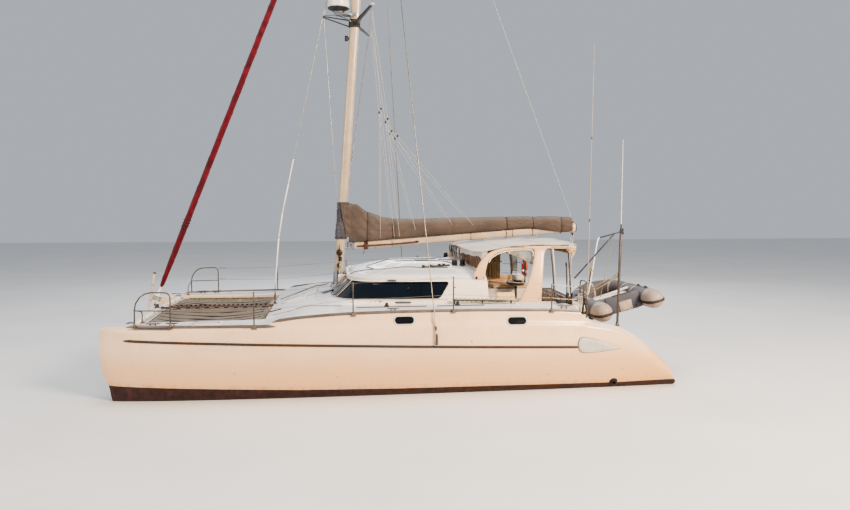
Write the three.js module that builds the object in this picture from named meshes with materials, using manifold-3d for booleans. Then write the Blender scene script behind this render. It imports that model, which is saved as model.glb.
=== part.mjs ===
// Cruising sailing catamaran, about 35 ft: two decked hulls joined by a bridge deck, a hollow deckhouse with
// wraparound windows, a forward crossbeam with two trampolines, an open cockpit under a canopy on a moulded
// arch, a stayed mast with a swinging boom, twin rudders geared to one wheel, and a tender carried on two stern arms.
// Millimetres. +X to the bow, +Y to port, +Z up. Origin: centreline, amidships, at the waterline.
import * as THREE from "three";
import { mergeVertices } from "three/addons/utils/BufferGeometryUtils.js";
import Module from "manifold-3d";

const wasm = await Module();
wasm.setup();

// ---------- driving dimensions ----------
const GAP = 0.4; // clearance kept between touching solids
const STEM_Y = 2280; // hull centreline at the stem
const HULL_IN = 1900; // plane where hull and bridge deck meet
const SIDE_DECK_Z = 1600; // inner side deck level
const NACELLE_BOTTOM = 750, NACELLE_FRONT = 2620, NACELLE_AFT = -3600;
const SALOON_FLOOR = 900, COCKPIT_FLOOR = 1120, SEAT_Z = 1500, BULKHEAD_X = -1600;
const WALL = 55; // deckhouse shell thickness
const SILL_Z = 1700, HEAD_Z = 2000; // window opening, bottom and top
const BEAM_X = 4992, BEAM_Z = 1290, BEAM_RX = 76, BEAM_RZ = 60; // forward crossbeam centre
const NET_FRONT = 4850, NET_AFT = 2650, NET_Z = 1285, NET_INNER_Z = 1338, NET_SAG = 120, NET_T = 16;
const MAST_FOOT = { x: 1261, z: 1800 }, MAST_RAKE = 0.0715, MAST_TOP = 14100, MAST_CHORD = 200, MAST_WIDTH = 130;
const CAP_Z = 12900, SPREADER_Z = 7290;
const GOOSENECK = { x: 1045, z: 2620 };
const BOOM_END = { x: -4020, z: 2985 }, BOOM_H = 180, BOOM_W = 120;
const STAY_SLOPE = 0.4017, STAY_AT = { x: 4940, z: 1720 }; // forestay line in the centre plane
const CHAINPLATE = { x: -455, y: 2914, z: 1130 };
const SHAFT = { x: -2930, y: 1985, z: -690 }, PROP_R = 200;
const RUDDER = { x: -4560, y: 1985, top: -262, bottom: -980 };
const WHEEL = { x: -2085, y: -1020, z: 1800, r: 300 };
const TENDER_R = 200;

// ---------- helpers ----------
const V = (x, y, z) => new THREE.Vector3(x, y, z);
function clean(g) {
  const c = (g.index ? g.toNonIndexed() : g.clone());
  c.deleteAttribute("normal");
  c.deleteAttribute("uv");
  return mergeVertices(c, 1e-3);
}
function solid(g) {
  const m = clean(g);
  const make = (tri) => new wasm.Manifold(new wasm.Mesh({ numProp: 3, vertProperties: m.attributes.position.array, triVerts: tri }));
  const tri = new Uint32Array(m.index.array);
  let s = make(tri);
  if (s.volume() < 0) {
    const t = new Uint32Array(tri);
    for (let i = 0; i < t.length; i += 3) [t[i + 1], t[i + 2]] = [t[i + 2], t[i + 1]];
    s = make(t);
  }
  return s;
}
function geometry(s) {
  const m = s.getMesh(), n = m.numProp, v = new Float32Array(m.numVert * 3);
  for (let i = 0; i < m.numVert; i++) v.set(m.vertProperties.subarray(i * n, i * n + 3), i * 3);
  return new THREE.BufferGeometry().setAttribute("position", new THREE.BufferAttribute(v, 3)).setIndex(new THREE.BufferAttribute(m.triVerts, 1));
}
const moved = (s, x, y, z) => solid(geometry(s).translate(x, y, z));
const box = (x0, x1, y0, y1, z0, z1) =>
  solid(new THREE.BoxGeometry(Math.abs(x1 - x0), Math.abs(y1 - y0), Math.abs(z1 - z0)).translate((x0 + x1) / 2, (y0 + y1) / 2, (z0 + z1) / 2));
// A straight round bar from a to b; r2 is its radius at b.
function rod(a, b, r, sides = 8, r2 = r) {
  const d = b.clone().sub(a), g = new THREE.CylinderGeometry(r2, r, d.length(), sides);
  g.applyQuaternion(new THREE.Quaternion().setFromUnitVectors(V(0, 1, 0), d.clone().normalize()));
  return solid(g.translate((a.x + b.x) / 2, (a.y + b.y) / 2, (a.z + b.z) / 2));
}
const ball = (p, r, w = 8, h = 6) => solid(new THREE.SphereGeometry(r, w, h).translate(p.x, p.y, p.z));
// A bar through several points, with a ball at each inner corner.
function bar(points, r, sides = 8) {
  let s = null;
  points.slice(1).forEach((p, i) => {
    const piece = rod(points[i], p, r, sides);
    s = s ? s.add(piece) : piece;
    if (i) s = s.add(ball(points[i], r * 1.02, sides, 4));
  });
  return s;
}
// A round tube bent along a smooth curve through points.
function bent(points, r, steps, sides = 10, closed = false) {
  const curve = new THREE.CatmullRomCurve3(points, closed, "centripetal");
  const ring = new THREE.Shape();
  for (let i = 0; i < sides; i++) {
    const a = (i / sides) * 2 * Math.PI;
    ring[i ? "lineTo" : "moveTo"](r * Math.cos(a), r * Math.sin(a));
  }
  return solid(new THREE.ExtrudeGeometry(ring, { steps, extrudePath: curve, bevelEnabled: false }));
}
// A closed skin over rings with equal numbers of points, with a fan at each end.
function loft(rings) {
  const n = rings[0].length, pos = [], idx = [];
  rings.forEach((r) => r.forEach((p) => pos.push(...p)));
  for (let k = 0; k + 1 < rings.length; k++)
    for (let i = 0; i < n; i++) {
      const a = k * n + i, b = k * n + ((i + 1) % n), c = a + n, d = b + n;
      idx.push(a, b, d, a, d, c);
    }
  [0, rings.length - 1].forEach((k) => {
    const c = pos.length / 3, r = rings[k];
    pos.push(...[0, 1, 2].map((j) => r.reduce((t, p) => t + p[j], 0) / n));
    for (let i = 0; i < n; i++) {
      const a = k * n + i, b = k * n + ((i + 1) % n);
      if (k) idx.push(a, b, c);
      else idx.push(b, a, c);
    }
  });
  return solid(new THREE.BufferGeometry().setAttribute("position", new THREE.BufferAttribute(new Float32Array(pos), 3)).setIndex(idx));
}
// A side-view outline (x, z) given a width from y0 to y1.
function plate(outline, y0, y1) {
  const s = new THREE.Shape(outline.map(([x, z]) => new THREE.Vector2(x, z)));
  const g = new THREE.ExtrudeGeometry(s, { depth: y1 - y0, bevelEnabled: false });
  return solid(g.rotateX(Math.PI / 2).translate(0, y1, 0));
}
// A sheet of thickness t over a grid, z = f(u, v).
function sheet(nu, nv, point, t) {
  const rings = [];
  for (let i = 0; i <= nu; i++) {
    const top = [], low = [];
    for (let j = 0; j <= nv; j++) {
      const p = point(i / nu, j / nv);
      top.push(p);
      low.unshift([p[0], p[1], p[2] - t]);
    }
    rings.push([...top, ...low]);
  }
  return loft(rings);
}
const mirrorY = (s) => solid(geometry(s).scale(1, -1, 1));
const lerp = (a, b, t) => a + (b - a) * t;
function table(rows, x) {
  const up = rows[0][0] < rows[rows.length - 1][0] ? rows : [...rows].reverse();
  if (x <= up[0][0]) return up[0][1];
  for (let i = 1; i < up.length; i++)
    if (x <= up[i][0]) return lerp(up[i - 1][1], up[i][1], (x - up[i - 1][0]) / (up[i][0] - up[i - 1][0]));
  return up[up.length - 1][1];
}

const root = new THREE.Group();
const PAINT = {
  gelcoat: [0xe9e0d2, 0.35, 0], antifoul: [0x3a1712, 0.8, 0], steel: [0xb9bcbc, 0.3, 0.9], alloy: [0xb8b6b0, 0.45, 0.6],
  glass: [0x0b1a2a, 0.08, 0], net: [0x6f665c, 0.9, 0], canvas: [0x7d7168, 0.9, 0], bimini: [0xd8d8d6, 0.85, 0], sail: [0x6e1420, 0.85, 0],
  tender: [0xb4b6b8, 0.6, 0], bronze: [0x9a7b45, 0.4, 0.9], black: [0x18181a, 0.6, 0], orange: [0xc8401c, 0.8, 0], cushion: [0xa98a62, 0.9, 0], white: [0xf0efec, 0.4, 0],
};
function add(name, s, paint) {
  const [color, roughness, metalness] = PAINT[paint];
  const m = new THREE.Mesh(geometry(s), new THREE.MeshStandardMaterial({ color, roughness, metalness }));
  m.name = name;
  root.add(m);
  return m;
}
const sides = [["port", 1], ["starboard", -1]];
const onSide = (s, side) => (side > 0 ? s : mirrorY(s));

// ---------- hulls ----------
// Columns: x, keel z, outer waterline y, rub y, rub z, shoulder y, shoulder z, deck edge y, deck edge z, inner deck z, inner y above, inner waterline y, stem blend
const HULL = [
  [5470, -300, 2310, 2322, 900, 2318, 1270, 2300, 1318, 1318, 2240, 2250, 1.0],
  [5400, -310, 2325, 2385, 905, 2372, 1275, 2345, 1326, 1326, 2190, 2235, 0.95],
  [5200, -330, 2352, 2490, 915, 2476, 1284, 2440, 1338, 1340, 2110, 2190, 0.75],
  [4800, -365, 2388, 2612, 930, 2610, 1294, 2570, 1352, 1352, 2060, 2090, 0.4],
  [4200, -405, 2432, 2722, 950, 2728, 1296, 2690, 1353, 1353, 2030, 1930, 0.12],
  [3400, -445, 2470, 2800, 970, 2812, 1298, 2775, 1354, 1354, 1990, 1760, 0],
  [2640, -475, 2490, 2842, 985, 2856, 1298, 2815, 1356, 1358, HULL_IN + 20, 1650, 0],
  [2400, -483, 2494, 2850, 985, 2858, 1298, 2790, 1430, 1420, HULL_IN, 1625, 0],
  [1750, -503, 2500, 2862, 980, 2856, 1300, 2776, 1500, SIDE_DECK_Z - 4, HULL_IN, 1575, 0],
  [1000, -518, 2502, 2870, 970, 2854, 1300, 2772, 1540, SIDE_DECK_Z, HULL_IN, 1535, 0],
  [0, -522, 2500, 2876, 945, 2852, 1300, 2768, 1556, SIDE_DECK_Z, HULL_IN, 1510, 0],
  [-1000, -505, 2494, 2872, 920, 2850, 1285, 2766, 1560, SIDE_DECK_Z, HULL_IN, 1510, 0],
  [-2000, -460, 2486, 2860, 895, 2846, 1270, 2764, 1546, SIDE_DECK_Z, HULL_IN, 1520, 0],
  [-2750, -400, 2476, 2842, 872, 2836, 1250, 2756, 1528, SIDE_DECK_Z, HULL_IN, 1535, 0],
  [-3170, -352, 2468, 2828, 858, 2826, 1235, 2750, 1492, 1560, HULL_IN, 1548, 0],
  [-3330, -332, 2465, 2822, 852, 2842, 1225, 2740, 1360, 1400, HULL_IN - 20, 1552, 0],
  [-3480, -312, 2462, 2816, 846, 2832, 1215, 2720, 1285, 1290, HULL_IN - 40, 1556, 0],
  [-3800, -270, 2455, 2798, 820, 2806, 1160, 2690, 1228, 1235, 1800, 1564, 0],
  [-4150, -222, 2446, 2768, 740, 2762, 1010, 2640, 1092, 1100, 1740, 1574, 0],
  [-4450, -180, 2436, 2730, 620, 2708, 820, 2585, 895, 900, 1690, 1584, 0],
  [-4750, -140, 2424, 2676, 450, 2644, 590, 2525, 645, 650, 1655, 1594, 0],
  [-4980, -112, 2412, 2610, 300, 2582, 395, 2475, 432, 436, 1635, 1602, 0],
  [-5120, -92, 2402, 2545, 160, 2522, 215, 2435, 246, 248, 1628, 1610, 0],
  [-5190, -80, 2392, 2480, 70, 2464, 98, 2400, 118, 120, 1630, 1618, 0],
];
const STEM = [[-400, 5040], [-150, 5200], [0, 5270], [290, 5330], [450, 5400], [650, 5450], [900, 5470], [1150, 5462], [1290, 5440], [1350, 5395]]; // z, x
function hullRing([x, zk, yw, yr, zr, ys, zs, yd, zd, zi, yi, yiw, blend]) {
  const yc = (yw + yiw) / 2, wo = yw - yc, wi = yc - yiw, inner = Math.min(yi, lerp(yiw, yi, 0.55));
  const zAft = Math.max(40, Math.min(600, zi - 330 * (zi / 1600)));
  const ring = [
    [yc - wi * 0.12, zk], [yc + wo * 0.12, zk], [yc + wo * 0.55, zk * 0.9], [yc + wo * 0.86, zk * 0.55], [yw, 0], [lerp(yw, yr, 0.6), zr * 0.5],
    [yr, zr], [ys, zs], [lerp(ys, yd, 0.75), lerp(zs, zd, 0.35)], [yd, zd], [lerp(yd, yi, 0.35), lerp(zd, zi, 0.7)], [yi, zi],
    [yi - (yi > yiw + 10 ? 1 : 0), lerp(zi, zAft, 0.45)], [inner, zAft], [lerp(yiw, inner, 0.25), zAft * 0.45], [yiw, 0], [yc - wi * 0.86, zk * 0.55], [yc - wi * 0.55, zk * 0.9],
  ];
  return ring.map(([y, z]) => [x + (table(STEM, z) - 5470) * blend, y, z]);
}
// Steps down the stern, cut into each hull. Columns: from x, to x, tread z
const TREADS = [[-3560, -3990, 1020], [-3990, -4290, 790], [-4290, -4560, 560], [-4560, -4830, 330], [-4830, -5400, 96]];
const TREAD_OUT = 2400;
let hull = loft(HULL.map(hullRing));
TREADS.forEach(([a, b, z]) => { hull = hull.subtract(box(b, a, 1400, TREAD_OUT, z, 1800)); });
// the inner face against the bridge deck is planed flat, and the rudder tube is bored
hull = hull.subtract(box(NACELLE_AFT - 2, NACELLE_FRONT + 2, HULL_IN - 500, HULL_IN, NACELLE_BOTTOM - 2, 1900));
hull = hull.subtract(rod(V(RUDDER.x, RUDDER.y, -600), V(RUDDER.x, RUDDER.y, 180), 30, 16));
const hulls = {};
sides.forEach(([side, s]) => { hulls[side] = onSide(hull, s); add("hull_" + side, hulls[side], "gelcoat"); });
const clearOf = (s, cutters, dx, dy, dz) => cutters.reduce((t, c) => t.subtract(moved(c, dx, dy, dz)), s);

// ---------- keels, saildrives, propellers, rudders ----------
const foil = (cx, cy, chord, thick, z, lead = 0.3) =>
  [[1, 0], [0.9, 0.62], [0.7, 0.95], [0.45, 1], [0.15, 0.62], [0, 0], [0.15, -0.62], [0.45, -1], [0.7, -0.95], [0.9, -0.62]].map(([u, v]) => [cx + (u - lead) * chord, cy + (v * thick) / 2, z]);
let keel = loft([foil(-250, 1985, 2300, 190, -400), foil(-230, 1985, 2200, 170, -700), foil(-200, 1985, 2000, 130, -1060), foil(-190, 1985, 1940, 90, -1100)]);
keel = clearOf(keel, [hull], 0, 0, -GAP);
let leg = loft([foil(SHAFT.x + 230, SHAFT.y, 330, 110, -330), foil(SHAFT.x + 215, SHAFT.y, 300, 90, SHAFT.z + 20), foil(SHAFT.x + 215, SHAFT.y, 280, 70, SHAFT.z - 110)]);
leg = leg.add(rod(V(SHAFT.x + 20, SHAFT.y, SHAFT.z), V(SHAFT.x + 300, SHAFT.y, SHAFT.z), 68, 14)).add(rod(V(SHAFT.x + 299, SHAFT.y, SHAFT.z), V(SHAFT.x + 400, SHAFT.y, SHAFT.z), 68, 14, 22));
leg = clearOf(leg, [hull], 0, 0, -GAP);
let prop = rod(V(SHAFT.x + 12, SHAFT.y, SHAFT.z), V(SHAFT.x - 70, SHAFT.y, SHAFT.z), 60, 12, 45).add(rod(V(SHAFT.x - 69, SHAFT.y, SHAFT.z), V(SHAFT.x - 120, SHAFT.y, SHAFT.z), 45, 12, 14));
for (let k = 0; k < 3; k++) {
  const b = new THREE.BoxGeometry(14, 95, PROP_R - 30);
  b.rotateZ(0.55).translate(0, 0, (PROP_R + 30) / 2).rotateX((k * 2 * Math.PI) / 3).translate(SHAFT.x - 32, SHAFT.y, SHAFT.z);
  prop = prop.add(solid(b));
}
let rudder = loft([foil(RUDDER.x, RUDDER.y, 470, 66, RUDDER.top, 0.74), foil(RUDDER.x - 10, RUDDER.y, 420, 60, -650, 0.74), foil(RUDDER.x - 20, RUDDER.y, 330, 40, RUDDER.bottom, 0.72)]);
rudder = rudder.add(rod(V(RUDDER.x, RUDDER.y, RUDDER.top - 200), V(RUDDER.x, RUDDER.y, 150), 22, 12));
sides.forEach(([side, s]) => {
  add("keel_" + side, onSide(keel, s), "antifoul");
  add("saildrive_leg_" + side, onSide(leg, s), "alloy");
  add("propeller_" + side, onSide(prop, s), "bronze");
  add("rudder_" + side, onSide(rudder, s), "antifoul");
});

// ---------- bridge deck: nacelle, saloon well, cockpit well ----------
const W = HULL_IN - GAP;
let deck = plate([[NACELLE_FRONT, 1375], [NACELLE_FRONT, 1290], [2330, 830], [2180, NACELLE_BOTTOM], [-3450, NACELLE_BOTTOM], [NACELLE_AFT, 830], [NACELLE_AFT, SEAT_Z], [BULKHEAD_X, SEAT_Z], [BULKHEAD_X, SIDE_DECK_Z - GAP], [1760, SIDE_DECK_Z - GAP]], -W, W);
deck = deck.subtract(box(BULKHEAD_X + WALL, 1230, -W + WALL, W - WALL, SALOON_FLOOR, 1900));
deck = deck.subtract(box(-3420, BULKHEAD_X, -1250, 1250, COCKPIT_FLOOR, 1900));
deck = deck.subtract(box(BULKHEAD_X - 100, BULKHEAD_X + 200, -390, 390, SALOON_FLOOR + 250, 1900)); // companionway
add("bridge_deck", deck, "gelcoat");

// ---------- deckhouse ----------
// Plan outlines of the port half, centreline to aft corner. Columns: z, then x, y pairs.
const HOUSE = [
  [1600, 1758, 0, 1745, 900, 1690, 1350, 1540, 1700, 1270, 1930, 900, 1990, 0, 2020, -1000, 2020, BULKHEAD_X, 2020],
  [1690, 1400, 0, 1400, 700, 1358, 1160, 1256, 1520, 1090, 1780, 755, 1915, 0, 1978, -1000, 1990, BULKHEAD_X, 1990],
  [2012, 1085, 0, 1085, 700, 1055, 1100, 985, 1350, 865, 1560, 620, 1705, 0, 1805, -1000, 1865, BULKHEAD_X, 1865],
  [2110, 1000, 0, 985, 600, 940, 950, 850, 1200, 700, 1400, 480, 1540, 0, 1640, -1000, 1700, BULKHEAD_X, 1700],
  [2215, 560, 0, 540, 400, 490, 700, 410, 900, 300, 1050, 150, 1150, -200, 1230, -1000, 1300, BULKHEAD_X, 1300],
  [2305, 210, 0, 190, 180, 140, 330, 60, 450, -60, 540, -240, 600, -500, 640, -1000, 680, BULKHEAD_X, 680],
];
function house(inset, drop) {
  return loft(HOUSE.map(([z, ...p]) => {
    const half = [];
    for (let i = 0; i < p.length; i += 2) half.push([p[i], p[i + 1]]);
    const c = [-500, 0], shrink = ([x, y]) => {
      const d = Math.hypot(x - c[0], y - c[1]), k = (d - inset * 1.08) / d;
      return [Math.max(c[0] + (x - c[0]) * k, BULKHEAD_X + inset), c[1] + (y - c[1]) * k];
    };
    const pts = half.map(shrink), low = z === HOUSE[0][0] && inset ? drop : 0, zz = (z === HOUSE[0][0] ? z - low : z - inset * 0.95);
    const all = [...pts, ...pts.slice(1).reverse().map(([x, y]) => [x, -y])];
    return all.map(([x, y]) => [x, y, zz]);
  }));
}
let shell = house(0, 0).subtract(box(1075, 1500, -170, 170, MAST_FOOT.z - 10, 2300));
const cavity = house(WALL, 200).subtract(box(1075 - WALL, 1500, -170 - WALL, 170 + WALL, 1400, 2300));
shell = shell.subtract(cavity);
// windows: one band round the front and sides, with a post each side of the mast and at each front corner
const band = (g) => plate([[1700, SILL_Z + g], [-650 + g, SILL_Z + g], [-852 + g, HEAD_Z - g], [1700, HEAD_Z - g]], -2200, 2200);
const post = (s, g) => loft([[-1, -1], [1, -1], [1, 1], [-1, 1]].map(() => 0) && [1500, 2200].map((z, k) => {
  const x = k ? 960 : 1360, y = s * (k ? 1330 : 1300);
  return [[x - 35 - g - 500, y - 35 - g], [x + 600, y - 35 - g], [x + 600, y + 35 + g], [x - 35 - g - 500, y + 35 + g]].map(([a, b]) => [a, b, z]);
}));
const posts = (g) => box(700, 1700, -260 - g, 260 + g, 1500, 2200).add(post(1, g)).add(post(-1, g));
shell = shell.subtract(band(0).subtract(posts(0)));
shell = shell.subtract(box(BULKHEAD_X - 50, BULKHEAD_X + 100, -390, 390, 1500, 1960)); // companionway
add("deckhouse", shell, "gelcoat");
const glassBand = house(14, 0).subtract(house(32, 200)).intersect(band(GAP).subtract(posts(GAP)));
[["window_front_port", 260, 1317], ["window_front_starboard", -1317, -260], ["window_side_port", 1317, 2200], ["window_side_starboard", -2200, -1317]].forEach(([n, a, b]) => {
  const piece = glassBand.intersect(box(-1500, 1700, a, b, 1500, 2200)).decompose().sort((p, q) => q.volume() - p.volume())[0];
  add(n, piece, "glass");
});
add("companionway_door", box(BULKHEAD_X - 46, BULKHEAD_X - 8, -420, 420, SALOON_FLOOR + 262, 1985), "glass");

// ---------- crossbeam, tack fitting, bow pole, centre spar, trampolines ----------
const ell = (n, rx, rz) => Array.from({ length: n }, (_, i) => [rx * Math.cos((i / n) * 2 * Math.PI), rz * Math.sin((i / n) * 2 * Math.PI)]);
let beam = loft([-2300, 2300].map((y) => ell(14, BEAM_RX, BEAM_RZ).map(([a, b]) => [BEAM_X + a, y, BEAM_Z + b])));
beam = clearOf(clearOf(clearOf(beam, [hulls.port], 0, -GAP, 0), [hulls.starboard], 0, GAP, 0), [hulls.port, hulls.starboard], 0, 0, GAP).decompose().sort((p, q) => q.volume() - p.volume())[0];
beam = beam.add(box(BEAM_X - 30, BEAM_X + 66, -28, 28, BEAM_Z + 30, BEAM_Z + 118));
beam = beam.add(rod(V(BEAM_X + 50, 300, BEAM_Z + 20), V(BEAM_X + 104, 300, BEAM_Z + 90), 26, 10)).add(rod(V(BEAM_X + 104, 300, BEAM_Z + 88), V(4974, 290, 2101), 26, 10));
add("forward_crossbeam", beam, "white");
add("centre_spar", clearOf(rod(V(BEAM_X - 20, 0, 1338), V(NACELLE_FRONT + 1, 0, 1342), 30, 12), [beam], -GAP, 0, 0), "alloy");
const net = sheet(6, 6, (u, v) => {
  const x = lerp(NET_AFT, NET_FRONT, u), inner = 40, outer = lerp(1880, 1985, u);
  const sag = 16 * u * (1 - u) * v * (1 - v);
  return [x, lerp(inner, outer, v), lerp(NET_INNER_Z, NET_Z, v) - NET_SAG * sag];
}, NET_T);
sides.forEach(([side, s]) => add("trampoline_" + side, onSide(clearOf(net, [hull, beam], 0, -3, 0), s), "net"));

// ---------- mast, spreaders, radar, stays ----------
const mastX = (z) => MAST_FOOT.x - MAST_RAKE * (z - MAST_FOOT.z);
const mastRing = (z, dx = 0, dy = 0) => ell(16, MAST_CHORD / 2 + dx, MAST_WIDTH / 2 + dy).map(([a, b]) => [mastX(z) + a, b, z]);
let mast = loft([mastRing(MAST_FOOT.z), mastRing(MAST_TOP)]);
mast = mast.add(box(mastX(14050) - 240, mastX(14050) + 190, -22, 22, 14020, 14095)); // masthead crane
mast = mast.add(box(GOOSENECK.x - 22, GOOSENECK.x + 80, -16, 16, GOOSENECK.z - 62, GOOSENECK.z - 40)).add(box(GOOSENECK.x - 22, GOOSENECK.x + 80, -16, 16, GOOSENECK.z + 40, GOOSENECK.z + 62));
add("mast", mast, "alloy");
const collarRing = (z) => [mastRing(z, 30, 30), mastRing(z, 3, 3)];
const tubeAround = (z0, z1, t) => loft([mastRing(z0, t, t), mastRing(z1, t, t)]).subtract(loft([mastRing(z0 - 50, 2, 2), mastRing(z1 + 50, 2, 2)]));
let spreaders = tubeAround(SPREADER_Z - 75, SPREADER_Z + 75, 16);
const rootX = mastX(SPREADER_Z);
// Struts. Columns: start x from the mast centre, y, z, tip, radius at the mast, radius at the tip
const SPREADER_TIP = { port: [575, 1330, 7340], starboard: [495, -1330, 7358] }, STRUT_TIP = [1510, 0, 7405];
[[-20, 72, SPREADER_Z, SPREADER_TIP.port, 38, 24], [-20, -72, SPREADER_Z, SPREADER_TIP.starboard, 38, 24], [108, 0, SPREADER_Z + 60, STRUT_TIP, 15, 13], [108, 0, SPREADER_Z - 62, STRUT_TIP, 15, 13]]
  .forEach(([dx, y, z, tip, r, tipR]) => { spreaders = spreaders.add(rod(V(rootX + dx, y, z), V(...tip), r, 8, tipR)); });
add("spreaders", spreaders, "alloy");
// Radar dome. Columns: radius, z
const DOME = { x: 1208, profile: [[0, 7530], [120, 7532], [206, 7588], [225, 7640], [218, 7740], [195, 7850], [130, 7925], [0, 7950]] };
let radar = solid(new THREE.LatheGeometry(DOME.profile.map(([r, z]) => new THREE.Vector2(r, z)), 20).rotateX(Math.PI / 2).translate(DOME.x, 0, 0));
radar = radar.add(tubeAround(7440, 7500, 14)).add(box(930, 1300, -60, 60, 7478, 7500)).add(box(1120, 1300, -90, 90, 7499, 7560));
radar = radar.subtract(loft([mastRing(7400, 2, 2), mastRing(8200, 2, 2)]));
add("radar_dome", radar.decompose().sort((p, q) => q.volume() - p.volume())[0], "white");
const stayX = (z) => STAY_AT.x - STAY_SLOPE * (z - STAY_AT.z);
const stay = (z) => V(stayX(z), 0, z);
add("furler_drum", rod(stay(1440), stay(1485), 30, 12).add(rod(stay(1484), stay(1500), 92, 16)).add(rod(stay(1499), stay(1600), 66, 16)).add(rod(stay(1599), stay(1615), 92, 16)).add(rod(stay(1614), stay(1780), 24, 10)), "black");
// Furled sail. Columns: from z, radius, to z, radius
const ROLL = [[1781, 22, 1840, 40], [1839, 44, 2750, 60], [2749, 62, 9000, 58], [8999, 58, 11600, 34], [11599, 16, 11960, 16]];
add("furled_genoa", ROLL.map(([z0, r0, z1, r1]) => rod(stay(z0), stay(z1), r0, 12, r1)).reduce((t, r) => t.add(r)), "sail");
const shroud = (s) => {
  const a = V(CHAINPLATE.x, CHAINPLATE.y, CHAINPLATE.z), b = V(mastX(CAP_Z) - 20, 68, CAP_Z), at = (t) => a.clone().lerp(b, t);
  const foot = box(a.x - 20, a.x + 20, 2820, a.y + 6, a.z - 150, a.z - 124).add(box(a.x - 20, a.x + 20, a.y - 6, a.y + 6, a.z - 150, a.z + 10));
  return onSide(clearOf(rod(a, at(0.026), 10, 8).add(rod(at(0.025), b, 5, 6)).add(foot), [hull], 0, GAP, 0), s);
};
sides.forEach(([side, s]) => add("shroud_" + side, shroud(s), "steel"));
// inner stay: a tackle at its foot, then a wire that leans further aft
const INNER = [V(2592, 0, 1419), V(2590, 0, 1560), V(2497, 0, 2799), V(2413, 0, 3327), V(mastX(11350) + 107, 0, 11350)];
add("inner_forestay", box(2562, 2614, -22, 22, 1394, 1420).add(rod(INNER[0], INNER[1], 12, 8)).add(bar([INNER[1].clone().setZ(1558), ...INNER.slice(2)], 5, 6)), "steel");

// ---------- boom and sail cover ----------
const boomZ = (x) => lerp(GOOSENECK.z, BOOM_END.z, (GOOSENECK.x - x) / (GOOSENECK.x - BOOM_END.x));
const oval = (n, x, zc, w, h) => ell(n, w / 2, h / 2).map(([a, b]) => [x, a, zc + b]);
let boom = loft([940, BOOM_END.x].map((x) => oval(14, x, boomZ(x), BOOM_W, BOOM_H)));
boom = boom.add(box(930, GOOSENECK.x + 18, -18, 18, GOOSENECK.z - 34, GOOSENECK.z + 34));
add("boom", boom, "alloy");
// Columns: x, top z, width, share of the mast's rake
const COVER = [[1020, 3500, 165, 1], [905, 3505, 250, 1], [744, 3415, 300, 0.6], [531, 3308, 330, 0.3], [245, 3218, 345, 0], [-187, 3182, 345, 0], [-908, 3192, 325, 0], [-1837, 3214, 300, 0], [-2963, 3214, 255, 0], [-3900, 3152, 200, 0]];
add("sail_cover", loft(COVER.map(([x, top, w, rake]) => {
  const low = boomZ(x) + BOOM_H / 2 + 2, h = top - low;
  return [[0.34, 0], [0.5, 0.12], [0.5, 0.42], [0.4, 0.72], [0.2, 0.95], [0, 1], [-0.2, 0.95], [-0.4, 0.72], [-0.5, 0.42], [-0.5, 0.12], [-0.34, 0]].map(([a, b]) => [x - MAST_RAKE * b * h * rake, a * w, low + b * h]);
})), "canvas");
add("sail_cover_collar", tubeAround(2760, 3480, 26), "canvas");

// ---------- guard rails: pulpits, stanchions with lifelines, pushpits ----------
// Stanchions. Columns: x, y, foot z, top z
const POSTS = [[2740, 2822, 1322, 1968], [1024, 2776, 1510, 2112], [-778, 2776, 1540, 2190], [-2612, 2760, 1510, 2040]];
const foot = (x, y, z) => box(x - 26, x + 26, y - 22, y + 22, z, z + 85);
const line = (a, b) => rod(V(...a), V(...b), 5, 5);
let pulpit = bar([V(4787, 2596, 1330), V(4787, 2590, 1640), V(4765, 2596, 1765), V(4690, 2606, 1880), V(4600, 2616, 1940), V(4500, 2626, 1960), V(4165, 2690, 1962), V(4165, 2706, 1330)], 13, 6);
pulpit = pulpit.add(rod(V(4787, 2590, 1645), V(4165, 2698, 1645), 11, 6)).add(rod(V(4800, 2614, 1318), V(4150, 2738, 1318), 13, 6)).add(bar([V(4787, 2590, 1640), V(4780, 2500, 1632), V(4778, 2110, 1560), V(4778, 2110, 1345)], 11, 6)).add(foot(4165, 2706, 1318));
pulpit = clearOf(pulpit, [hull], 0, 0, GAP).decompose().sort((p, q) => q.volume() - p.volume())[0];
const LINE_GAP = 30; // the wires' end fittings stop this far from the pulpit's and pushpit's posts
let rail = null;
const ENDS = [[4165 - LINE_GAP, 2692, 1390, 1962], ...POSTS, [-3232 + LINE_GAP, 2726, 1480, 1985]];
ENDS.forEach(([x, y, z0, z1], i) => {
  const inner = i > 0 && i < ENDS.length - 1;
  if (inner) {
    const piece = rod(V(x, y, z0), V(x, y - 6, z1), 13, 6).add(foot(x, y, z0));
    rail = rail ? rail.add(piece) : piece;
  }
});
ENDS.slice(1).forEach(([x, y, z0, z1], i) => {
  const [px, py, pz0, pz1] = ENDS[i];
  rail = rail.add(line([px, py, pz1 - 16], [x, y, z1 - 16])).add(line([px, py, (pz0 + pz1) / 2], [x, y, (z0 + z1) / 2]));
});
rail = clearOf(rail, [hull], 0, 0, GAP).decompose().sort((p, q) => q.volume() - p.volume())[0];
let pushpit = bar([V(-3232, 2726, 1440), V(-3232, 2720, 2010), V(-3330, 2640, 2030), V(-3400, 2300, 2030), V(-3400, 2060, 2020), V(-3400, 2060, 1400)], 13, 6);
pushpit = pushpit.add(bar([V(-3232, 2722, 1740), V(-3330, 2640, 1745), V(-3400, 2300, 1745), V(-3400, 2060, 1740)], 11, 6)).add(foot(-3232, 2726, 1440));
pushpit = clearOf(pushpit, [hull], 0, 0, GAP).decompose().sort((p, q) => q.volume() - p.volume())[0];
sides.forEach(([side, s]) => {
  add("pulpit_" + side, onSide(pulpit, s), "steel");
  add("lifelines_" + side, onSide(rail, s), "steel");
  add("pushpit_" + side, onSide(pushpit, s), "steel");
});

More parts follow.
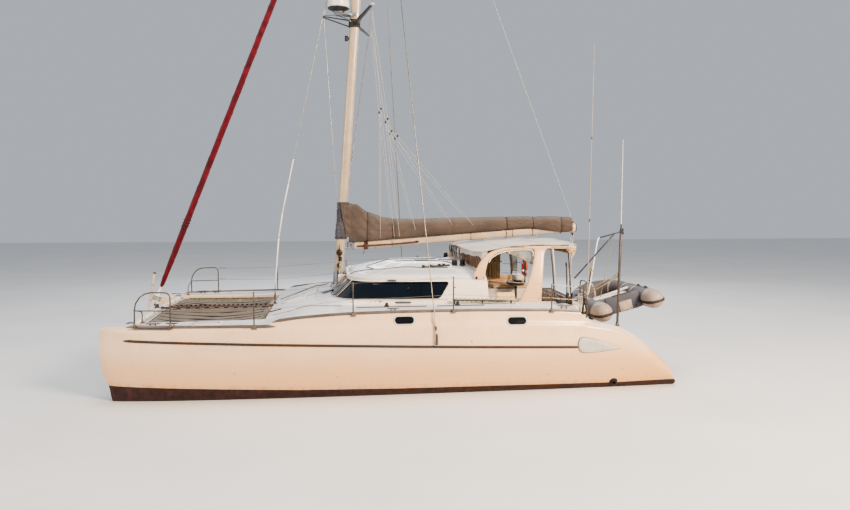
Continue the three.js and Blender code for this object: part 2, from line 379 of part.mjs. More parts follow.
// ---------- cockpit: arch, canopy, seats, helm ----------
const sq = (x, y, z, w, h) => [[x, y - w / 2, z - h / 2], [x, y + w / 2, z - h / 2], [x, y + w / 2, z + h / 2], [x, y - w / 2, z + h / 2]];
let arch = null;
[1, -1].forEach((s) => {
  // top rail. Columns: x, y, z, width, height
  const TOP = [[-1545, 1762, 2425, 56, 110], [-1657, 1748, 2505, 60, 90], [-1850, 1730, 2588, 60, 70], [-2100, 1715, 2628, 60, 60], [-2571, 1708, 2650, 60, 60], [-3100, 1708, 2648, 60, 60], [-3400, 1710, 2640, 66, 66]];
  let piece = loft(TOP.map(([x, y, z, w, h]) => (s > 0 ? sq(x, y, z, w, h) : sq(x, -y, z, w, h).reverse())));
  // legs. Columns: z, front x, aft x, inner y, outer y
  const FRONT = [[2060, -1309, -1550, 1785, 1850], [2250, -1400, -1590, 1765, 1825], [2400, -1505, -1640, 1735, 1790], [2490, -1590, -1690, 1722, 1776]];
  const MAIN = [[1602, -2190, -2655, 1905, 1990], [1720, -2270, -2668, 1880, 1965], [1900, -2370, -2690, 1845, 1930], [2250, -2500, -2735, 1770, 1845], [2625, -2590, -2790, 1690, 1738]];
  [FRONT, MAIN].forEach((rows) => { piece = piece.add(loft(rows.map(([z, xf, xa, yi, yo]) => [[xf, yi], [xa, yi], [xa, yo], [xf, yo]].map(([x, y]) => [x, s * y, z])))); });
  arch = arch ? arch.add(piece) : piece;
});
[[-1850, 2588], [-2690, 2640], [-3375, 2640]].forEach(([x, z]) => { arch = arch.add(box(x - 25, x + 25, -1700, 1700, z - 22, z + 22)); });
arch = clearOf(arch, [house(0, 0)], 0, 0, GAP);
add("cockpit_arch", arch.decompose().sort((p, q) => q.volume() - p.volume())[0], "gelcoat");
// Canopy. Columns: x, z at the sides, z at the middle
const CANOPY = [[-1280, 2452, 2602], [-1500, 2552, 2640], [-1700, 2600, 2664], [-1850, 2630, 2676], [-2100, 2664, 2704], [-2571, 2688, 2738], [-3430, 2682, 2745]];
add("canopy", sheet(8, 8, (u, v) => {
  const x = lerp(-1280, -3430, u), y = lerp(-1765, 1765, v), crown = 1 - Math.pow(Math.abs(2 * v - 1), 2.4);
  const side = table(CANOPY.map(([a, b]) => [a, b]), x), mid = table(CANOPY.map(([a, , c]) => [a, c]), x);
  return [x, y, lerp(side, mid, crown) + 22];
}, 22), "bimini");
const cushion = (x0, x1, y0, y1, z0, h) => {
  const s = new THREE.Shape(), r = 40, w = x1 - x0, d = y1 - y0;
  s.moveTo(r, 0).lineTo(w - r, 0).lineTo(w, r).lineTo(w, d - r).lineTo(w - r, d).lineTo(r, d).lineTo(0, d - r).lineTo(0, r).closePath();
  return solid(new THREE.ExtrudeGeometry(s, { depth: h, bevelEnabled: false }).translate(x0, y0, z0));
};
add("seat_cushion_port", cushion(-3380, -1760, 1275, 1870, SEAT_Z + GAP, 90), "cushion");
add("seat_cushion_starboard", cushion(-3380, -2420, -1870, -1275, SEAT_Z + GAP, 90), "cushion");
add("helm_console", box(-1960, BULKHEAD_X - 60, -1240, -800, COCKPIT_FLOOR + GAP, 1880).add(rod(V(-1940, WHEEL.y, WHEEL.z), V(-2040, WHEEL.y, WHEEL.z), 36, 12)), "gelcoat");
let wheel = solid(new THREE.TorusGeometry(WHEEL.r, 16, 6, 24).rotateY(Math.PI / 2)).add(solid(new THREE.CylinderGeometry(34, 34, 50, 12).rotateZ(Math.PI / 2)));
for (let k = 0; k < 5; k++) wheel = wheel.add(rod(V(0, 0, 0), V(0, WHEEL.r * Math.sin((k * 2 * Math.PI) / 5), WHEEL.r * Math.cos((k * 2 * Math.PI) / 5)), 8, 6));
add("steering_wheel", solid(geometry(wheel).translate(WHEEL.x, WHEEL.y, WHEEL.z)), "steel");

// ---------- winches and lids ----------
sides.forEach(([side, s]) => add("roof_winch_" + side, rod(V(-1250, s * 1080, 2262), V(-1250, s * 1080, 2300), 62, 14, 50).add(rod(V(-1250, s * 1080, 2299), V(-1250, s * 1080, 2390), 44, 14, 52)), "black"));
const lid = (x0, x1, y0, y1, z) => box(x0, x1, y0, y1, z, z + 22);
sides.forEach(([side, s]) => {
  add("bow_locker_lid_" + side, onSide(lid(3350, 3850, 2130, 2600, 1356.5), s), "gelcoat");
  add("engine_hatch_" + side, onSide(lid(-3970, -3625, 1915, 2380, 1020 + GAP), s), "gelcoat");
});
add("saloon_hatch", lid(-900, -400, -260, 260, 2305 + GAP), "glass");
const slope = Math.atan2(SIDE_DECK_Z - GAP - 1375, NACELLE_FRONT - 1760);
add("anchor_locker_lid", solid(new THREE.BoxGeometry(460, 620, 22).translate(0, 0, 11 + GAP).rotateY(slope).translate(2170, 0, lerp(1375, SIDE_DECK_Z - GAP, (NACELLE_FRONT - 2170) / (NACELLE_FRONT - 1760)))), "gelcoat");

// ---------- stern gear: tender and its arms, antenna, pole, lifebuoy ----------
const TILT = 0.2426, TENDER_AT = { x: -4105, z: 1285 };
// tender frame: s runs aft from the forward tube, y across the boat, n is the tender's up
const tenderAt = (s, y, n) => V(TENDER_AT.x - s * Math.cos(TILT) + n * Math.sin(TILT), y, TENDER_AT.z + s * Math.sin(TILT) + n * Math.cos(TILT));
const TUBE = [[0, 1300], [0, 700], [0, 400], [0, 80], [100, -260], [310, -520], [560, -600], [810, -520], [1020, -260], [1120, 80], [1120, 400], [1120, 700], [1120, 1300]];
let tubes = bent(TUBE.map(([s, y]) => tenderAt(s, y, y < 100 ? (100 - y) * 0.12 : 0)), TENDER_R, 26, 12);
[0, 1120].forEach((s) => { tubes = tubes.add(rod(tenderAt(s, 1298, 0), tenderAt(s, 1600, 0), TENDER_R * 1.01, 12, 130)).add(rod(tenderAt(s, 1599, 0), tenderAt(s, 1680, 0), 130, 12, 60)); });
add("tender_tubes", tubes, "tender");
const slab = (s0, s1, y0, y1, n0, n1) => {
  const c = [[s0, n0], [s1, n0], [s1, n1], [s0, n1]];
  return loft([y0, y1].map((y) => c.map(([s, n]) => tenderAt(s, y, n).toArray())));
};
let tenderHull = slab(100, 1020, -300, 1240, -150, -110).add(slab(180, 940, 1180, 1225, -150, 230));
tenderHull = tenderHull.subtract(solid(geometry(bent(TUBE.map(([s, y]) => tenderAt(s, y, y < 100 ? (100 - y) * 0.12 : 0)), TENDER_R + 1.5, 26, 12))));
add("tender_floor", tenderHull.decompose().sort((p, q) => q.volume() - p.volume())[0], "tender");
// two arms out of the bridge deck's aft face carry the tender from below
sides.forEach(([side, k]) => {
  const y = k > 0 ? 780 : 120, at = (s, n) => tenderAt(s, y, n), low = -TENDER_R - 34;
  const from = at(-560, low), to = at(1010, low), root0 = from.clone().lerp(to, (NACELLE_AFT - GAP - from.x) / (to.x - from.x));
  let arm = rod(root0, to, 26, 8).add(box(NACELLE_AFT - 14, NACELLE_AFT - GAP, y - 70, y + 70, root0.z - 70, root0.z + 70));
  arm = arm.add(bar([V(NACELLE_AFT - GAP, y, root0.z + 40), at(-120, low + 20)], 14, 6)).add(box(to.x - 20, to.x + 20, y - 40, y + 40, to.z - 30, to.z + 30));
  arm = arm.subtract(box(NACELLE_AFT - GAP, -2500, y - 300, y + 300, 600, 1500));
  add("tender_arm_" + side, clearOf(arm, [tubes, tenderHull], 0, 0, -3), "steel");
});
add("whip_antenna", clearOf(rod(V(-3288, 2742, 1380), V(-3288, 2764, 1700), 15, 8).add(rod(V(-3288, 2764, 1699), V(-3350, 2768, 6390), 8, 6)), [hull], 0, 0, GAP).decompose().sort((p, q) => q.volume() - p.volume())[0], "white");
add("stern_pole", rod(V(-3985, 2500, 1190), V(-4028, 2500, 3000), 24, 10).add(rod(V(-4028, 2500, 2999), V(-4040, 2500, 4700), 9, 6)).add(rod(V(-3985, 2500, 1186), V(-3985, 2500, 1204), 52, 12)).add(rod(V(-3910, 2500, 2952), V(-3100, 2600, 2120), 15, 8)).add(rod(V(-4026, 2500, 2980), V(-3580, 2500, 2858), 14, 8)).add(rod(V(-3580, 2500, 2862), V(-3380, 2560, 1800), 14, 8)).add(rod(V(-3380, 2556, 1880), V(-3998, 2500, 2190), 12, 8)).add(rod(V(-3380, 2556, 1815), V(-3996, 2500, 2125), 12, 8)), "steel");
add("lifebuoy", bent([V(-3462, -2290, 1700), V(-3462, -2390, 1800), V(-3462, -2400, 1980), V(-3462, -2300, 2110), V(-3462, -2180, 2120), V(-3462, -2080, 1990), V(-3462, -2080, 1800), V(-3462, -2180, 1700)], 42, 18, 6), "orange");

export default root;
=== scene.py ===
# Cruising sailing catamaran: the looks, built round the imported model. Metres, +X to the bow, +Y to port, +Z up.
import math
import random

import bmesh
import bpy
import numpy as np
from mathutils import Matrix, Vector


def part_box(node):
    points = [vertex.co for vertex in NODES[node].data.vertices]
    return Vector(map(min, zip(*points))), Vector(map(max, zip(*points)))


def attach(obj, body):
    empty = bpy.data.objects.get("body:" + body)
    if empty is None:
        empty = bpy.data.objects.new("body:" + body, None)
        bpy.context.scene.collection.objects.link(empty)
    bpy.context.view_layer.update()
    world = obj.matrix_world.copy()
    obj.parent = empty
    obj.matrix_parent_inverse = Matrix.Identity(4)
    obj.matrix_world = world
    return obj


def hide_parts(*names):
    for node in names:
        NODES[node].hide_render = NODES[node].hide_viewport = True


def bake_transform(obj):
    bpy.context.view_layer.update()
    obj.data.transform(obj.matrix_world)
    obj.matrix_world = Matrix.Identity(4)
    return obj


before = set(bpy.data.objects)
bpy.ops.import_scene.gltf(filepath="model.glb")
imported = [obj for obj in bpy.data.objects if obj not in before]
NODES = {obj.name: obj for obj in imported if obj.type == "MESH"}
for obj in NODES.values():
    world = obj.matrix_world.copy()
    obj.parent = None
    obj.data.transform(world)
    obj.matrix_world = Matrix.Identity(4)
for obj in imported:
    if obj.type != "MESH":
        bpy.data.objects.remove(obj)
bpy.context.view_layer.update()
RNG = np.random.default_rng(7)
random.seed(7)
SCENE = bpy.context.scene

# ---------------------------------------------------------------- camera, floor, light
YAW, PITCH, F_PX = math.radians(7.4465), math.radians(3.7206), 720.58
EYE = Vector((1.4044, 15.5099, 3.4187))
flat = Vector((-math.sin(YAW), -math.cos(YAW), 0))
look = (flat * math.cos(PITCH) - Vector((0, 0, 1)) * math.sin(PITCH)).normalized()
right = look.cross(Vector((0, 0, 1))).normalized()
upv = right.cross(look)
cam = bpy.data.cameras.new("camera")
cam.sensor_width, cam.lens, cam.clip_end = 36, F_PX / 850 * 36, 400
camera = bpy.data.objects.new("camera", cam)
camera.matrix_world = Matrix((right, upv, -look)).transposed().to_4x4()
camera.location = EYE
SCENE.collection.objects.link(camera)
SCENE.camera = camera


def area(name, at, to, size, power, colour, shape="RECTANGLE", size_y=None):
    d = bpy.data.lights.new(name, "AREA")
    d.shape, d.size, d.energy, d.color = shape, size, power, colour
    if size_y:
        d.size_y = size_y
    o = bpy.data.objects.new(name, d)
    o.location = at
    o.rotation_euler = (Vector(to) - Vector(at)).to_track_quat("-Z", "Y").to_euler()
    SCENE.collection.objects.link(o)
    return o


area("key", (-13, 17, 12), (-1, 1, 1.5), 7, 7600, (1.0, 0.80, 0.60), size_y=5)
area("bow_fill", (17, 13, 8), (2, 0, 1.5), 8, 1500, (1.0, 0.88, 0.76), size_y=7)
area("overhead", (0, 0, 24), (0, 0, 0), 14, 2600, (0.90, 0.94, 1.0), size_y=14)
area("back_fill", (-4, -18, 9), (0, 0, 3), 12, 1100, (0.9, 0.94, 1.0), size_y=8)
world = bpy.data.worlds.new("world")
world.use_nodes = True
world.node_tree.nodes["Background"].inputs[0].default_value = (0.78, 0.83, 0.9, 1)
world.node_tree.nodes["Background"].inputs[1].default_value = 0.50
SCENE.world = world
SCENE.view_settings.look = "AgX - Medium High Contrast"
SCENE.view_settings.exposure = 0.10

# ---------------------------------------------------------------- curves and tables
def pchip(xs, ys):
    """A smooth curve through the points that never overshoots."""
    order = np.argsort(xs)
    xs, ys = np.asarray(xs, float)[order], np.asarray(ys, float)[order]
    h, d = np.diff(xs), np.diff(ys) / np.diff(xs)
    m = np.zeros(len(xs))
    for i in range(1, len(xs) - 1):
        if d[i - 1] * d[i] > 0:
            w1, w2 = 2 * h[i] + h[i - 1], h[i] + 2 * h[i - 1]
            m[i] = (w1 + w2) / (w1 / d[i - 1] + w2 / d[i])
    m[0], m[-1] = d[0], d[-1]

    def f(x):
        x = np.clip(np.asarray(x, float), xs[0], xs[-1])
        i = np.clip(np.searchsorted(xs, x) - 1, 0, len(xs) - 2)
        t = (x - xs[i]) / h[i]
        return ((1 + 2 * t) * (1 - t) ** 2 * ys[i] + t * (1 - t) ** 2 * h[i] * m[i]
                + t * t * (3 - 2 * t) * ys[i + 1] + t * t * (t - 1) * h[i] * m[i + 1])

    return f


def lerp(a, b, t):
    return a + (b - a) * t


def smooth01(t):
    t = np.clip(t, 0, 1)
    return t * t * (3 - 2 * t)


def spline(points, per=8, closed=False):
    """Points on a centripetal curve through the given points."""
    p = [np.asarray(q, float) for q in points]
    n = len(p)
    out = []
    for i in range(n if closed else n - 1):
        a, b, c, d = (p[(i + k) % n] for k in (-1, 0, 1, 2)) if closed else (p[max(i - 1, 0)], p[i], p[i + 1], p[min(i + 2, n - 1)])
        if not closed and i == 0:
            a = 2 * b - c
        if not closed and i == n - 2:
            d = 2 * c - b
        t0, t1 = 0.0, max(np.linalg.norm(b - a), 1e-9) ** 0.5
        t2 = t1 + max(np.linalg.norm(c - b), 1e-9) ** 0.5
        t3 = t2 + max(np.linalg.norm(d - c), 1e-9) ** 0.5
        for k in range(per):
            t = t1 + (t2 - t1) * k / per
            a1 = a * (t1 - t) / (t1 - t0) + b * (t - t0) / (t1 - t0)
            a2 = b * (t2 - t) / (t2 - t1) + c * (t - t1) / (t2 - t1)
            a3 = c * (t3 - t) / (t3 - t2) + d * (t - t2) / (t3 - t2)
            b1 = a1 * (t2 - t) / (t2 - t0) + a2 * (t - t0) / (t2 - t0)
            b2 = a2 * (t3 - t) / (t3 - t1) + a3 * (t - t1) / (t3 - t1)
            out.append(b1 * (t2 - t) / (t2 - t1) + b2 * (t - t1) / (t2 - t1))
    if not closed:
        out.append(p[-1])
    return np.array(out)


def fillet(points, radius, per=5):
    """Straight runs joined by round bends."""
    p = [np.asarray(q, float) for q in points]
    out = [p[0]]
    for i in range(1, len(p) - 1):
        u, v = p[i - 1] - p[i], p[i + 1] - p[i]
        lu, lv = np.linalg.norm(u), np.linalg.norm(v)
        u, v = u / lu, v / lv
        ang = math.acos(max(-1, min(1, float(u @ v))))
        if ang > math.pi - 0.03:
            out.append(p[i])
            continue
        cut = min(radius / math.tan(ang / 2), 0.48 * lu, 0.48 * lv)
        a, b = p[i] + u * cut, p[i] + v * cut
        for k in range(per + 1):
            t = k / per
            out.append((1 - t) ** 2 * a + 2 * t * (1 - t) * p[i] + t * t * b)
    out.append(p[-1])
    return np.array(out)


def chaikin(ring, times):
    for _ in range(times):
        nxt = np.roll(ring, -1, axis=0)
        q, r = 0.75 * ring + 0.25 * nxt, 0.25 * ring + 0.75 * nxt
        ring = np.stack([q, r], axis=1).reshape(-1, ring.shape[1])
    return ring


def resample(points, n):
    p = np.asarray(points, float)
    s = np.concatenate([[0], np.cumsum(np.linalg.norm(np.diff(p, axis=0), axis=1))])
    t = np.linspace(0, s[-1], n)
    return np.stack([np.interp(t, s, p[:, k]) for k in range(p.shape[1])], axis=1)


# ---------------------------------------------------------------- mesh building
def frames(path, closed=False):
    """Tangent and two cross directions at each point, without twist."""
    p = np.asarray(path, float)
    t = np.roll(p, -1, 0) - np.roll(p, 1, 0)
    if not closed:
        t[0], t[-1] = p[1] - p[0], p[-1] - p[-2]
    t /= np.maximum(np.linalg.norm(t, axis=1, keepdims=True), 1e-12)
    ref = np.array([0, 0, 1.0]) if abs(t[0][2]) < 0.9 else np.array([1.0, 0, 0])
    a = np.cross(t[0], ref)
    a /= np.linalg.norm(a)
    side = [a]
    for i in range(1, len(p)):
        v = side[-1] - t[i] * (side[-1] @ t[i])
        side.append(v / max(np.linalg.norm(v), 1e-12))
    side = np.array(side)
    if closed:
        v = side[-1] - t[0] * (side[-1] @ t[0])
        v /= np.linalg.norm(v)
        ang = math.atan2(float(np.cross(v, side[0]) @ t[0]), float(v @ side[0]))
        for i in range(len(p)):
            th = ang * i / len(p)
            side[i] = side[i] * math.cos(th) + np.cross(t[i], side[i]) * math.sin(th)
    return t, side, np.cross(t, side)


class Build:
    """Collects solids into one mesh with several materials."""

    def __init__(self):
        self.v, self.f, self.m, self.n = [], [], [], 0

    def add(self, verts, faces, mat=0):
        verts = np.asarray(verts, float).reshape(-1, 3)
        self.v.append(verts)
        self.f += [tuple(int(i) + self.n for i in f) for f in faces]
        self.m += [mat] * len(faces)
        self.n += len(verts)
        return self

    def grid(self, p, mat=0, close_u=False, close_v=False, cap0=False, cap1=False, flip=False):
        """p[i, j] is a grid of points; v runs round a ring when close_v."""
        p = np.asarray(p, float)
        nu, nv = p.shape[:2]
        idx = np.arange(nu * nv).reshape(nu, nv)
        faces = []
        for i in range(nu if close_u else nu - 1):
            for j in range(nv if close_v else nv - 1):
                a, b = idx[i, j], idx[(i + 1) % nu, j]
                c, d = idx[(i + 1) % nu, (j + 1) % nv], idx[i, (j + 1) % nv]
                faces.append((a, d, c, b) if flip else (a, b, c, d))
        if cap0:
            faces.append(tuple(idx[0]) if not flip else tuple(idx[0][::-1]))
        if cap1:
            faces.append(tuple(idx[-1][::-1]) if not flip else tuple(idx[-1]))
        return self.add(p.reshape(-1, 3), faces, mat)

    def tube(self, path, r, mat=0, sides=12, closed=False, squash=1.0, ends=True):
        p = np.asarray(path, float)
        r = np.broadcast_to(np.asarray(r, float), (len(p),))
        t, a, b = frames(p, closed)
        if ends and not closed:  # softly rounded ends
            e = min(r[0], 0.35 * np.linalg.norm(p[1] - p[0])) * 0.5
            f = min(r[-1], 0.35 * np.linalg.norm(p[-1] - p[-2])) * 0.5
            p = np.vstack([p[0], p[0] + t[0] * e, p[1:-1], p[-1] - t[-1] * f, p[-1]])
            a = np.vstack([a[0], a[0], a[1:-1], a[-1], a[-1]])
            b = np.vstack([b[0], b[0], b[1:-1], b[-1], b[-1]])
            r = np.concatenate([[r[0] * 0.72, r[0]], r[1:-1], [r[-1], r[-1] * 0.72]])
        ang = np.linspace(0, 2 * math.pi, sides, endpoint=False)
        ring = p[:, None] + r[:, None, None] * (np.cos(ang)[None, :, None] * a[:, None] + squash * np.sin(ang)[None, :, None] * b[:, None])
        return self.grid(ring, mat, close_u=closed, close_v=True, cap0=not closed, cap1=not closed, flip=False)

    def rod(self, a, b, r, mat=0, sides=12, r2=None):
        return self.tube([a, b], [r, r if r2 is None else r2], mat, sides)

    def sweep(self, path, profile, mat=0, closed=False, up=(0, 0, 1), scale=None):
        """profile is a closed loop of (side, up) points carried along path, kept upright."""
        p = np.asarray(path, float)
        t, _, _ = frames(p, closed)
        u = np.broadcast_to(np.asarray(up, float), p.shape)
        s = np.cross(t, u)
        s /= np.maximum(np.linalg.norm(s, axis=1, keepdims=True), 1e-12)
        u = np.cross(s, t)
        q = np.asarray(profile, float)
        k = np.ones(len(p)) if scale is None else np.asarray(scale, float)
        ring = p[:, None] + k[:, None, None] * (q[None, :, 0, None] * s[:, None] + q[None, :, 1, None] * u[:, None])
        return self.grid(ring, mat, close_u=closed, close_v=True, cap0=not closed, cap1=not closed, flip=True)

    def box(self, centre, size, mat=0, r=0.004, segs=2, rot=None):
        bm = bmesh.new()
        bmesh.ops.create_cube(bm, size=1)
        bmesh.ops.scale(bm, vec=Vector(size), verts=bm.verts)
        r = min(r, min(size) * 0.45)
        if r > 0:
            bmesh.ops.bevel(bm, geom=list(bm.edges), offset=r, segments=segs, profile=0.5, affect="EDGES")
        m = (rot.to_4x4() if rot is not None else Matrix.Identity(4))
        m = Matrix.Translation(Vector(centre)) @ m
        bmesh.ops.transform(bm, matrix=m, verts=bm.verts)
        bm.verts.index_update()
        self.add([v.co[:] for v in bm.verts], [[v.index for v in f.verts] for f in bm.faces], mat)
        bm.free()
        return self

    def lathe(self, at, axis, profile, mat=0, sides=24):
        """profile rows: distance along the axis, radius."""
        z = np.asarray(axis, float) / np.linalg.norm(axis)
        x = np.cross(z, [0, 0, 1.0] if abs(z[2]) < 0.9 else [1.0, 0, 0])
        x /= np.linalg.norm(x)
        y = np.cross(z, x)
        ang = np.linspace(0, 2 * math.pi, sides, endpoint=False)
        d = np.cos(ang)[:, None] * x + np.sin(ang)[:, None] * y
        ring = np.array([np.asarray(at, float) + z * h + d * max(r, 1e-4) for h, r in profile])
        return self.grid(ring, mat, close_v=True, cap0=True, cap1=True, flip=True)

    def ball(self, at, r, mat=0, sides=16, squash=(1, 1, 1)):
        prof = [(math.cos(k * math.pi / 10), max(math.sin(k * math.pi / 10), 0.02)) for k in range(11)][::-1]
        b = Build().lathe((0, 0, 0), (0, 0, 1), prof, mat, sides)
        v = np.vstack(b.v) * r * np.asarray(squash) + np.asarray(at)
        return self.add(v, b.f, mat)

    def torus(self, at, axis, big, small, mat=0, sides=40, tube_sides=10):
        z = np.asarray(axis, float) / np.linalg.norm(axis)
        x = np.cross(z, [0, 0, 1.0] if abs(z[2]) < 0.9 else [1.0, 0, 0])
        x /= np.linalg.norm(x)
        y = np.cross(z, x)
        ang = np.linspace(0, 2 * math.pi, sides, endpoint=False)
        return self.tube(np.asarray(at, float) + big * (np.cos(ang)[:, None] * x + np.sin(ang)[:, None] * y), small, mat, tube_sides, closed=True)

    def helix_rope(self, path, r, mat=0, strands=3, pitch=7.0, sides=5, step=None):
        """A laid rope: strands wound round the path."""
        p = np.asarray(path, float)
        length = float(np.sum(np.linalg.norm(np.diff(p, axis=0), axis=1)))
        n = max(4, int(length / (step or r * 1.6)))
        q = resample(p, n)
        t, a, b = frames(q)
        s = np.linspace(0, length, n)
        for k in range(strands):
            th = 2 * math.pi * (s / (pitch * r) + k / strands)
            c = q + 0.48 * r * (np.cos(th)[:, None] * a + np.sin(th)[:, None] * b)
            self.tube(c, 0.56 * r, mat, sides, ends=False)
        return self

    def mirror(self):
        """The same solids on the other side of the centre plane as well."""
        v = np.vstack(self.v)
        f, m, n = list(self.f), list(self.m), self.n
        self.v, self.n = [v, v * np.array([1, -1, 1])], 2 * n
        self.f = f + [tuple(i + n for i in face[::-1]) for face in f]
        self.m = m + m
        return self

    def make(self, name, mats, body="root", replaces=(), slot=None, sharp=38, smooth=True):
        me = bpy.data.meshes.new(name)
        me.from_pydata(np.vstack(self.v).tolist(), [], self.f)
        me.polygons.foreach_set("material_index", self.m)
        for m in mats if isinstance(mats, (list, tuple)) else [mats]:
            me.materials.append(m)
        return finish_mesh(name, me, body, replaces, sharp, smooth)


def finish_mesh(name, me, body="root", replaces=(), sharp=38, smooth=True):
    me.validate()
    bm = bmesh.new()
    bm.from_mesh(me)
    bmesh.ops.recalc_face_normals(bm, faces=bm.faces)
    bm.to_mesh(me)
    bm.free()
    me.polygons.foreach_set("use_smooth", [smooth] * len(me.polygons))
    if smooth:
        me.set_sharp_from_angle(angle=math.radians(sharp))
    me.update()
    o = bpy.data.objects.new(name, me)
    SCENE.collection.objects.link(o)
    if body:
        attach(o, body)
    if replaces:
        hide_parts(*([replaces] if isinstance(replaces, str) else replaces))
    return o


def apply_modifiers(o):
    dep = bpy.context.evaluated_depsgraph_get()
    me = bpy.data.meshes.new_from_object(o.evaluated_get(dep), depsgraph=dep)
    old = o.data
    o.modifiers.clear()
    o.data = me
    bpy.data.meshes.remove(old)
    return o


def refined(node, name, mat, body="root", bevel=0.01, segs=3, angle=30, subdivide=0):
    """A copy of a CAD solid with its flat facets merged and its edges rounded off."""
    me = NODES[node].data.copy()
    me.materials.clear()
    me.materials.append(mat)
    bm = bmesh.new()
    bm.from_mesh(me)
    bmesh.ops.remove_doubles(bm, verts=bm.verts, dist=1e-5)
    bmesh.ops.dissolve_limit(bm, angle_limit=math.radians(0.6), verts=bm.verts, edges=bm.edges)
    bm.to_mesh(me)
    bm.free()
    o = bpy.data.objects.new(name, me)
    SCENE.collection.objects.link(o)
    b = o.modifiers.new("edges", "BEVEL")
    b.width, b.segments, b.limit_method, b.angle_limit = bevel, segs, "ANGLE", math.radians(angle)
    b.use_clamp_overlap = True
    bpy.context.view_layer.update()
    apply_modifiers(o)
    me = o.data
    me.polygons.foreach_set("use_smooth", [True] * len(me.polygons))
    me.set_sharp_from_angle(angle=math.radians(50))
    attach(o, body)
    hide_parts(node)
    return o


def weld(o, dist=1e-5):
    bm = bmesh.new()
    bm.from_mesh(o.data)
    bmesh.ops.remove_doubles(bm, verts=bm.verts, dist=dist)
    bmesh.ops.recalc_face_normals(bm, faces=bm.faces)
    bm.to_mesh(o.data)
    bm.free()
    return o


# ---------------------------------------------------------------- materials
def srgb(r, g, b):
    return tuple(((c / 255) / 12.92 if c / 255 <= 0.04045 else ((c / 255 + 0.055) / 1.055) ** 2.4) for c in (r, g, b)) + (1.0,)


class Mat:
    """A small wrapper for a node material in object space."""

    def __init__(self, name, **sockets):
        self.m = bpy.data.materials.new(name)
        self.m.use_nodes = True
        self.t = self.m.node_tree
        self.b = self.t.nodes["Principled BSDF"]
        self.co = self.t.nodes.new("ShaderNodeTexCoord").outputs["Object"]
        for k, v in sockets.items():
            self.b.inputs[k.replace("_", " ")].default_value = v

    def put(self, node, idx, v):
        if isinstance(v, bpy.types.NodeSocket):
            self.t.links.new(v, node.inputs[idx])
        else:
            node.inputs[idx].default_value = v

    def mapped(self, scale=(1, 1, 1), rot=(0, 0, 0), src=None):
        n = self.t.nodes.new("ShaderNodeMapping")
        n.inputs["Scale"].default_value = scale
        n.inputs["Rotation"].default_value = rot
        self.t.links.new(src or self.co, n.inputs["Vector"])
        return n.outputs[0]

    def noise(self, scale, detail=4, rough=0.55, vec=None, distort=0.0, out="Fac"):
        n = self.t.nodes.new("ShaderNodeTexNoise")
        self.t.links.new(vec or self.co, n.inputs["Vector"])
        n.inputs["Scale"].default_value, n.inputs["Detail"].default_value = scale, detail
        n.inputs["Roughness"].default_value, n.inputs["Distortion"].default_value = rough, distort
        return n.outputs[out]

    def voronoi(self, scale, vec=None, feature="F1", out="Distance"):
        n = self.t.nodes.new("ShaderNodeTexVoronoi")
        n.feature = feature
        self.t.links.new(vec or self.co, n.inputs["Vector"])
        n.inputs["Scale"].default_value = scale
        return n.outputs[out]

    def wave(self, scale, vec=None, direction="X", distort=0.0, detail=2, profile="SIN"):
        n = self.t.nodes.new("ShaderNodeTexWave")
        n.bands_direction, n.wave_profile = direction, profile
        self.t.links.new(vec or self.co, n.inputs["Vector"])
        n.inputs["Scale"].default_value, n.inputs["Distortion"].default_value = scale, distort
        n.inputs["Detail"].default_value = detail
        return n.outputs["Fac"]

    def xyz(self, src=None):
        n = self.t.nodes.new("ShaderNodeSeparateXYZ")
        self.t.links.new(src or self.co, n.inputs[0])
        return n.outputs

    def normal(self):
        return self.xyz(self.t.nodes.new("ShaderNodeNewGeometry").outputs["Normal"])

    def ramp(self, fac, lo, hi, a=0.0, b=1.0):
        n = self.t.nodes.new("ShaderNodeMapRange")
        n.interpolation_type = "SMOOTHSTEP"
        self.put(n, "Value", fac)
        for k, v in (("From Min", lo), ("From Max", hi), ("To Min", a), ("To Max", b)):
            self.put(n, k, v)
        return n.outputs[0]

    def math(self, op, a, b=0.0, clamp=False):
        n = self.t.nodes.new("ShaderNodeMath")
        n.operation, n.use_clamp = op, clamp
        self.put(n, 0, a)
        self.put(n, 1, b)
        return n.outputs[0]

    def mix(self, fac, a, b, mode="MIX"):
        n = self.t.nodes.new("ShaderNodeMix")
        n.data_type, n.blend_type = "RGBA", mode
        self.put(n, 0, fac)
        self.put(n, 6, a)
        self.put(n, 7, b)
        return n.outputs[2]

    def bump(self, height, strength=0.3, dist=0.002, normal=None):
        n = self.t.nodes.new("ShaderNodeBump")
        self.put(n, "Strength", strength)
        n.inputs["Distance"].default_value = dist
        self.put(n, "Height", height)
        if normal:
            self.t.links.new(normal, n.inputs["Normal"])
        return n.outputs[0]

    def curve(self, x, points):
        """A value read from a table of (x, value)."""
        xs = [p[0] for p in points]
        lo, hi = min(xs), max(xs)
        n = self.t.nodes.new("ShaderNodeValToRGB")
        r = n.color_ramp
        pts = sorted(points)
        for i, (px, v) in enumerate(pts):
            e = r.elements[i] if i < 2 else r.elements.new((px - lo) / (hi - lo))
            e.position, e.color = (px - lo) / (hi - lo), (v, v, v, 1)
        self.put(n, 0, self.ramp_lin(x, lo, hi))
        return n.outputs[0]

    def ramp_lin(self, fac, lo, hi, a=0.0, b=1.0):
        n = self.t.nodes.new("ShaderNodeMapRange")
        self.put(n, "Value", fac)
        for k, v in (("From Min", lo), ("From Max", hi), ("To Min", a), ("To Max", b)):
            self.put(n, k, v)
        return n.outputs[0]

    def done(self, colour=None, rough=None, normal=None):
        if colour is not None:
            self.put(self.b, "Base Color", colour)
        if rough is not None:
            self.put(self.b, "Roughness", rough)
        if normal is not None:
            self.put(self.b, "Normal", normal)
        return self.m


CREAM, SIDE_CREAM_SUNLIT, DECK_WHITE = srgb(240, 229, 214), srgb(244, 210, 174), srgb(229, 226, 224)


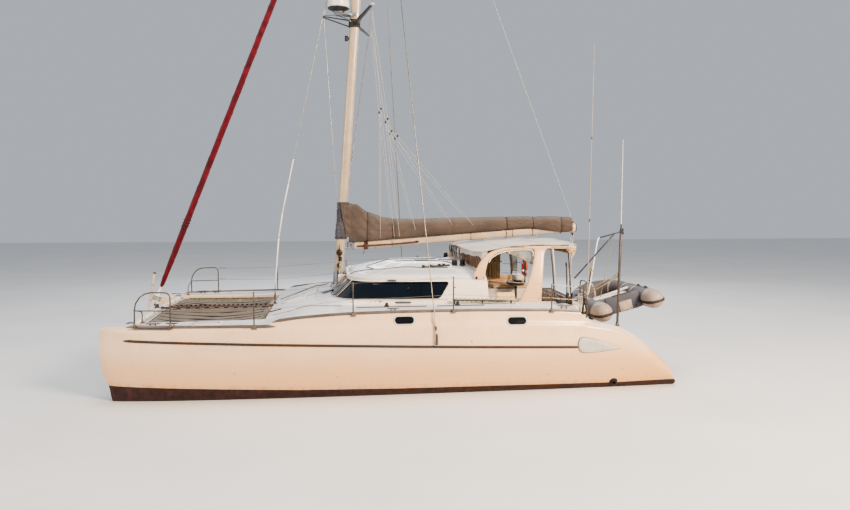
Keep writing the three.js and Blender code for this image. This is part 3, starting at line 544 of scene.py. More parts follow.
def gelcoat(name, top, side, nonskid=0.0, boottop=False, grime=0.35):
    """Sprayed gelcoat: cream sides and whiter up-facing faces, the sides' warmer colour partly painted warm light;
    grime in streaks, a grain of fine non-skid on the deck.
    """
    m = Mat(name, Specular_IOR_Level=0.5, Coat_Weight=0.18, Coat_Roughness=0.12)
    x, y, z = m.xyz()
    nx, ny, nz = m.normal()
    up = m.ramp(nz, 0.62, 0.86)
    blotch = m.noise(1.3, 5, 0.6)
    fine = m.noise(38, 6, 0.7)
    # painted light: side faces take a warmer colour than up-facing faces, standing in for the warm light falling on the
    # sides
    c = m.mix(up, m.mix(m.ramp(blotch, 0.3, 0.72), side, tuple(v * k for v, k in zip(side, (0.93, 0.90, 0.87))) + (1,)),
              m.mix(m.ramp(blotch, 0.3, 0.72), top, tuple(v * k for v, k in zip(top, (0.92, 0.93, 0.95))) + (1,)))
    streak = m.noise(1, 4, 0.65, vec=m.mapped((9, 9, 0.55)))
    drip = m.math("MULTIPLY", m.ramp(streak, 0.56, 0.78), grime)
    drip = m.math("MULTIPLY", drip, m.ramp(nz, 0.4, 0.1))
    c = m.mix(drip, c, srgb(176, 148, 116))
    c = m.mix(m.math("MULTIPLY", m.ramp(fine, 0.6, 0.8), 0.12), c, srgb(150, 132, 112))
    rough = m.ramp_lin(m.noise(6, 5, 0.6), 0.3, 0.7, 0.2, 0.36)
    grain = m.bump(m.noise(260, 2, 0.5), 0.04, 0.0006)
    wob = m.bump(m.noise(2.2, 2, 0.4), 0.18, 0.004, grain)
    if nonskid:
        tread = m.voronoi(150, feature="SMOOTH_F1")
        c = m.mix(m.math("MULTIPLY", up, m.ramp(tread, 0.25, 0.6, 0.0, 0.22 * nonskid)), c, srgb(170, 168, 166))
        rough = m.mix(up, rough, m.ramp_lin(tread, 0, 1, 0.45, 0.62))
        wob = m.bump(tread, m.math("MULTIPLY", up, 0.5 * nonskid), 0.0012, wob)
    if boottop:
        # painted shade: the sides turn a deeper peach low down, towards the waterline
        c = m.mix(m.math("MULTIPLY", m.ramp(z, 1.02, 0.45), m.math("SUBTRACT", 1.0, up)), c, srgb(234, 188, 142))
        line = m.curve(x, [(-5.08, 0.13), (-3.99, 0.10), (-1.69, 0.12), (0.18, 0.13), (1.98, 0.16), (3.71, 0.23), (5.26, 0.29)])
        edge = m.math("ADD", line, m.math("MULTIPLY", m.math("SUBTRACT", m.noise(3, 3), 0.5), 0.006))
        under = m.ramp(m.math("SUBTRACT", edge, z), -0.002, 0.003)
        growth = m.noise(7, 8, 0.7)
        runs = m.noise(1, 5, 0.6, vec=m.mapped((16, 16, 2.2)))
        paint = m.mix(m.ramp(growth, 0.38, 0.68), srgb(56, 25, 21), srgb(30, 14, 12))
        paint = m.mix(m.math("MULTIPLY", m.ramp(runs, 0.5, 0.75), 0.65), paint, srgb(80, 44, 35))
        paint = m.mix(m.ramp(z, 0.06, 0.0, 0, 0.55), paint, srgb(52, 48, 34))
        scum = m.math("MULTIPLY", m.ramp(m.math("SUBTRACT", z, edge), 0.12, 0.0), m.ramp(streak, 0.35, 0.75, 0.12, 0.75))
        c = m.mix(scum, c, srgb(188, 148, 108))
        # painted light: a warm orange sun glow painted low on the sides towards the stern
        painted_sun_glow = m.math("MULTIPLY", m.ramp(x, -3.2, -5.1), m.ramp(z, 1.0, 0.2))
        c = m.mix(m.math("MULTIPLY", painted_sun_glow, 0.75), c, srgb(238, 184, 120))
        c = m.mix(under, c, paint)
        rough = m.mix(under, rough, m.ramp_lin(growth, 0.2, 0.8, 0.62, 0.92))
        wob = m.bump(growth, m.math("MULTIPLY", under, 0.35), 0.004, wob)
    return m.done(c, rough, wob)


def painted(name, col, dark=None, rough=(0.3, 0.5), scale=4, bump=0.05, spec=0.5, metal=0.0, grime=0.3, worn=None, coat=0.0, streaky=(6, 6, 0.8)):
    m = Mat(name, Metallic=metal, Specular_IOR_Level=spec, Coat_Weight=coat)
    dark = dark or tuple(v * 0.72 for v in col[:3]) + (1,)
    c = m.mix(m.ramp(m.noise(scale, 6, 0.6), 0.32, 0.7), col, m.mix(0.45, col, dark))
    c = m.mix(m.math("MULTIPLY", m.ramp(m.noise(1, 4, 0.65, vec=m.mapped(streaky)), 0.55, 0.8), grime), c, dark)
    if worn:
        c = m.mix(m.ramp(m.noise(scale * 9, 8, 0.75), 0.66, 0.76), c, worn)
    return m.done(c, m.ramp_lin(m.noise(scale * 3, 6, 0.6), 0.3, 0.7, *rough), m.bump(m.noise(scale * 40, 3, 0.5), bump, 0.001))


def fabric(name, col, dark, scale=420, sheen=0.3, rough=(0.8, 0.95), blotch=2.2, fade=None, weave=0.5, wrinkle=0.3):
    """Woven cloth: two crossing threads, faded and stained in patches."""
    m = Mat(name, Sheen_Weight=sheen, Sheen_Roughness=0.5, Specular_IOR_Level=0.25)
    a = m.wave(scale * 0.16, m.mapped((1, 1, 1), (0, 0, 0.02)), "X", 0.4)
    b = m.wave(scale * 0.16, m.mapped((1, 1, 1)), "Z", 0.4)
    d = m.wave(scale * 0.16, m.mapped((1, 1, 1)), "Y", 0.4)
    w = m.math("MULTIPLY", m.math("ADD", m.math("ADD", a, b), d), 0.333)
    c = m.mix(m.ramp(m.noise(blotch, 7, 0.62), 0.3, 0.72), col, dark)
    c = m.mix(m.math("MULTIPLY", w, 0.16), c, tuple(v * 0.55 for v in dark[:3]) + (1,))
    if fade:
        nx, ny, nz = m.normal()
        c = m.mix(m.math("MULTIPLY", m.ramp(nz, 0.2, 0.95), 0.65), c, fade)
    n = m.bump(w, 0.35 * weave, 0.0008)
    n = m.bump(m.noise(24, 5, 0.6, distort=0.6), wrinkle, 0.006, n)
    return m.done(c, m.ramp_lin(m.noise(9, 4), 0.3, 0.7, *rough), n)


def metal(name, col, rough=(0.16, 0.34), stain=None, brushed=0.1):
    m = Mat(name, Metallic=1.0, Specular_IOR_Level=0.5)
    c = m.mix(m.ramp(m.noise(5, 6, 0.6), 0.35, 0.7), col, tuple(v * 0.74 for v in col[:3]) + (1,))
    if stain:
        c = m.mix(m.math("MULTIPLY", m.ramp(m.noise(26, 7, 0.7), 0.56, 0.74), 0.7), c, stain)
    return m.done(c, m.ramp_lin(m.noise(14, 5, 0.6), 0.3, 0.7, *rough), m.bump(m.noise(300, 2, 0.5, vec=m.mapped((1, 1, 0.1))), brushed, 0.0004))


M = {}
M["hull"] = gelcoat("hull_gelcoat", DECK_WHITE, SIDE_CREAM_SUNLIT, nonskid=1.0, boottop=True, grime=0.28)
M["deck"] = gelcoat("deck_gelcoat", DECK_WHITE, srgb(234, 224, 212), nonskid=1.0)
M["house"] = gelcoat("house_gelcoat", srgb(236, 233, 229), srgb(243, 230, 213), grime=0.16)
M["arch"] = gelcoat("arch_gelcoat", srgb(229, 204, 172), srgb(233, 191, 148), grime=0.16)
M["smooth_white"] = painted("white_moulding", srgb(238, 235, 229), srgb(190, 178, 160), (0.22, 0.4), 3, 0.03, grime=0.25, coat=0.2)
M["mast"] = painted("mast_paint", srgb(190, 171, 148), srgb(150, 132, 110), (0.26, 0.42), 2.5, 0.03, grime=0.3, coat=0.15)
M["mast_grey"] = painted("anodised_grey", srgb(150, 156, 164), srgb(104, 108, 116), (0.3, 0.45), 3, 0.04, metal=0.6, grime=0.35)
M["alloy"] = metal("worn_alloy", srgb(176, 172, 164), (0.3, 0.48), srgb(120, 104, 86), 0.12)
# painted shade: the brownish tea-stained steel colour is also darkened to stand in for the shade on the steelwork
M["steel"] = metal("stainless_steel", srgb(108, 99, 93), (0.34, 0.52), srgb(88, 68, 54))
M["wire"] = metal("rigging_wire", srgb(150, 140, 128), (0.3, 0.5), srgb(96, 66, 46), 0.3)
M["spar_brown"] = painted("net_spar_brown", srgb(98, 62, 48), srgb(54, 34, 28), (0.4, 0.6), 7, 0.1, grime=0.5)
M["collar_grey"] = None
M["boom_beige"] = painted("boom_paint", srgb(208, 186, 160), srgb(150, 130, 108), (0.3, 0.48), 2.2, 0.04, grime=0.4, coat=0.1)
# painted shade: the transom board's dark grey is made darker still to stand in for the shadow it sits in
M["transom_grey"] = painted("transom_board_shaded", srgb(76, 78, 90), srgb(52, 53, 60), (0.45, 0.65), 5, 0.1, grime=0.45)
M["pad_beige"] = painted("clamp_pad", srgb(176, 160, 142), srgb(136, 120, 104), (0.5, 0.7), 9, 0.12, grime=0.4)
M["dark_vinyl"] = painted("dark_vinyl", srgb(56, 52, 56), srgb(36, 34, 36), (0.45, 0.6), 20, 0.25, grime=0.3)
M["toe"] = painted("toe_rail", srgb(118, 108, 102), srgb(84, 74, 68), (0.35, 0.55), 5, 0.06, metal=0.55, grime=0.45)
M["rub"] = painted("rub_rail_rubber", srgb(66, 44, 34), srgb(34, 24, 20), (0.5, 0.72), 7, 0.12, grime=0.5)
M["black"] = painted("black_plastic", srgb(30, 30, 32), srgb(56, 52, 48), (0.35, 0.6), 8, 0.08, grime=0.35, worn=srgb(78, 76, 74))
M["rubber"] = painted("black_rubber", srgb(22, 22, 24), srgb(52, 48, 44), (0.55, 0.8), 12, 0.15, grime=0.3)
M["dark_trim"] = painted("dark_trim", srgb(52, 48, 48), srgb(30, 28, 28), (0.4, 0.6), 9, 0.08, grime=0.3)
M["pale_trim"] = painted("pale_trim", srgb(206, 200, 190), srgb(160, 150, 138), (0.35, 0.5), 6, 0.05, grime=0.35)
M["groove"] = painted("groove_shadow", srgb(120, 116, 112), srgb(84, 80, 78), (0.6, 0.8), 9, 0.05, grime=0.4)
M["antifoul"] = painted("antifouling", srgb(70, 34, 30), srgb(38, 22, 19), (0.68, 0.92), 5, 0.5, spec=0.25, grime=0.6, worn=srgb(104, 70, 58))
M["bronze"] = metal("propeller_bronze", srgb(172, 132, 74), (0.22, 0.44), srgb(84, 104, 84), 0.1)
M["cover"] = fabric("sail_cover_canvas", srgb(97, 84, 76), srgb(76, 65, 58), 300, 0.25, blotch=1.6, fade=srgb(113, 100, 90), wrinkle=0.22)
# painted shade: the collar is the same cloth as the cover, coloured slate grey for the shade on it
M["collar_grey"] = fabric("mast_collar_shaded_canvas", srgb(92, 92, 98), srgb(64, 63, 68), 300, 0.25, blotch=2.6, wrinkle=0.3)
M["brown_cloth"] = fabric("brown_cloth", srgb(122, 92, 72), srgb(92, 68, 52), 380, 0.3, blotch=6, wrinkle=0.4)
M["cream_cloth"] = fabric("cream_cloth", srgb(222, 198, 170), srgb(188, 162, 134), 380, 0.3, blotch=6, wrinkle=0.5)
M["vinyl_roll"] = fabric("rolled_panel", srgb(186, 184, 178), srgb(120, 118, 114), 420, 0.2, blotch=16, wrinkle=0.5)
M["cover_seam"] = fabric("cover_seam", srgb(80, 69, 62), srgb(62, 53, 47), 500, 0.2, blotch=9)
M["canopy"] = fabric("canopy_cloth", srgb(199, 191, 185), srgb(170, 162, 156), 380, 0.35, blotch=1.6, wrinkle=0.25)
M["canopy_edge"] = fabric("canopy_binding", srgb(196, 192, 188), srgb(160, 154, 150), 600, 0.3, blotch=6)
M["curtain"] = fabric("curtain_cloth", srgb(160, 142, 112), srgb(126, 110, 84), 420, 0.3, blotch=5, wrinkle=0.3)
M["roll"] = fabric("rolled_cloth", srgb(150, 126, 98), srgb(112, 92, 70), 420, 0.3, blotch=7, wrinkle=0.5)
M["cushion"] = fabric("cushion_cloth", srgb(238, 204, 160), srgb(214, 174, 130), 460, 0.35, blotch=4, wrinkle=0.25)
M["piping"] = fabric("cushion_piping", srgb(176, 140, 104), srgb(140, 108, 80), 700, 0.3, blotch=20)
M["rope_white"] = fabric("rope_white", srgb(214, 208, 196), srgb(164, 154, 138), 1400, 0.2, blotch=30)
M["rope_blue"] = fabric("rope_blue", srgb(46, 78, 140), srgb(32, 48, 92), 1400, 0.2, blotch=30)
M["rope_green"] = fabric("rope_green", srgb(150, 152, 98), srgb(112, 112, 66), 1400, 0.2, blotch=30)
M["rope_red"] = fabric("rope_red", srgb(112, 78, 66), srgb(80, 52, 44), 1400, 0.2, blotch=30)
M["rope_dark"] = fabric("rope_dark", srgb(60, 54, 50), srgb(38, 34, 32), 1400, 0.2, blotch=30)
M["webbing"] = fabric("webbing_black", srgb(44, 40, 38), srgb(28, 26, 25), 900, 0.2, blotch=20)
M["orange"] = painted("lifebuoy_foam", srgb(176, 44, 32), srgb(160, 38, 22), (0.55, 0.75), 6, 0.2, spec=0.35, grime=0.35, worn=srgb(222, 112, 74))
M["reflective"] = painted("reflective_tape", srgb(206, 208, 210), srgb(150, 152, 156), (0.2, 0.35), 30, 0.1, metal=0.3, grime=0.3)
M["seat_brown"] = painted("slat_brown", srgb(74, 56, 44), srgb(46, 34, 28), (0.5, 0.7), 12, 0.2, grime=0.5, streaky=(3, 40, 40))
M["tube_grey"] = painted("tender_fabric", srgb(101, 94, 91), srgb(80, 75, 74), (0.5, 0.68), 3, 0.14, spec=0.35, grime=0.35, coat=0.0)
M["tube_white"] = painted("tender_cone", srgb(166, 151, 138), srgb(142, 128, 114), (0.4, 0.58), 3, 0.1, grime=0.3)
M["tube_band"] = painted("tender_band", srgb(48, 44, 44), srgb(76, 70, 66), (0.5, 0.7), 8, 0.15, grime=0.3)
M["tender_board"] = painted("tender_board", srgb(150, 150, 150), srgb(112, 110, 108), (0.45, 0.65), 4, 0.12, grime=0.45, worn=srgb(176, 174, 170))
M["winch_bronze"] = painted("winch_bronze", srgb(62, 52, 42), srgb(40, 32, 26), (0.3, 0.5), 12, 0.06, metal=0.5, grime=0.3)
M["bracket"] = painted("bracket_bronze", srgb(128, 114, 96), srgb(84, 72, 58), (0.35, 0.55), 14, 0.1, metal=0.4, grime=0.4)


def genoa():
    """A rolled headsail: the crimson strip winds up the roll, with folds along it."""
    m = Mat("furled_sail", Sheen_Weight=0.25, Specular_IOR_Level=0.25)
    c = m.mix(m.ramp(m.noise(5, 6, 0.6), 0.3, 0.7), srgb(108, 12, 30), srgb(70, 7, 20))
    # painted highlight: lighter crimson streaks running up the roll
    c = m.mix(m.math("MULTIPLY", m.ramp(m.noise(1, 4, 0.6, vec=m.mapped((14, 14, 1.2))), 0.5, 0.78), 0.5), c, srgb(132, 34, 48))
    w = m.math("ADD", m.wave(60, None, "X", 0.5), m.wave(60, None, "Z", 0.5))
    n = m.bump(m.noise(1, 5, 0.6, vec=m.mapped((24, 24, 4))), 0.5, 0.006, m.bump(w, 0.15, 0.0008))
    return m.done(c, m.ramp_lin(m.noise(9, 4), 0.3, 0.7, 0.7, 0.9), n)


def netting():
    """Knotted netting: square cells of cord, the holes between them painted dark as the shade under the net, dusty and
    sun-bleached.
    """
    m = Mat("netting", Specular_IOR_Level=0.2, Sheen_Weight=0.15)
    x, y, z = m.xyz()
    cell = 0.026

    def cord(v):
        f = m.math("FRACT", m.math("MULTIPLY", v, 1 / cell))
        d = m.math("ABSOLUTE", m.math("SUBTRACT", f, 0.5))
        return m.ramp(d, 0.24, 0.40)

    k = m.math("MAXIMUM", cord(x), cord(y))
    c = m.mix(m.ramp(m.noise(2.4, 7, 0.65), 0.3, 0.7), srgb(140, 126, 111), srgb(100, 88, 76))
    c = m.mix(m.ramp(m.noise(1, 4, 0.6, vec=m.mapped((7, 0.8, 1))), 0.56, 0.75, 0, 0.6), c, srgb(164, 151, 132))
    # painted shade: the holes between the cords are coloured dark for the shade seen under the net
    c = m.mix(k, srgb(78, 70, 62), c)
    n = m.bump(k, 0.8, 0.003, m.bump(m.noise(500, 2), 0.2, 0.0008))
    return m.done(c, 0.88, n)


def tinted(name, col, rough=0.03, trans=0.25):
    m = Mat(name, Transmission_Weight=trans, IOR=1.49, Specular_IOR_Level=0.42, Coat_Weight=0.1, Coat_Roughness=0.04)
    c = m.mix(m.ramp(m.noise(1.6, 4, 0.6), 0.3, 0.7), col, tuple(v * 0.55 for v in col[:3]) + (1,))
    smear = m.noise(1, 5, 0.6, vec=m.mapped((6, 6, 1.5)))
    return m.done(c, m.ramp_lin(smear, 0.3, 0.75, rough, rough + 0.09), m.bump(m.noise(1.1, 2), 0.06, 0.01))


def clear_vinyl():
    m = Mat("clear_vinyl", Transmission_Weight=0.7, IOR=1.45, Roughness=0.12)
    c = m.mix(m.ramp(m.noise(5, 5, 0.6), 0.3, 0.7), srgb(214, 214, 206), srgb(178, 176, 166))
    return m.done(c, m.ramp_lin(m.noise(12, 5), 0.3, 0.7, 0.06, 0.25), m.bump(m.noise(8, 4, distort=1.0), 0.5, 0.01))


M["genoa"] = genoa()
M["net"] = netting()
M["glass"] = tinted("cabin_glass", srgb(8, 19, 36))
M["port_glass"] = tinted("port_glass", srgb(22, 22, 26), 0.05, 0.0)
M["vinyl"] = clear_vinyl()

floor_mat = Mat("pale_floor", Roughness=0.75, Specular_IOR_Level=0.3)
floor_mat.done(floor_mat.mix(floor_mat.ramp(floor_mat.noise(0.4, 3), 0.3, 0.7), srgb(226, 226, 225), srgb(220, 220, 220)))
me = bpy.data.meshes.new("floor")
me.from_pydata([(-60, -60, 0), (60, -60, 0), (60, 60, 0), (-60, 60, 0)], [], [(0, 1, 2, 3)])
me.materials.append(floor_mat.m)
floor = bpy.data.objects.new("floor", me)
SCENE.collection.objects.link(floor)

# ---------------------------------------------------------------- hulls
HULL_IN = 1.9
# Columns: x, keel z, outer waterline y, rub y, rub z, shoulder y, shoulder z, deck edge y, deck edge z, inner deck z, inner y above, inner waterline y, stem blend
HULL = [
    [5.470, -.300, 2.310, 2.322, .900, 2.318, 1.270, 2.300, 1.318, 1.318, 2.240, 2.250, 1.0],
    [5.400, -.310, 2.325, 2.385, .905, 2.372, 1.275, 2.345, 1.326, 1.326, 2.190, 2.235, 0.95],
    [5.200, -.330, 2.352, 2.490, .915, 2.476, 1.284, 2.440, 1.338, 1.340, 2.110, 2.190, 0.75],
    [4.800, -.365, 2.388, 2.612, .930, 2.610, 1.294, 2.570, 1.352, 1.352, 2.060, 2.090, 0.4],
    [4.200, -.405, 2.432, 2.722, .950, 2.728, 1.296, 2.690, 1.353, 1.353, 2.030, 1.930, 0.12],
    [3.400, -.445, 2.470, 2.800, .970, 2.812, 1.298, 2.775, 1.354, 1.354, 1.990, 1.760, 0],
    [2.640, -.475, 2.490, 2.842, .985, 2.856, 1.298, 2.815, 1.356, 1.358, 1.920, 1.650, 0],
    [2.400, -.483, 2.494, 2.850, .985, 2.858, 1.298, 2.790, 1.430, 1.420, HULL_IN, 1.625, 0],
    [1.750, -.503, 2.500, 2.862, .980, 2.856, 1.300, 2.776, 1.500, 1.596, HULL_IN, 1.575, 0],
    [1.000, -.518, 2.502, 2.870, .970, 2.854, 1.300, 2.772, 1.540, 1.600, HULL_IN, 1.535, 0],
    [0, -.522, 2.500, 2.876, .945, 2.852, 1.300, 2.768, 1.556, 1.600, HULL_IN, 1.510, 0],
    [-1.000, -.505, 2.494, 2.872, .920, 2.850, 1.285, 2.766, 1.560, 1.600, HULL_IN, 1.510, 0],
    [-2.000, -.460, 2.486, 2.860, .895, 2.846, 1.270, 2.764, 1.546, 1.600, HULL_IN, 1.520, 0],
    [-2.750, -.400, 2.476, 2.842, .872, 2.836, 1.250, 2.756, 1.528, 1.600, HULL_IN, 1.535, 0],
    [-3.170, -.352, 2.468, 2.828, .858, 2.826, 1.235, 2.750, 1.492, 1.560, HULL_IN, 1.548, 0],
    [-3.330, -.332, 2.465, 2.822, .852, 2.842, 1.225, 2.740, 1.360, 1.400, 1.880, 1.552, 0],
    [-3.480, -.312, 2.462, 2.816, .846, 2.832, 1.215, 2.720, 1.285, 1.290, 1.860, 1.556, 0],
    [-3.800, -.270, 2.455, 2.798, .820, 2.806, 1.160, 2.690, 1.228, 1.235, 1.800, 1.564, 0],
    [-4.150, -.222, 2.446, 2.768, .740, 2.762, 1.010, 2.640, 1.092, 1.100, 1.740, 1.574, 0],
    [-4.450, -.180, 2.436, 2.730, .620, 2.708, .820, 2.585, .895, .900, 1.690, 1.584, 0],
    [-4.750, -.140, 2.424, 2.676, .450, 2.644, .590, 2.525, .645, .650, 1.655, 1.594, 0],
    [-4.980, -.112, 2.412, 2.610, .300, 2.582, .395, 2.475, .432, .436, 1.635, 1.602, 0],
    [-5.120, -.092, 2.402, 2.545, .160, 2.522, .215, 2.435, .246, .248, 1.628, 1.610, 0],
    [-5.190, -.080, 2.392, 2.480, .070, 2.464, .098, 2.400, .118, .120, 1.630, 1.618, 0],
]
STEM = pchip(*zip(*[[-.400, 5.040], [-.150, 5.200], [0, 5.270], [.290, 5.330], [.450, 5.400], [.650, 5.450], [.900, 5.470], [1.150, 5.462], [1.290, 5.440], [1.350, 5.395]]))
COLS = [pchip([r[0] for r in HULL], [r[k] for r in HULL]) for k in range(1, 13)]


def hull_ring(x):
    zk, yw, yr, zr, ys, zs, yd, zd, zi, yi, yiw, blend = (float(c(x)) for c in COLS)
    yc = (yw + yiw) / 2
    wo, wi, inner = yw - yc, yc - yiw, min(yi, lerp(yiw, yi, 0.55))
    za = max(0.04, min(0.6, zi - 0.33 * (zi / 1.6)))
    cr = min(0.03, 0.3 * 0.45 * (zi - za), 0.3 * (yd - yi))
    ring = [
        [yc - wi * 0.12, zk], [yc + wo * 0.12, zk], [yc + wo * 0.55, zk * 0.9], [yc + wo * 0.86, zk * 0.55], [yw, 0], [lerp(yw, yr, 0.6), zr * 0.5],
        [yr, zr], [ys, zs], [lerp(ys, yd, 0.75), lerp(zs, zd, 0.35)], [yd, zd], [yd - 0.035, zd + 0.006 * (zd > 1)], [lerp(yd, yi, 0.35), lerp(zd, zi, 0.7)], [yi + cr, zi], [yi, zi], [yi, zi - cr],
        [yi - (0.001 if yi > yiw + 0.01 else 0), lerp(zi, za, 0.45)], [inner, za], [lerp(yiw, inner, 0.25), za * 0.45], [yiw, 0], [yc - wi * 0.86, zk * 0.55], [yc - wi * 0.55, zk * 0.9],
    ]
    r = chaikin(np.array(ring), 3)
    y, z = r[:, 0], r[:, 1]
    if -3.604 < x < 2.63:
        y = np.where(z > 0.746, np.maximum(y, HULL_IN), y)
    return np.stack([x + (STEM(z) - 5.470) * blend, y, z], axis=1)


XS = np.concatenate([np.linspace(-5.19, -4.9, 10)[:-1], np.linspace(-4.9, -3.1, 52)[:-1], np.linspace(-3.1, 2.2, 54)[:-1], np.linspace(2.2, 4.2, 34)[:-1], np.linspace(4.2, 5.448, 34)])
rings = [hull_ring(x) for x in XS]
first = rings[0].copy()
mid = first.mean(0)
for k, g in ((0.97, -0.006), (0.9, -0.010)):
    rings.insert(0, np.column_stack([first[:, 0] + g, mid[1] + (first[:, 1] - mid[1]) * k, mid[2] + (first[:, 2] - mid[2]) * k]))
last = rings[-1].copy()
for k in range(1, 7):
    t = k / 6 * math.radians(84)
    yc = 2.281
    rings.append(np.column_stack([last[:, 0] + 0.024 * math.sin(t), yc + (last[:, 1] - yc) * math.cos(t), last[:, 2] - 0.006 * (1 - math.cos(t)) * (last[:, 2] > 1.2)]))
HULL_GRID = np.array(rings)
OUTER = slice(30, 84)  # ring points up the outer side, from the bilge to the deck edge


def side_y(x, z):
    """Outer side of the hull at x, z."""
    r = hull_ring(float(x))
    a = r[24:80]
    o = np.argsort(a[:, 2])
    return float(np.interp(z, a[o, 2], a[o, 1]))


def side_normal(x, z):
    e = 0.03
    dx = (side_y(x + e, z) - side_y(x - e, z)) / (2 * e)
    dz = (side_y(x, z + e) - side_y(x, z - e)) / (2 * e)
    n = np.array([-dx, 1, -dz])
    return n / np.linalg.norm(n)


def deck_edge(x):
    r = hull_ring(float(x))
    k = int(np.argmax(r[:, 1] * 0.5 + r[:, 2] * 0.866))
    return r[k]


STEP_CUT = [(-3.56, 1.9), (-3.56, 1.02), (-3.99, 1.02), (-3.99, .79), (-4.29, .79), (-4.29, .56), (-4.56, .56), (-4.56, .33), (-4.83, .33), (-4.83, .096), (-5.5, .096), (-5.5, 1.9)]


def hull_mesh():
    b = Build().grid(HULL_GRID, close_v=True, cap0=True, cap1=True)
    me = bpy.data.meshes.new("hull_raw")
    me.from_pydata(np.vstack(b.v).tolist(), [], b.f)
    me.materials.append(M["hull"])
    bm = bmesh.new()
    bm.from_mesh(me)
    bmesh.ops.remove_doubles(bm, verts=bm.verts, dist=2e-5)
    bmesh.ops.dissolve_degenerate(bm, dist=1e-5, edges=bm.edges)
    bmesh.ops.triangulate(bm, faces=[f for f in bm.faces if len(f.verts) > 4])
    bm.to_mesh(me)
    bm.free()
    o = finish_mesh("hull_raw", me, body=None)
    cutter = Build()
    p = np.array(STEP_CUT)
    cutter.add(np.vstack([np.column_stack([p[:, 0], np.full(len(p), 1.4), p[:, 1]]), np.column_stack([p[:, 0], np.full(len(p), 2.4), p[:, 1]])]),
               [tuple(range(len(p)))[::-1], tuple(range(len(p), 2 * len(p)))] + [(i, (i + 1) % len(p), (i + 1) % len(p) + len(p), i + len(p)) for i in range(len(p))])
    cme = bpy.data.meshes.new("step_cutter")
    cme.from_pydata(np.vstack(cutter.v).tolist(), [], cutter.f)
    c = finish_mesh("step_cutter", cme, body=None, smooth=False)
    bv = c.modifiers.new("round", "BEVEL")
    bv.width, bv.segments, bv.limit_method, bv.angle_limit = 0.022, 4, "ANGLE", math.radians(40)
    bpy.context.view_layer.update()
    apply_modifiers(c)
    m = o.modifiers.new("cut", "BOOLEAN")
    m.operation, m.object, m.solver, m.use_self = "DIFFERENCE", c, "EXACT", True
    bpy.context.view_layer.update()
    apply_modifiers(o)
    bpy.data.objects.remove(c)
    me = o.data
    bpy.data.objects.remove(o)
    me.materials.clear()
    me.materials.append(M["hull"])
    me.polygons.foreach_set("material_index", [0] * len(me.polygons))
    return me


base = hull_mesh()
for side, s in (("port", 1), ("starboard", -1)):
    me = base if s > 0 else base.copy()
    if s < 0:
        me.transform(Matrix.Scale(-1, 4, (0, 1, 0)))
        me.flip_normals()
    o = finish_mesh("hull_shell_" + side, me, "root", "hull_" + side, 34)

# rub rails, toe rails and the trim that follows the hull's side
RUB = pchip(*zip(*[(5.0, 1.12), (3.65, 1.08), (1.95, 1.02), (-.69, .93), (-3.11, .86)]))
trim = Build()
xs = np.linspace(4.985, -3.16, 90)
path = np.array([[x, side_y(x, RUB(x)) + 0.004, RUB(x)] for x in xs])
k = np.minimum(1, np.minimum((xs[0] - xs) / 0.10 + 0.45, (xs - xs[-1]) / 0.10 + 0.45))
trim.sweep(path, [(-.010, -.024), (-.010, .024), (.008, .021), (.017, .010), (.020, 0), (.017, -.010), (.008, -.021)][::1], 0, scale=k)
ins = np.array([[x, side_y(x, RUB(x)) + 0.023, RUB(x)] for x in xs[1:-1]])
trim.sweep(ins, [(-.005, -.007), (-.005, .007), (.002, .006), (.003, 0), (.002, -.006)], 1)
for x in xs[2:-2:4]:
    trim.ball((x, side_y(x, RUB(x)) + 0.026, float(RUB(x))), 0.0045, 2, 8, (1, .5, 1))
trim.mirror().make("rub_rails", [M["rub"], M["dark_trim"], M["steel"]], slot="black_plastic")

TOE = [(-.012, -.014), (-.012, .032), (-.007, .039), (.007, .039), (.012, .032), (.012, -.014)]
toe = Build()
LOW_Z = float(deck_edge(2.95)[2])
for a, b, n in ((4.955, 2.372, 44), (2.440, -3.20, 90)):
    xs = np.linspace(a, b, n)
    path = np.array([deck_edge(x) for x in xs]) + np.array([0, 0.003, 0.0])
    path[:, 0] = xs
    if a > 3:  # the lower rail runs on level along the hull's side where the deck steps up
        for q in path:
            if q[0] < 2.95:
                q[1], q[2] = side_y(q[0], LOW_Z - .004) + .008, LOW_Z
    grow = np.minimum(1, np.minimum((a - xs) / 0.12, (xs - b) / 0.12) * 0.85 + 0.15)
    toe.sweep(path, TOE, 0, scale=grow)
    for x in xs[3:-3:3]:
        p = path[int(np.argmin(np.abs(xs - x)))]
        toe.ball((x, p[1] + 0.016, p[2] + 0.008), 0.0055, 1, 8, (1, .6, 1))
toe.mirror().make("toe_rails", [M["toe"], M["steel"]], slot="alloy")

# opening ports in the hull sides: dark pane, cream ring, inner seal
ports = Build()


def oval(n, w, h, r):
    """A rounded oval outline with straight sides."""
    out = []
    for cx, cz, a0 in ((w / 2 - r, h / 2 - r, 0), (-w / 2 + r, h / 2 - r, 90), (-w / 2 + r, -h / 2 + r, 180), (w / 2 - r, -h / 2 + r, 270)):
        for k in range(n):
            a = math.radians(a0 + 90 * k / (n - 1))
            out.append((cx + r * math.cos(a), cz + r * math.sin(a)))
    return np.array(out)


def on_side(x0, z0, pts, lift):
    """Points of a flat outline laid on the hull's side."""
    return np.array([[x0 + u, side_y(x0 + u, z0 + w) + lift, z0 + w] for u, w in pts])


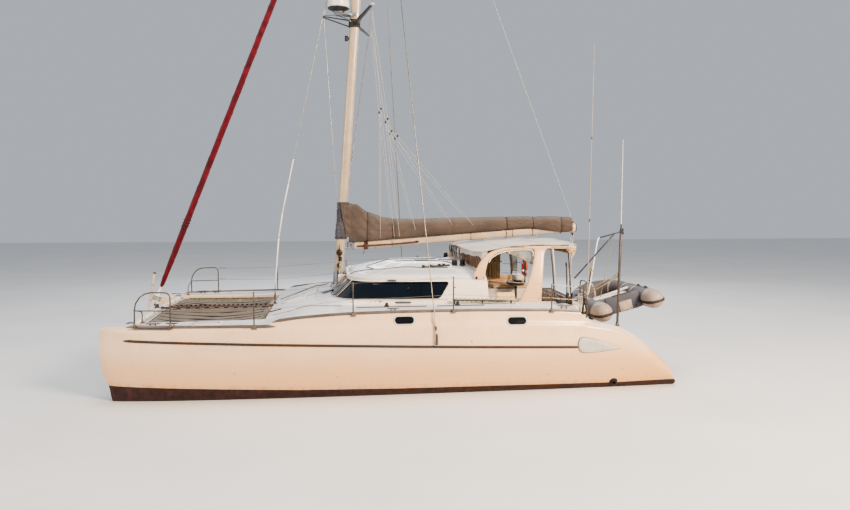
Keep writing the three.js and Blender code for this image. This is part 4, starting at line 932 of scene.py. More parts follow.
for px, pz in ((0.115, 1.42), (-1.95, 1.37)):
    o1, o2, o3, o4 = (oval(7, *d) for d in ((.400, .178, .080), (.386, .164, .076), (.348, .132, .064), (.334, .120, .058)))
    ring = np.array([on_side(px, pz, o1, -0.006), on_side(px, pz, o1, 0.004), on_side(px, pz, o2, 0.011), on_side(px, pz, o3, 0.012), on_side(px, pz, o4, 0.006), on_side(px, pz, o4, -0.008)])
    ports.grid(ring, 0, close_v=True)
    ports.tube(on_side(px, pz, oval(7, .336, .122, .059), 0.007), 0.006, 1, 8, closed=True)
    g = on_side(px, pz, o4, 0.002)
    c = np.array([[px, side_y(px, pz) + 0.004, pz]])
    inner = (g + c) / 2
    ports.grid(np.array([g, inner, np.repeat(c, len(g), 0)]), 2, close_v=True)
    for sx in (-.1, .1):
        ports.box((px + sx, side_y(px + sx, pz) + 0.008, pz - 0.05), (.028, .012, .016), 1, .004)
ports.mirror().make("hull_ports", [M["pale_trim"], M["rubber"], M["port_glass"]], slot="glass")

# the blank teardrop plate where the rub rail ends
plate = Build()


def teardrop(u, v, grow=0.0):
    """u runs aft along the plate, v from -1 at its lower edge to 1 at its upper."""
    top = pchip([0, .03, .12, .35, .7, 1], [.035, .105, .142, .13, .065, .0])(u)
    low = pchip([0, .04, .12, .4, .75, 1], [-.035, -.10, -.138, -.112, -.05, .0])(u)
    z = .905 - .10 * u + (top * v if v > 0 else -low * v) + math.copysign(grow, v) * (0 if abs(v) < .01 else 1) * (1 - u)
    return -3.115 - u * (.845 + grow) + grow, z


us, vs = np.concatenate([[0, .01, .03], np.linspace(.06, 1, 30)]), np.linspace(-1, 1, 15)
for grow, lift, dome, mat in ((.014, .010, .004, 1), (0, .014, .016, 0)):
    top = []
    for u in us:
        row = []
        for v in vs:
            x, z = teardrop(u, v, grow)
            row.append([x, side_y(x, z) + lift + dome * (1 - abs(v) ** 3) * min(1, u / .06) * min(1, (1 - u) / .1), z])
        top.append([[p[0], p[1] - lift - 0.01, p[2]] for p in row[:1]] + row + [[p[0], p[1] - lift - 0.01, p[2]] for p in row[-1:]])
    plate.grid(np.array(top), mat)
    plate.grid(np.array([top[0], [[p[0] + 0.006, p[1] - 0.03, p[2]] for p in top[0]]]), mat)
plate.mirror().make("stern_side_plates", [M["pale_trim"], M["groove"]], slot="gelcoat")

# small fittings through the hull side: exhaust, drains, chainplate covers
fit = Build()
for x, z, r, mat in ((-3.92, .115, .055, 0), (-2.6, .33, .016, 1), (1.3, .42, .016, 1), (3.1, .52, .014, 1), (-1.1, 1.02, .013, 1), (-4.05, .40, .012, 1)):
    n = side_normal(x, z)
    at = np.array([x, side_y(x, z), z])
    fit.lathe(at - n * .01, n, [(0, r * 1.5), (.012, r * 1.5), (.016, r * 1.3), (.018, r), (.045 if r > .05 else .02, r * .95), (.045 if r > .05 else .02, r * .7), (.012, r * .65), (.012, .001)], mat, 20)
fit.mirror().make("hull_fittings", [M["rubber"], M["pale_trim"]], slot="black_plastic")

# tread pads on the steps
pads = Build()
for a, b, z in ((-3.56, -3.99, 1.02), (-3.99, -4.29, .79), (-4.29, -4.56, .56), (-4.56, -4.83, .33), (-4.83, -5.08, .096)):
    if z < 1:
        pads.box(((a + b) / 2 + .01, (1.78 + 2.36) / 2 - (.0 if z > .5 else .02), z + .002), (abs(a - b) - .08, .46, .006), 0, .002)
pads.mirror().make("step_pads", [M["groove"]], slot="net")

# keels, legs, propellers, rudders: the CAD solids with soft edges
for side in ("port", "starboard"):
    refined("keel_" + side, "keel_shell_" + side, M["antifoul"], bevel=.014, angle=25)
    refined("saildrive_leg_" + side, "saildrive_" + side, M["alloy"], bevel=.006, angle=25)
    refined("propeller_" + side, "propeller_shell_" + side, M["bronze"], "propeller_" + side, .0035, 3, 25)
    refined("rudder_" + side, "rudder_blade_" + side, M["antifoul"], "rudder_" + side, .008, 3, 25)

# ---------------------------------------------------------------- bridge deck and deckhouse
M["nonskid"] = gelcoat("nonskid_panel", srgb(214, 213, 212), srgb(214, 213, 212), nonskid=1.6, grime=0.2)
refined("bridge_deck", "bridge_deck_shell", M["deck"], bevel=.012, segs=3, angle=25)
AFT = -1.6
# Plan outlines of the port half, centreline to aft corner. Columns: z, then x, y pairs
HOUSE = [
    [1.600, 1.758, 0, 1.745, .900, 1.690, 1.350, 1.540, 1.700, 1.270, 1.930, .900, 1.990, 0, 2.020, -1.000, 2.020, AFT, 2.020],
    [1.690, 1.400, 0, 1.400, .700, 1.358, 1.160, 1.256, 1.520, 1.090, 1.780, .755, 1.915, 0, 1.978, -1.000, 1.990, AFT, 1.990],
    [2.012, 1.085, 0, 1.085, .700, 1.055, 1.100, .985, 1.350, .865, 1.560, .620, 1.705, 0, 1.805, -1.000, 1.865, AFT, 1.865],
    [2.110, 1.000, 0, .985, .600, .940, .950, .850, 1.200, .700, 1.400, .480, 1.540, 0, 1.640, -1.000, 1.700, AFT, 1.700],
    [2.215, .560, 0, .540, .400, .490, .700, .410, .900, .300, 1.050, .150, 1.150, -.200, 1.230, -1.000, 1.300, AFT, 1.300],
    [2.305, .210, 0, .190, .180, .140, .330, .060, .450, -.060, .540, -.240, .600, -.500, .640, -1.000, .680, AFT, .680],
]
KNEE = [0, .10, .035, .10, .30, 0]  # rounding at each level
level_rings = []
for z, *p in HOUSE:
    half = [(p[i], p[i + 1], z) for i in range(0, len(p), 2)]
    line = [h for h in half[::-1]] + [(x, -y, z_) for x, y, z_ in half[1:]]
    level_rings.append(spline(line, 10))
LV = np.array(level_rings)  # level, round, xyz
U = LV.shape[1]


def column(pts):
    out = [pts[0], lerp(pts[0], pts[1], .3), lerp(pts[0], pts[1], .6)]
    for k in range(1, 5):
        a, b = pts[k - 1] - pts[k], pts[k + 1] - pts[k]
        la, lb = np.linalg.norm(a), np.linalg.norm(b)
        r = min(KNEE[k], .42 * la, .42 * lb)
        pa, pb = pts[k] + a / la * r, pts[k] + b / lb * r
        for i in range(7):
            t = i / 6
            out.append((1 - t) ** 2 * pa + 2 * t * (1 - t) * pts[k] + t * t * pb)
        nk = min(KNEE[k + 1], .42 * lb) if k < 4 else 0
        q = pts[k + 1] - b / lb * nk
        out += [lerp(pb, q, f) for f in (.25, .5, .75)]
    out.append(pts[5])
    return out


HP = np.array([column(LV[:, u]) for u in range(U)])  # round, up, xyz
T = HP.shape[1]


def house_at(u, z, out=0.0):
    """A point of the deckhouse's outer face at place u round it (0 port aft, 1 starboard aft) and height z."""
    f = u * (U - 1)
    i = min(int(f), U - 2)
    col = lerp(HP[i], HP[i + 1], f - i)
    p = np.array([np.interp(z, col[:, 2], col[:, 0]), np.interp(z, col[:, 2], col[:, 1]), z])
    if out:
        e = 0.01
        a, b = house_at(max(u - e, 0), z), house_at(min(u + e, 1), z)
        c, d = house_at(u, z - .012), house_at(u, z + .012)
        n = np.cross(a - b, d - c)
        n /= np.linalg.norm(n)
        if n[:2] @ (p[:2] - np.array([-.5, 0])) < 0:
            n = -n
        p = p + n * out
    return p


def find_u(z, test):
    """The place on the port half where test changes, going forward from the aft corner."""
    lo, hi = 0.0, 0.5
    for _ in range(30):
        m = (lo + hi) / 2
        lo, hi = (m, hi) if test(house_at(m, z)) else (lo, m)
    return (lo + hi) / 2


full = np.concatenate([HP, np.array([[lerp(HP[-1, t], HP[0, t], k / 16) for t in range(T)] for k in range(1, 16)])])
top_in = full[:, -1].copy()
c0 = np.array([-.75, 0, 2.305])
top_ring = c0 + (top_in - c0) * np.array([.97, .95, 1])
surf = np.concatenate([full, top_ring[:, None]], axis=1)
b = Build().grid(surf.transpose(1, 0, 2), close_v=True, cap1=True)
me = bpy.data.meshes.new("house_raw")
me.from_pydata(np.vstack(b.v).tolist(), [], b.f)
bm = bmesh.new()
bm.from_mesh(me)
bmesh.ops.remove_doubles(bm, verts=bm.verts, dist=2e-5)
bmesh.ops.triangulate(bm, faces=[f for f in bm.faces if len(f.verts) > 4])
bm.to_mesh(me)
bm.free()
house = finish_mesh("house_raw", me, body=None)
sol = house.modifiers.new("wall", "SOLIDIFY")
sol.thickness, sol.offset, sol.use_even_offset = .05, -1, False
bpy.context.view_layer.update()
apply_modifiers(house)


def prism(b, quad_a, quad_b):
    n = len(quad_a)
    b.add(list(quad_a) + list(quad_b), [tuple(range(n))[::-1], tuple(range(n, 2 * n))] + [(i, (i + 1) % n, (i + 1) % n + n, i + n) for i in range(n)])


def rounded_cutter(name, quads, width):
    b = Build()
    for qa, qb in quads:
        prism(b, qa, qb)
    me = bpy.data.meshes.new(name)
    me.from_pydata(np.vstack(b.v).tolist(), [], b.f)
    o = finish_mesh(name, me, body=None, smooth=False)
    if width:
        v = o.modifiers.new("round", "BEVEL")
        v.width, v.segments, v.limit_method = width, 4, "ANGLE"
        bpy.context.view_layer.update()
        apply_modifiers(o)
    return o


def windows(g, width):
    z0, z1 = 1.70 - g, 2.0 + g
    side = lambda y0, y1: [(1.7, y0, z0), (-.65 - g, y0, z0), (-.852 - g, y0, z1), (1.7, y0, z1)]
    quads = []
    for s in (1, -1):
        a = [(x, s * y, z) for x, y, z in [(1.7, 1.3436 - g, z0), (-.65 - g, 1.3436 - g, z0), (-.852 - g, 1.3564 - g, z1), (1.7, 1.3564 - g, z1)]]
        c = [(x, s * 2.3, z) for x, _, z in side(0, 0)]
        quads.append((a, c))
        a = [(.5, s * (.26 - g), z0), (.5, s * (1.2736 + g), z0), (.5, s * (1.2864 + g), z1), (.5, s * (.26 - g), z1)]
        quads.append((a, [(1.75, y, z) for _, y, z in a]))
    return rounded_cutter("window_cutter", quads, width)


def cut(o, c, how="DIFFERENCE"):
    m = o.modifiers.new("cut", "BOOLEAN")
    m.operation, m.object, m.solver, m.use_self = how, c, "EXACT", True
    bpy.context.view_layer.update()
    apply_modifiers(o)
    bpy.data.objects.remove(c)


cut(house, windows(0, .035))
box8 = lambda x0, x1, y0, y1, z0, z1: ([(x0, y0, z0), (x0, y1, z0), (x0, y1, z1), (x0, y0, z1)], [(x1, y0, z0), (x1, y1, z0), (x1, y1, z1), (x1, y0, z1)])
cut(house, rounded_cutter("openings", [box8(1.075, 1.56, -.17, .17, 1.79, 2.36), box8(-1.66, -1.5, -.39, .39, 1.45, 1.96)], .02))
me = house.data
bpy.data.objects.remove(house)
me.materials.clear()
me.materials.append(M["house"])
me.polygons.foreach_set("material_index", [0] * len(me.polygons))
finish_mesh("deckhouse_shell", me, "root", "deckhouse", 32)

# glass: the same face, set 14 mm in, cut to the openings
zs = np.linspace(1.66, 2.04, 9)
us = np.linspace(.02, .98, 150)
outer = np.array([[house_at(u, z, -.014) for z in zs] for u in us])
inner = np.array([[house_at(u, z, -.021) for z in zs] for u in us])
b = Build()
loop = np.concatenate([outer, inner[:, ::-1]], axis=1)
b.grid(loop, close_v=True, cap0=True, cap1=True)
me = bpy.data.meshes.new("glass_raw")
me.from_pydata(np.vstack(b.v).tolist(), [], b.f)
g = finish_mesh("glass_raw", me, body=None)
cut(g, windows(.004, .035), "INTERSECT")
me = g.data
bpy.data.objects.remove(g)
me.materials.clear()
me.materials.append(M["glass"])
me.polygons.foreach_set("material_index", [0] * len(me.polygons))
finish_mesh("cabin_windows", me, "root", ("window_front_port", "window_front_starboard", "window_side_port", "window_side_starboard"), 30)

# gaskets and the pale sill trim
seal = Build()
u_aft = lambda z: find_u(z, lambda p: p[0] < -.65 - .202 * (z - 1.70) / .30)
u_corner = lambda z, y: find_u(z, lambda p: p[1] > y + .03 * (z - 1.5) / .7)


def rim(u0f, u1f, g=0.0, z0=1.70, z1=2.0, n=40, out=.003):
    r = .035
    bottom = [house_at(lerp(u0f(z0), u1f(z0), t), z0 + g, out) for t in np.linspace(.012, .988, n)]
    fwd = [house_at(u1f(z), z, out) for z in np.linspace(z0 + r, z1 - r, 6)]
    top = [house_at(lerp(u1f(z1), u0f(z1), t), z1 - g, out) for t in np.linspace(.012, .988, n)]
    aft = [house_at(u0f(z), z, out) for z in np.linspace(z1 - r, z0 + r, 6)]
    return np.array(bottom + fwd + top + aft)


side_rim = rim(u_aft, lambda z: u_corner(z, 1.335))
front_rim = rim(lambda z: u_corner(z, 1.265), lambda z: u_corner(z, .245 - .03 * (z - 1.5) / .7))
for r in (side_rim, front_rim):
    seal.tube(r, .009, 0, 8, closed=True)
sill = np.array([house_at(lerp(u_aft(1.70) - .01, u_corner(1.70, 1.1), t), 1.684, .006) for t in np.linspace(0, 1, 60)])
seal.sweep(sill, [(-.006, -.010), (-.006, .010), (.006, .012), (.010, .004), (.010, -.006), (.004, -.012)], 1)
seal.mirror().make("window_seals", [M["rubber"], M["pale_trim"]], slot="black_plastic")

# roof brow over the windows
brow = Build()
ub = np.linspace(.035, .965, 170)
line = np.array([house_at(u, 2.035, -.002) for u in ub])
grow = np.minimum(1, np.minimum(ub - .035, .965 - ub) / .05 + .12)
keep = [(i, j) for i, j in ((0, len(ub)),)]
gap = [i for i in range(len(ub)) if abs(line[i][1]) > .19]
runs = [[i for i in gap if line[i][1] > 0], [i for i in gap if line[i][1] < 0]]
PROFILE = [(-.016, -.030), (-.016, .048), (.004, .050), (.018, .038), (.028, .014), (.030, -.010), (.024, -.024), (.012, -.031)]
for run in runs:
    p = line[run]
    if p[0][1] < 0:
        p = p[::-1]
        k = grow[run][::-1]
    else:
        k = grow[run]
    prof = PROFILE if p[0][1] > 0 else [(-a, c) for a, c in PROFILE][::-1]
    k = np.minimum(k, np.minimum(1, np.arange(len(p))[::-1] / 5 + .3))
    brow.sweep(p, prof, 0, scale=k)
brow.make("roof_brow", M["house"], slot="gelcoat")

# mast step box in the roof's front, with its floor
step = Build()
step.box((1.225, 0, 1.779), (.36, .38, .024), 0, .006).box((1.068, 0, 1.95), (.022, .38, .36), 0, .006)
for s in (1, -1):
    step.box((1.16, s * .179, 1.90), (.20, .020, .24), 0, .006)
step.box((1.255, 0, 1.795), (.30, .22, .012), 1, .004)
for sx in (-.12, .12):
    for sy in (-.09, .09):
        step.ball((1.255 + sx, sy, 1.803), .010, 2, 10, (1, 1, .6))
step.make("mast_step", [M["house"], M["alloy"], M["steel"]], slot="gelcoat")

# roof: non-skid panels, tracks, handholds, vents
roof = Build()


def panel(u0, u1, z0, z1, mat=0, lift=.0022, n=26, m=9, corner=.14):
    """A raised patch on the roof with rounded corners."""
    g = []
    for i in range(n):
        t = i / (n - 1)
        e = min(t, 1 - t)
        k = 0 if e > corner else (1 - math.sqrt(max(0, 1 - (1 - e / corner) ** 2)))
        a, b_ = lerp(z0, z1, .18 * k), lerp(z1, z0, .18 * k)
        g.append([house_at(lerp(u0, u1, t), lerp(a, b_, j / (m - 1)), lift if 0 < j < m - 1 and 0 < i < n - 1 else -.003) for j in range(m)])
    roof.grid(np.array(g), mat)


for a, c in ((.055, .20), (.212, .325), (.338, .445)):
    panel(a, c, 2.125, 2.205)
    panel(a + .006, c - .004, 2.222, 2.290)
top_pad = lambda x0, x1, y0, y1: roof.box(((x0 + x1) / 2, (y0 + y1) / 2, 2.3055), (x1 - x0, y1 - y0, .005), 0, .002)
top_pad(-1.55, -.96, .06, .58)
top_pad(-.34, -.06, .03, .40)
trk = np.array([[x, 1.36 + .02 * (x + .4) / -.5, 0] for x in np.linspace(-.38, -.92, 10)])
for p in trk:
    col = HP[int(U * .16)]
    p[2] = 2.222
for x0, x1, y in ((-.38, -.92, 1.28),):
    pts = []
    for x in np.linspace(x0, x1, 12):
        u = min(np.linspace(.03, .45, 120), key=lambda q: abs(house_at(q, 2.2215)[0] - x))
        pts.append(house_at(u, 2.2215, .012))
    roof.sweep(np.array(pts), [(-.016, -.012), (-.016, .006), (-.010, .012), (.010, .012), (.016, .006), (.016, -.012)], 1)
    mid_ = pts[5]
    roof.box((mid_[0], mid_[1], mid_[2] + .026), (.10, .044, .030), 2, .008)
    roof.torus((mid_[0], mid_[1], mid_[2] + .052), (0, 1, 0), .018, .005, 2, 16, 6)
for xa, xb, z in ((.338, .145, 2.018), (-.492, -.687, 2.05)):
    u = min(np.linspace(.03, .45, 400), key=lambda q: abs(house_at(q, z)[0] - (xa + xb) / 2))
    p = house_at(u, z, .022)
    roof.box(p, (.19, .026, .034), 3, .010)
    roof.box(p + np.array([0, .012, .004]), (.15, .014, .016), 2, .005)
vent = [house_at(u, 1.632, .004) for u in np.linspace(find_u(1.632, lambda p: p[0] < -.10), find_u(1.632, lambda p: p[0] < .215), 16)]
roof.sweep(np.array(vent), [(-.006, -.020), (-.006, .020), (.006, .017), (.009, 0), (.006, -.017)], 2, scale=np.minimum(1, np.minimum(np.arange(16), np.arange(16)[::-1]) / 3 + .4))
for k in range(1, 4):
    roof.tube(np.array([v + np.array([0, .011, -.016 + .008 * k]) for v in vent[2:-2]]), .0022, 3, 6)
roof.ball((-1.388, 1.845, 2.072), .024, 2, 14, (1, 1, 1.2)).rod((-1.388, 1.835, 2.02), (-1.388, 1.842, 2.06), .010, 4)
for xa, y in ((-.05, 1.93), (-.95, 1.945)):
    roof.lathe((xa, y, 1.90), (0, 1, 0), [(-.01, .014), (.004, .014), (.010, .008), (.010, .001)], 4, 12)
roof.mirror().make("roof_fittings", [M["nonskid"], M["toe"], M["black"], M["mast_grey"], M["steel"]], slot="alloy")

# ---------------------------------------------------------------- mast, spreaders, radar
FOOT_X, FOOT_Z, RAKE, MAST_TOP = 1.261, 1.8, .0715, 14.1
mast_x = lambda z: FOOT_X - RAKE * (z - FOOT_Z)
boom_z = lambda x: 2.62 + (2.985 - 2.62) * (1.045 - x) / (1.045 + 4.02)


def mast_ring(z, n=40, groove=True, grow=0.0):
    a = np.linspace(0, 2 * math.pi, n, endpoint=False)
    x, y = (.100 + grow) * np.cos(a), (.065 + grow) * np.sin(a)
    if groove:  # luff groove down the aft face
        aft = np.abs(a - math.pi) < .17
        x = np.where(aft, -.086, x)
        y = np.where(aft, np.sign(y) * .006, y)
    return np.column_stack([mast_x(z) + x, y, np.full(n, z)])


mast = Build()
zs = np.concatenate([[1.8], np.linspace(1.9, 14.1, 60)])
mast.grid(np.array([mast_ring(z) for z in zs]), 0, close_v=True, cap0=True, cap1=True, flip=True)
mast.lathe((FOOT_X, 0, 1.802), (0, 0, 1), [(0, .128), (.012, .126), (.020, .112), (.050, .108), (.054, .02)], 1, 32)
mast.grid(np.array([mast_ring(z, 40, False, g) for z, g in ((1.83, .004), (1.835, .010), (2.06, .010), (2.066, .004), (2.066, -.01))]), 1, close_v=True, flip=True)
# gooseneck toggles, vang and reef hardware above and below
mast.box((1.075, 0, 2.568), (.10, .034, .022), 1, .005).box((1.075, 0, 2.672), (.10, .034, .022), 1, .005)
mast.lathe((1.045, 0, 2.55), (0, 0, 1), [(0, .016), (.004, .020), (.012, .020), (.014, .012), (.126, .012), (.128, .020), (.138, .020), (.142, .012)], 2, 18)
for z in (2.568, 2.672):
    mast.box((1.115, 0, z), (.05, .074, .030), 1, .006)
for z, s, d in ((2.20, 1, .055), (2.20, -1, .055), (2.46, 1, .045)):
    at = np.array([mast_x(z), s * .060, z])
    mast.lathe(at, (0, s, 0), [(0, d), (.02, d), (.026, d * .86), (.060, d * .80), (.066, d * .95), (.074, d * .97), (.078, d * .7), (.084, d * .62), (.084, .01)], 2, 26)
    mast.box(at + np.array([0, s * .094, 0]), (.02, .016, .14), 3, .005)
for z, s in ((2.38, 1), (2.36, -1), (2.02, 1), (2.02, -1), (2.30, -1), (2.56, 1)):
    at = np.array([mast_x(z) + .02 * s, s * .074, z])
    mast.box(at, (.022, .030, .034), 3, .004)
    mast.tube([at + [0, s * .02, -.085], at + [0, s * .026, -.04], at + [0, s * .026, .04], at + [0, s * .02, .085]], .0085, 3, 8)
for z in (2.85, 3.05, 3.7, 4.9, 5.9, 6.8, 8.9, 10.4, 12.2):
    mast.box((mast_x(z) - .103, 0, z), (.012, .030, .060), 1, .003)
# masthead: crane and sheaves
mx = mast_x(14.05)
mast.box((mx - .025, 0, 14.062), (.43, .040, .058), 1, .008)
for x in (-.19, .15):
    for s in (1, -1):
        mast.box((mx + x, s * .024, 14.05), (.075, .008, .09), 1, .004)
    mast.lathe((mx + x, -.012, 14.045), (0, 1, 0), [(0, .034), (.004, .034), (.008, .026), (.016, .026), (.020, .034), (.024, .034)], 3, 20)
# steaming lamp on the mast's front
mast.box((mast_x(6.98) + .112, 0, 6.98), (.03, .05, .05), 3, .006)
mast.lathe((mast_x(6.98) + .155, 0, 6.925), (0, 0, 1), [(0, .030), (.010, .038), (.018, .038), (.022, .034), (.085, .034), (.090, .040), (.104, .036), (.112, .014)], 3, 22)
mast.make("mast_tube", [M["mast"], M["mast_grey"], M["steel"], M["black"]], slot="alloy", replaces="mast")

spr = Build()
rx = mast_x(7.29)
spr.grid(np.array([mast_ring(z, 40, False, g) for z, g in ((7.205, .002), (7.207, .014), (7.213, .018), (7.367, .018), (7.373, .014), (7.375, .002))]), 1, close_v=True, cap0=False, cap1=False, flip=True)
for a in np.linspace(0, 2 * math.pi, 12, endpoint=False):
    for z in (7.235, 7.345):
        spr.ball((mast_x(z) + .118 * math.cos(a), .083 * math.sin(a), z), .007, 3, 8)
TIPS = {1: np.array([.575, 1.33, 7.340]), -1: np.array([.495, -1.33, 7.358])}
for s in (1, -1):
    a, tip = np.array([rx - .02, s * .078, 7.29]), TIPS[s]
    n = 12
    sec = []
    for k in range(n + 1):
        t = k / n
        c = lerp(a, tip, t)
        w, h = lerp(.060, .036, t), lerp(.026, .017, t)
        ang = np.linspace(0, 2 * math.pi, 20, endpoint=False)
        sec.append(np.column_stack([c[0] + w * np.cos(ang), np.full(20, c[1]), c[2] + h * np.sin(ang)]))
    spr.grid(np.array(sec), 1, close_v=True, cap0=True, cap1=True)
    spr.box(a + np.array([0, s * .01, 0]), (.15, .07, .075), 1, .012)
    spr.box(tip + np.array([0, s * .010, 0]), (.085, .045, .042), 2, .012)
    spr.ball(tip + np.array([0, s * .034, 0]), .024, 2, 14)
STRUT = np.array([1.51, 0, 7.405])
for dz in (.060, -.062):
    spr.tube([(rx + .085, 0, 7.29 + dz), (rx + .14, 0, 7.29 + dz + .006), STRUT + np.array([0, 0, .012 if dz > 0 else -.012])], [.015, .014, .012], 1, 12)
spr.box((rx + .112, 0, 7.29), (.03, .05, .17), 1, .006)
spr.lathe(STRUT + np.array([0, 0, -.03]), (0, 0, 1), [(0, .012), (.006, .020), (.054, .020), (.060, .012)], 1, 16)
spr.tube([(rx + .02, .09, 7.40), (rx + .15, .07, 7.46), STRUT + np.array([-.02, .01, .03])], .006, 3, 8)
spr.make("spreader_set", [M["mast"], M["dark_trim"], M["pale_trim"], M["steel"]], slot="alloy", replaces="spreaders")

rad = Build()
prof = pchip([0, .05, .12, .21, .32, .395, .42], [.208, .222, .226, .219, .196, .132, .02])
rad.lathe((1.208, 0, 7.578), (0, 0, 1), [(-.046, .02), (-.046, .118), (-.040, .124), (-.018, .175), (0, .207), (.002, .2165), (.020, .2175)], 1, 48)
rad.lathe((1.208, 0, 7.578), (0, 0, 1), [(.012, .05), (.012, .2085)] + [(h, max(float(prof(h)) - (.004 if h < .01 else 0), .02)) for h in (.018, .03, .05, .08, .12, .17, .21, .26, .30, .335, .36, .38, .395, .408, .415)] , 0, 48)
rad.torus((1.208, 0, 7.596), (0, 0, 1), .2195, .006, 1, 48, 8)
rad.box((1.115, 0, 7.489), (.37, .12, .020), 2, .004).box((1.21, 0, 7.516), (.16, .16, .034), 2, .008)
for s in (1, -1):
    rad.box((1.10, s * .055, 7.468), (.34, .008, .05), 2, .003)
    rad.tube([(.945, s * .05, 7.30 + .01), (1.02, s * .055, 7.38), (1.235, s * .055, 7.472)], .009, 2, 10)
    for x in (1.16, 1.26):
        rad.lathe((x, s * .06, 7.533), (0, 0, 1), [(0, .012), (.006, .012), (.006, .007), (.014, .007)], 3, 12)
rad.grid(np.array([mast_ring(z, 32, False, g) for z, g in ((7.438, .003), (7.440, .014), (7.500, .014), (7.502, .003))]), 2, close_v=True, flip=True)
rad.tube(spline([(1.14, .0, 7.535), (1.08, .03, 7.50), (mast_x(7.45) + .12, .05, 7.42), (mast_x(7.3) + .112, .06, 7.30)], 8), .006, 1, 8)
rad.make("radar", [M["smooth_white"], M["dark_trim"], M["mast_grey"], M["steel"]], slot="white_paint", replaces="radar_dome")

# ---------------------------------------------------------------- standing rigging
STAY = lambda z: np.array([4.94 - .4017 * (z - 1.72), 0, z])
CAP_Z = 12.9


def turnbuckle(b, p, d, r=.0075, mat=0, dark=1):
    """Toggle, body and stud from point p along d; returns where the wire starts."""
    p, d = np.asarray(p, float), np.asarray(d, float)
    d = d / np.linalg.norm(d)
    s = r / .0075
    b.lathe(p, d, [(0, .006 * s), (.006, .012 * s), (.030, .012 * s), (.036, .009 * s), (.055, .0075 * s), (.085, .0070 * s), (.090, .0115 * s), (.100, .013 * s), (.200, .013 * s), (.210, .0115 * s), (.215, .007 * s), (.260, .006 * s), (.262, .0095 * s), (.330, .0085 * s), (.345, .0055 * s), (.350, .001)], mat, 14)
    b.lathe(p + d * .125, d, [(0, .0135 * s), (.004, .0145 * s), (.046, .0145 * s), (.050, .0135 * s)], dark, 14)
    return p + d * .345


def wire(b, p, q, r=.0045, mat=0, n=2):
    p, q = np.asarray(p, float), np.asarray(q, float)
    b.tube([lerp(p, q, i / n) for i in range(n + 1)], r, mat, 8, ends=False)


rig = {}
for s, side in ((1, "port"), (-1, "starboard")):
    b = Build()
    foot = np.array([-.455, s * 2.914, 1.13])
    head = np.array([mast_x(CAP_Z) - .02, s * .068, CAP_Z])
    tip = TIPS[s] + np.array([0, s * .034, 0])
    d = (head - foot) / np.linalg.norm(head - foot)
    start = turnbuckle(b, foot + d * .01, d, .011, 1, 1)
    wire(b, start, head, .0085, 0, 6)
    # chainplate: strap bolted down the side, with a fork and pin
    y0 = side_y(-.455, .99)
    b.box((-.455, s * 2.916, 1.075), (.046, .010, .19), 1, .004)
    b.box((-.455, s * (2.874 + .022), .992), (.046, .052, .030), 1, .004)
    b.lathe((-.455, s * 2.905, 1.13), (0, s, 0), [(-.004, .012), (.018, .012), (.022, .008)], 1, 14)
    for z in (1.03, 1.09):
        b.ball((-.455, s * 2.922, z), .009, 1, 10, (1, .5, 1))
    b.box((-.455, s * (y0 + .004), 1.005), (.085, .014, .10), 2, .006)
    # white boot over the screw
    bo = foot + d * .055
    b.lathe(bo, d, [(0, .011), (.006, .018), (.18, .020), (.30, .017), (.315, .011)], 2, 18)
    b.make("cap_shroud_" + side, [M["wire"], M["steel"], M["pale_trim"]], slot="steel", replaces="shroud_" + side)

# lower shrouds, intermediate wires, diamonds: fixed between mast, spreaders and deck
d = Build()
for s in (1, -1):
    tip = TIPS[s]
    wire(d, tip + np.array([0, s * .03, 0]), (mast_x(CAP_Z) - .015, s * .07, CAP_Z), .0035, 0, 4)
    wire(d, tip + np.array([0, s * .03, 0]), (mast_x(2.95) - .01, s * .067, 2.95), .0035, 0, 4)
wire(d, STRUT, (mast_x(11.0) + .102, 0, 11.0), .0035, 0, 4)
wire(d, STRUT + np.array([0, 0, -.03]), (mast_x(3.3) + .10, 0, 3.3), .0035, 0, 4)
for z, s in ((2.95, 1), (2.95, -1)):
    d.lathe((mast_x(z) - .01, s * .062, z - .02), (0, 0, 1), [(0, .009), (.06, .009), (.08, .005)], 1, 10)
# mast tangs
for z in (12.9,):
    for s in (1, -1):
        d.box((mast_x(z) - .018, s * .0705, z - .02), (.04, .010, .16), 1, .004)
# forestay above the furled sail, to its own tang
wire(d, STAY(11.9), STAY(12.54) + np.array([.004, 0, 0]), .006, 0, 2)
d.box(STAY(12.52) + np.array([-.012, 0, 0]), (.05, .03, .12), 1, .005)
d.make("mast_wires", [M["wire"], M["steel"]], slot="steel")

inner = Build()
P = [np.array(p) for p in ((2.592, 0, 1.419), (2.590, 0, 1.560), (2.497, 0, 2.799), (2.413, 0, 3.327), (mast_x(11.35) + .107, 0, 11.35))]
inner.box((2.588, 0, 1.407), (.07, .05, .024), 1, .006)
for s in (1, -1):
    inner.ball((2.588 + .02 * s, .014, 1.42), .006, 1, 8)
e = turnbuckle(inner, P[0], P[1] - P[0], .009, 1, 1)
wire(inner, e, P[2], .0045)
inner.ball(P[2], .016, 1, 12)
wire(inner, P[2], P[3], .0045)
wire(inner, P[3], P[4], .0045, 0, 6)
inner.lathe(P[3] - np.array([0, 0, .05]), (-.07, 0, 1), [(0, .005), (.008, .010), (.09, .010), (.10, .005)], 1, 12)
for k in range(4):  # split plastic sleeve over its lower part
    q0, q1 = (lerp(e, P[2], .05), P[2], P[3], lerp(P[3], P[4], .072), lerp(P[3], P[4], .140))[k:k + 2]
    inner.tube([q0, lerp(q0, q1, .5), lerp(q0, q1, .997)], .0165 - .001 * k, 2, 12)
inner.make("inner_stay", [M["wire"], M["steel"], M["smooth_white"]], slot="steel", replaces="inner_forestay")

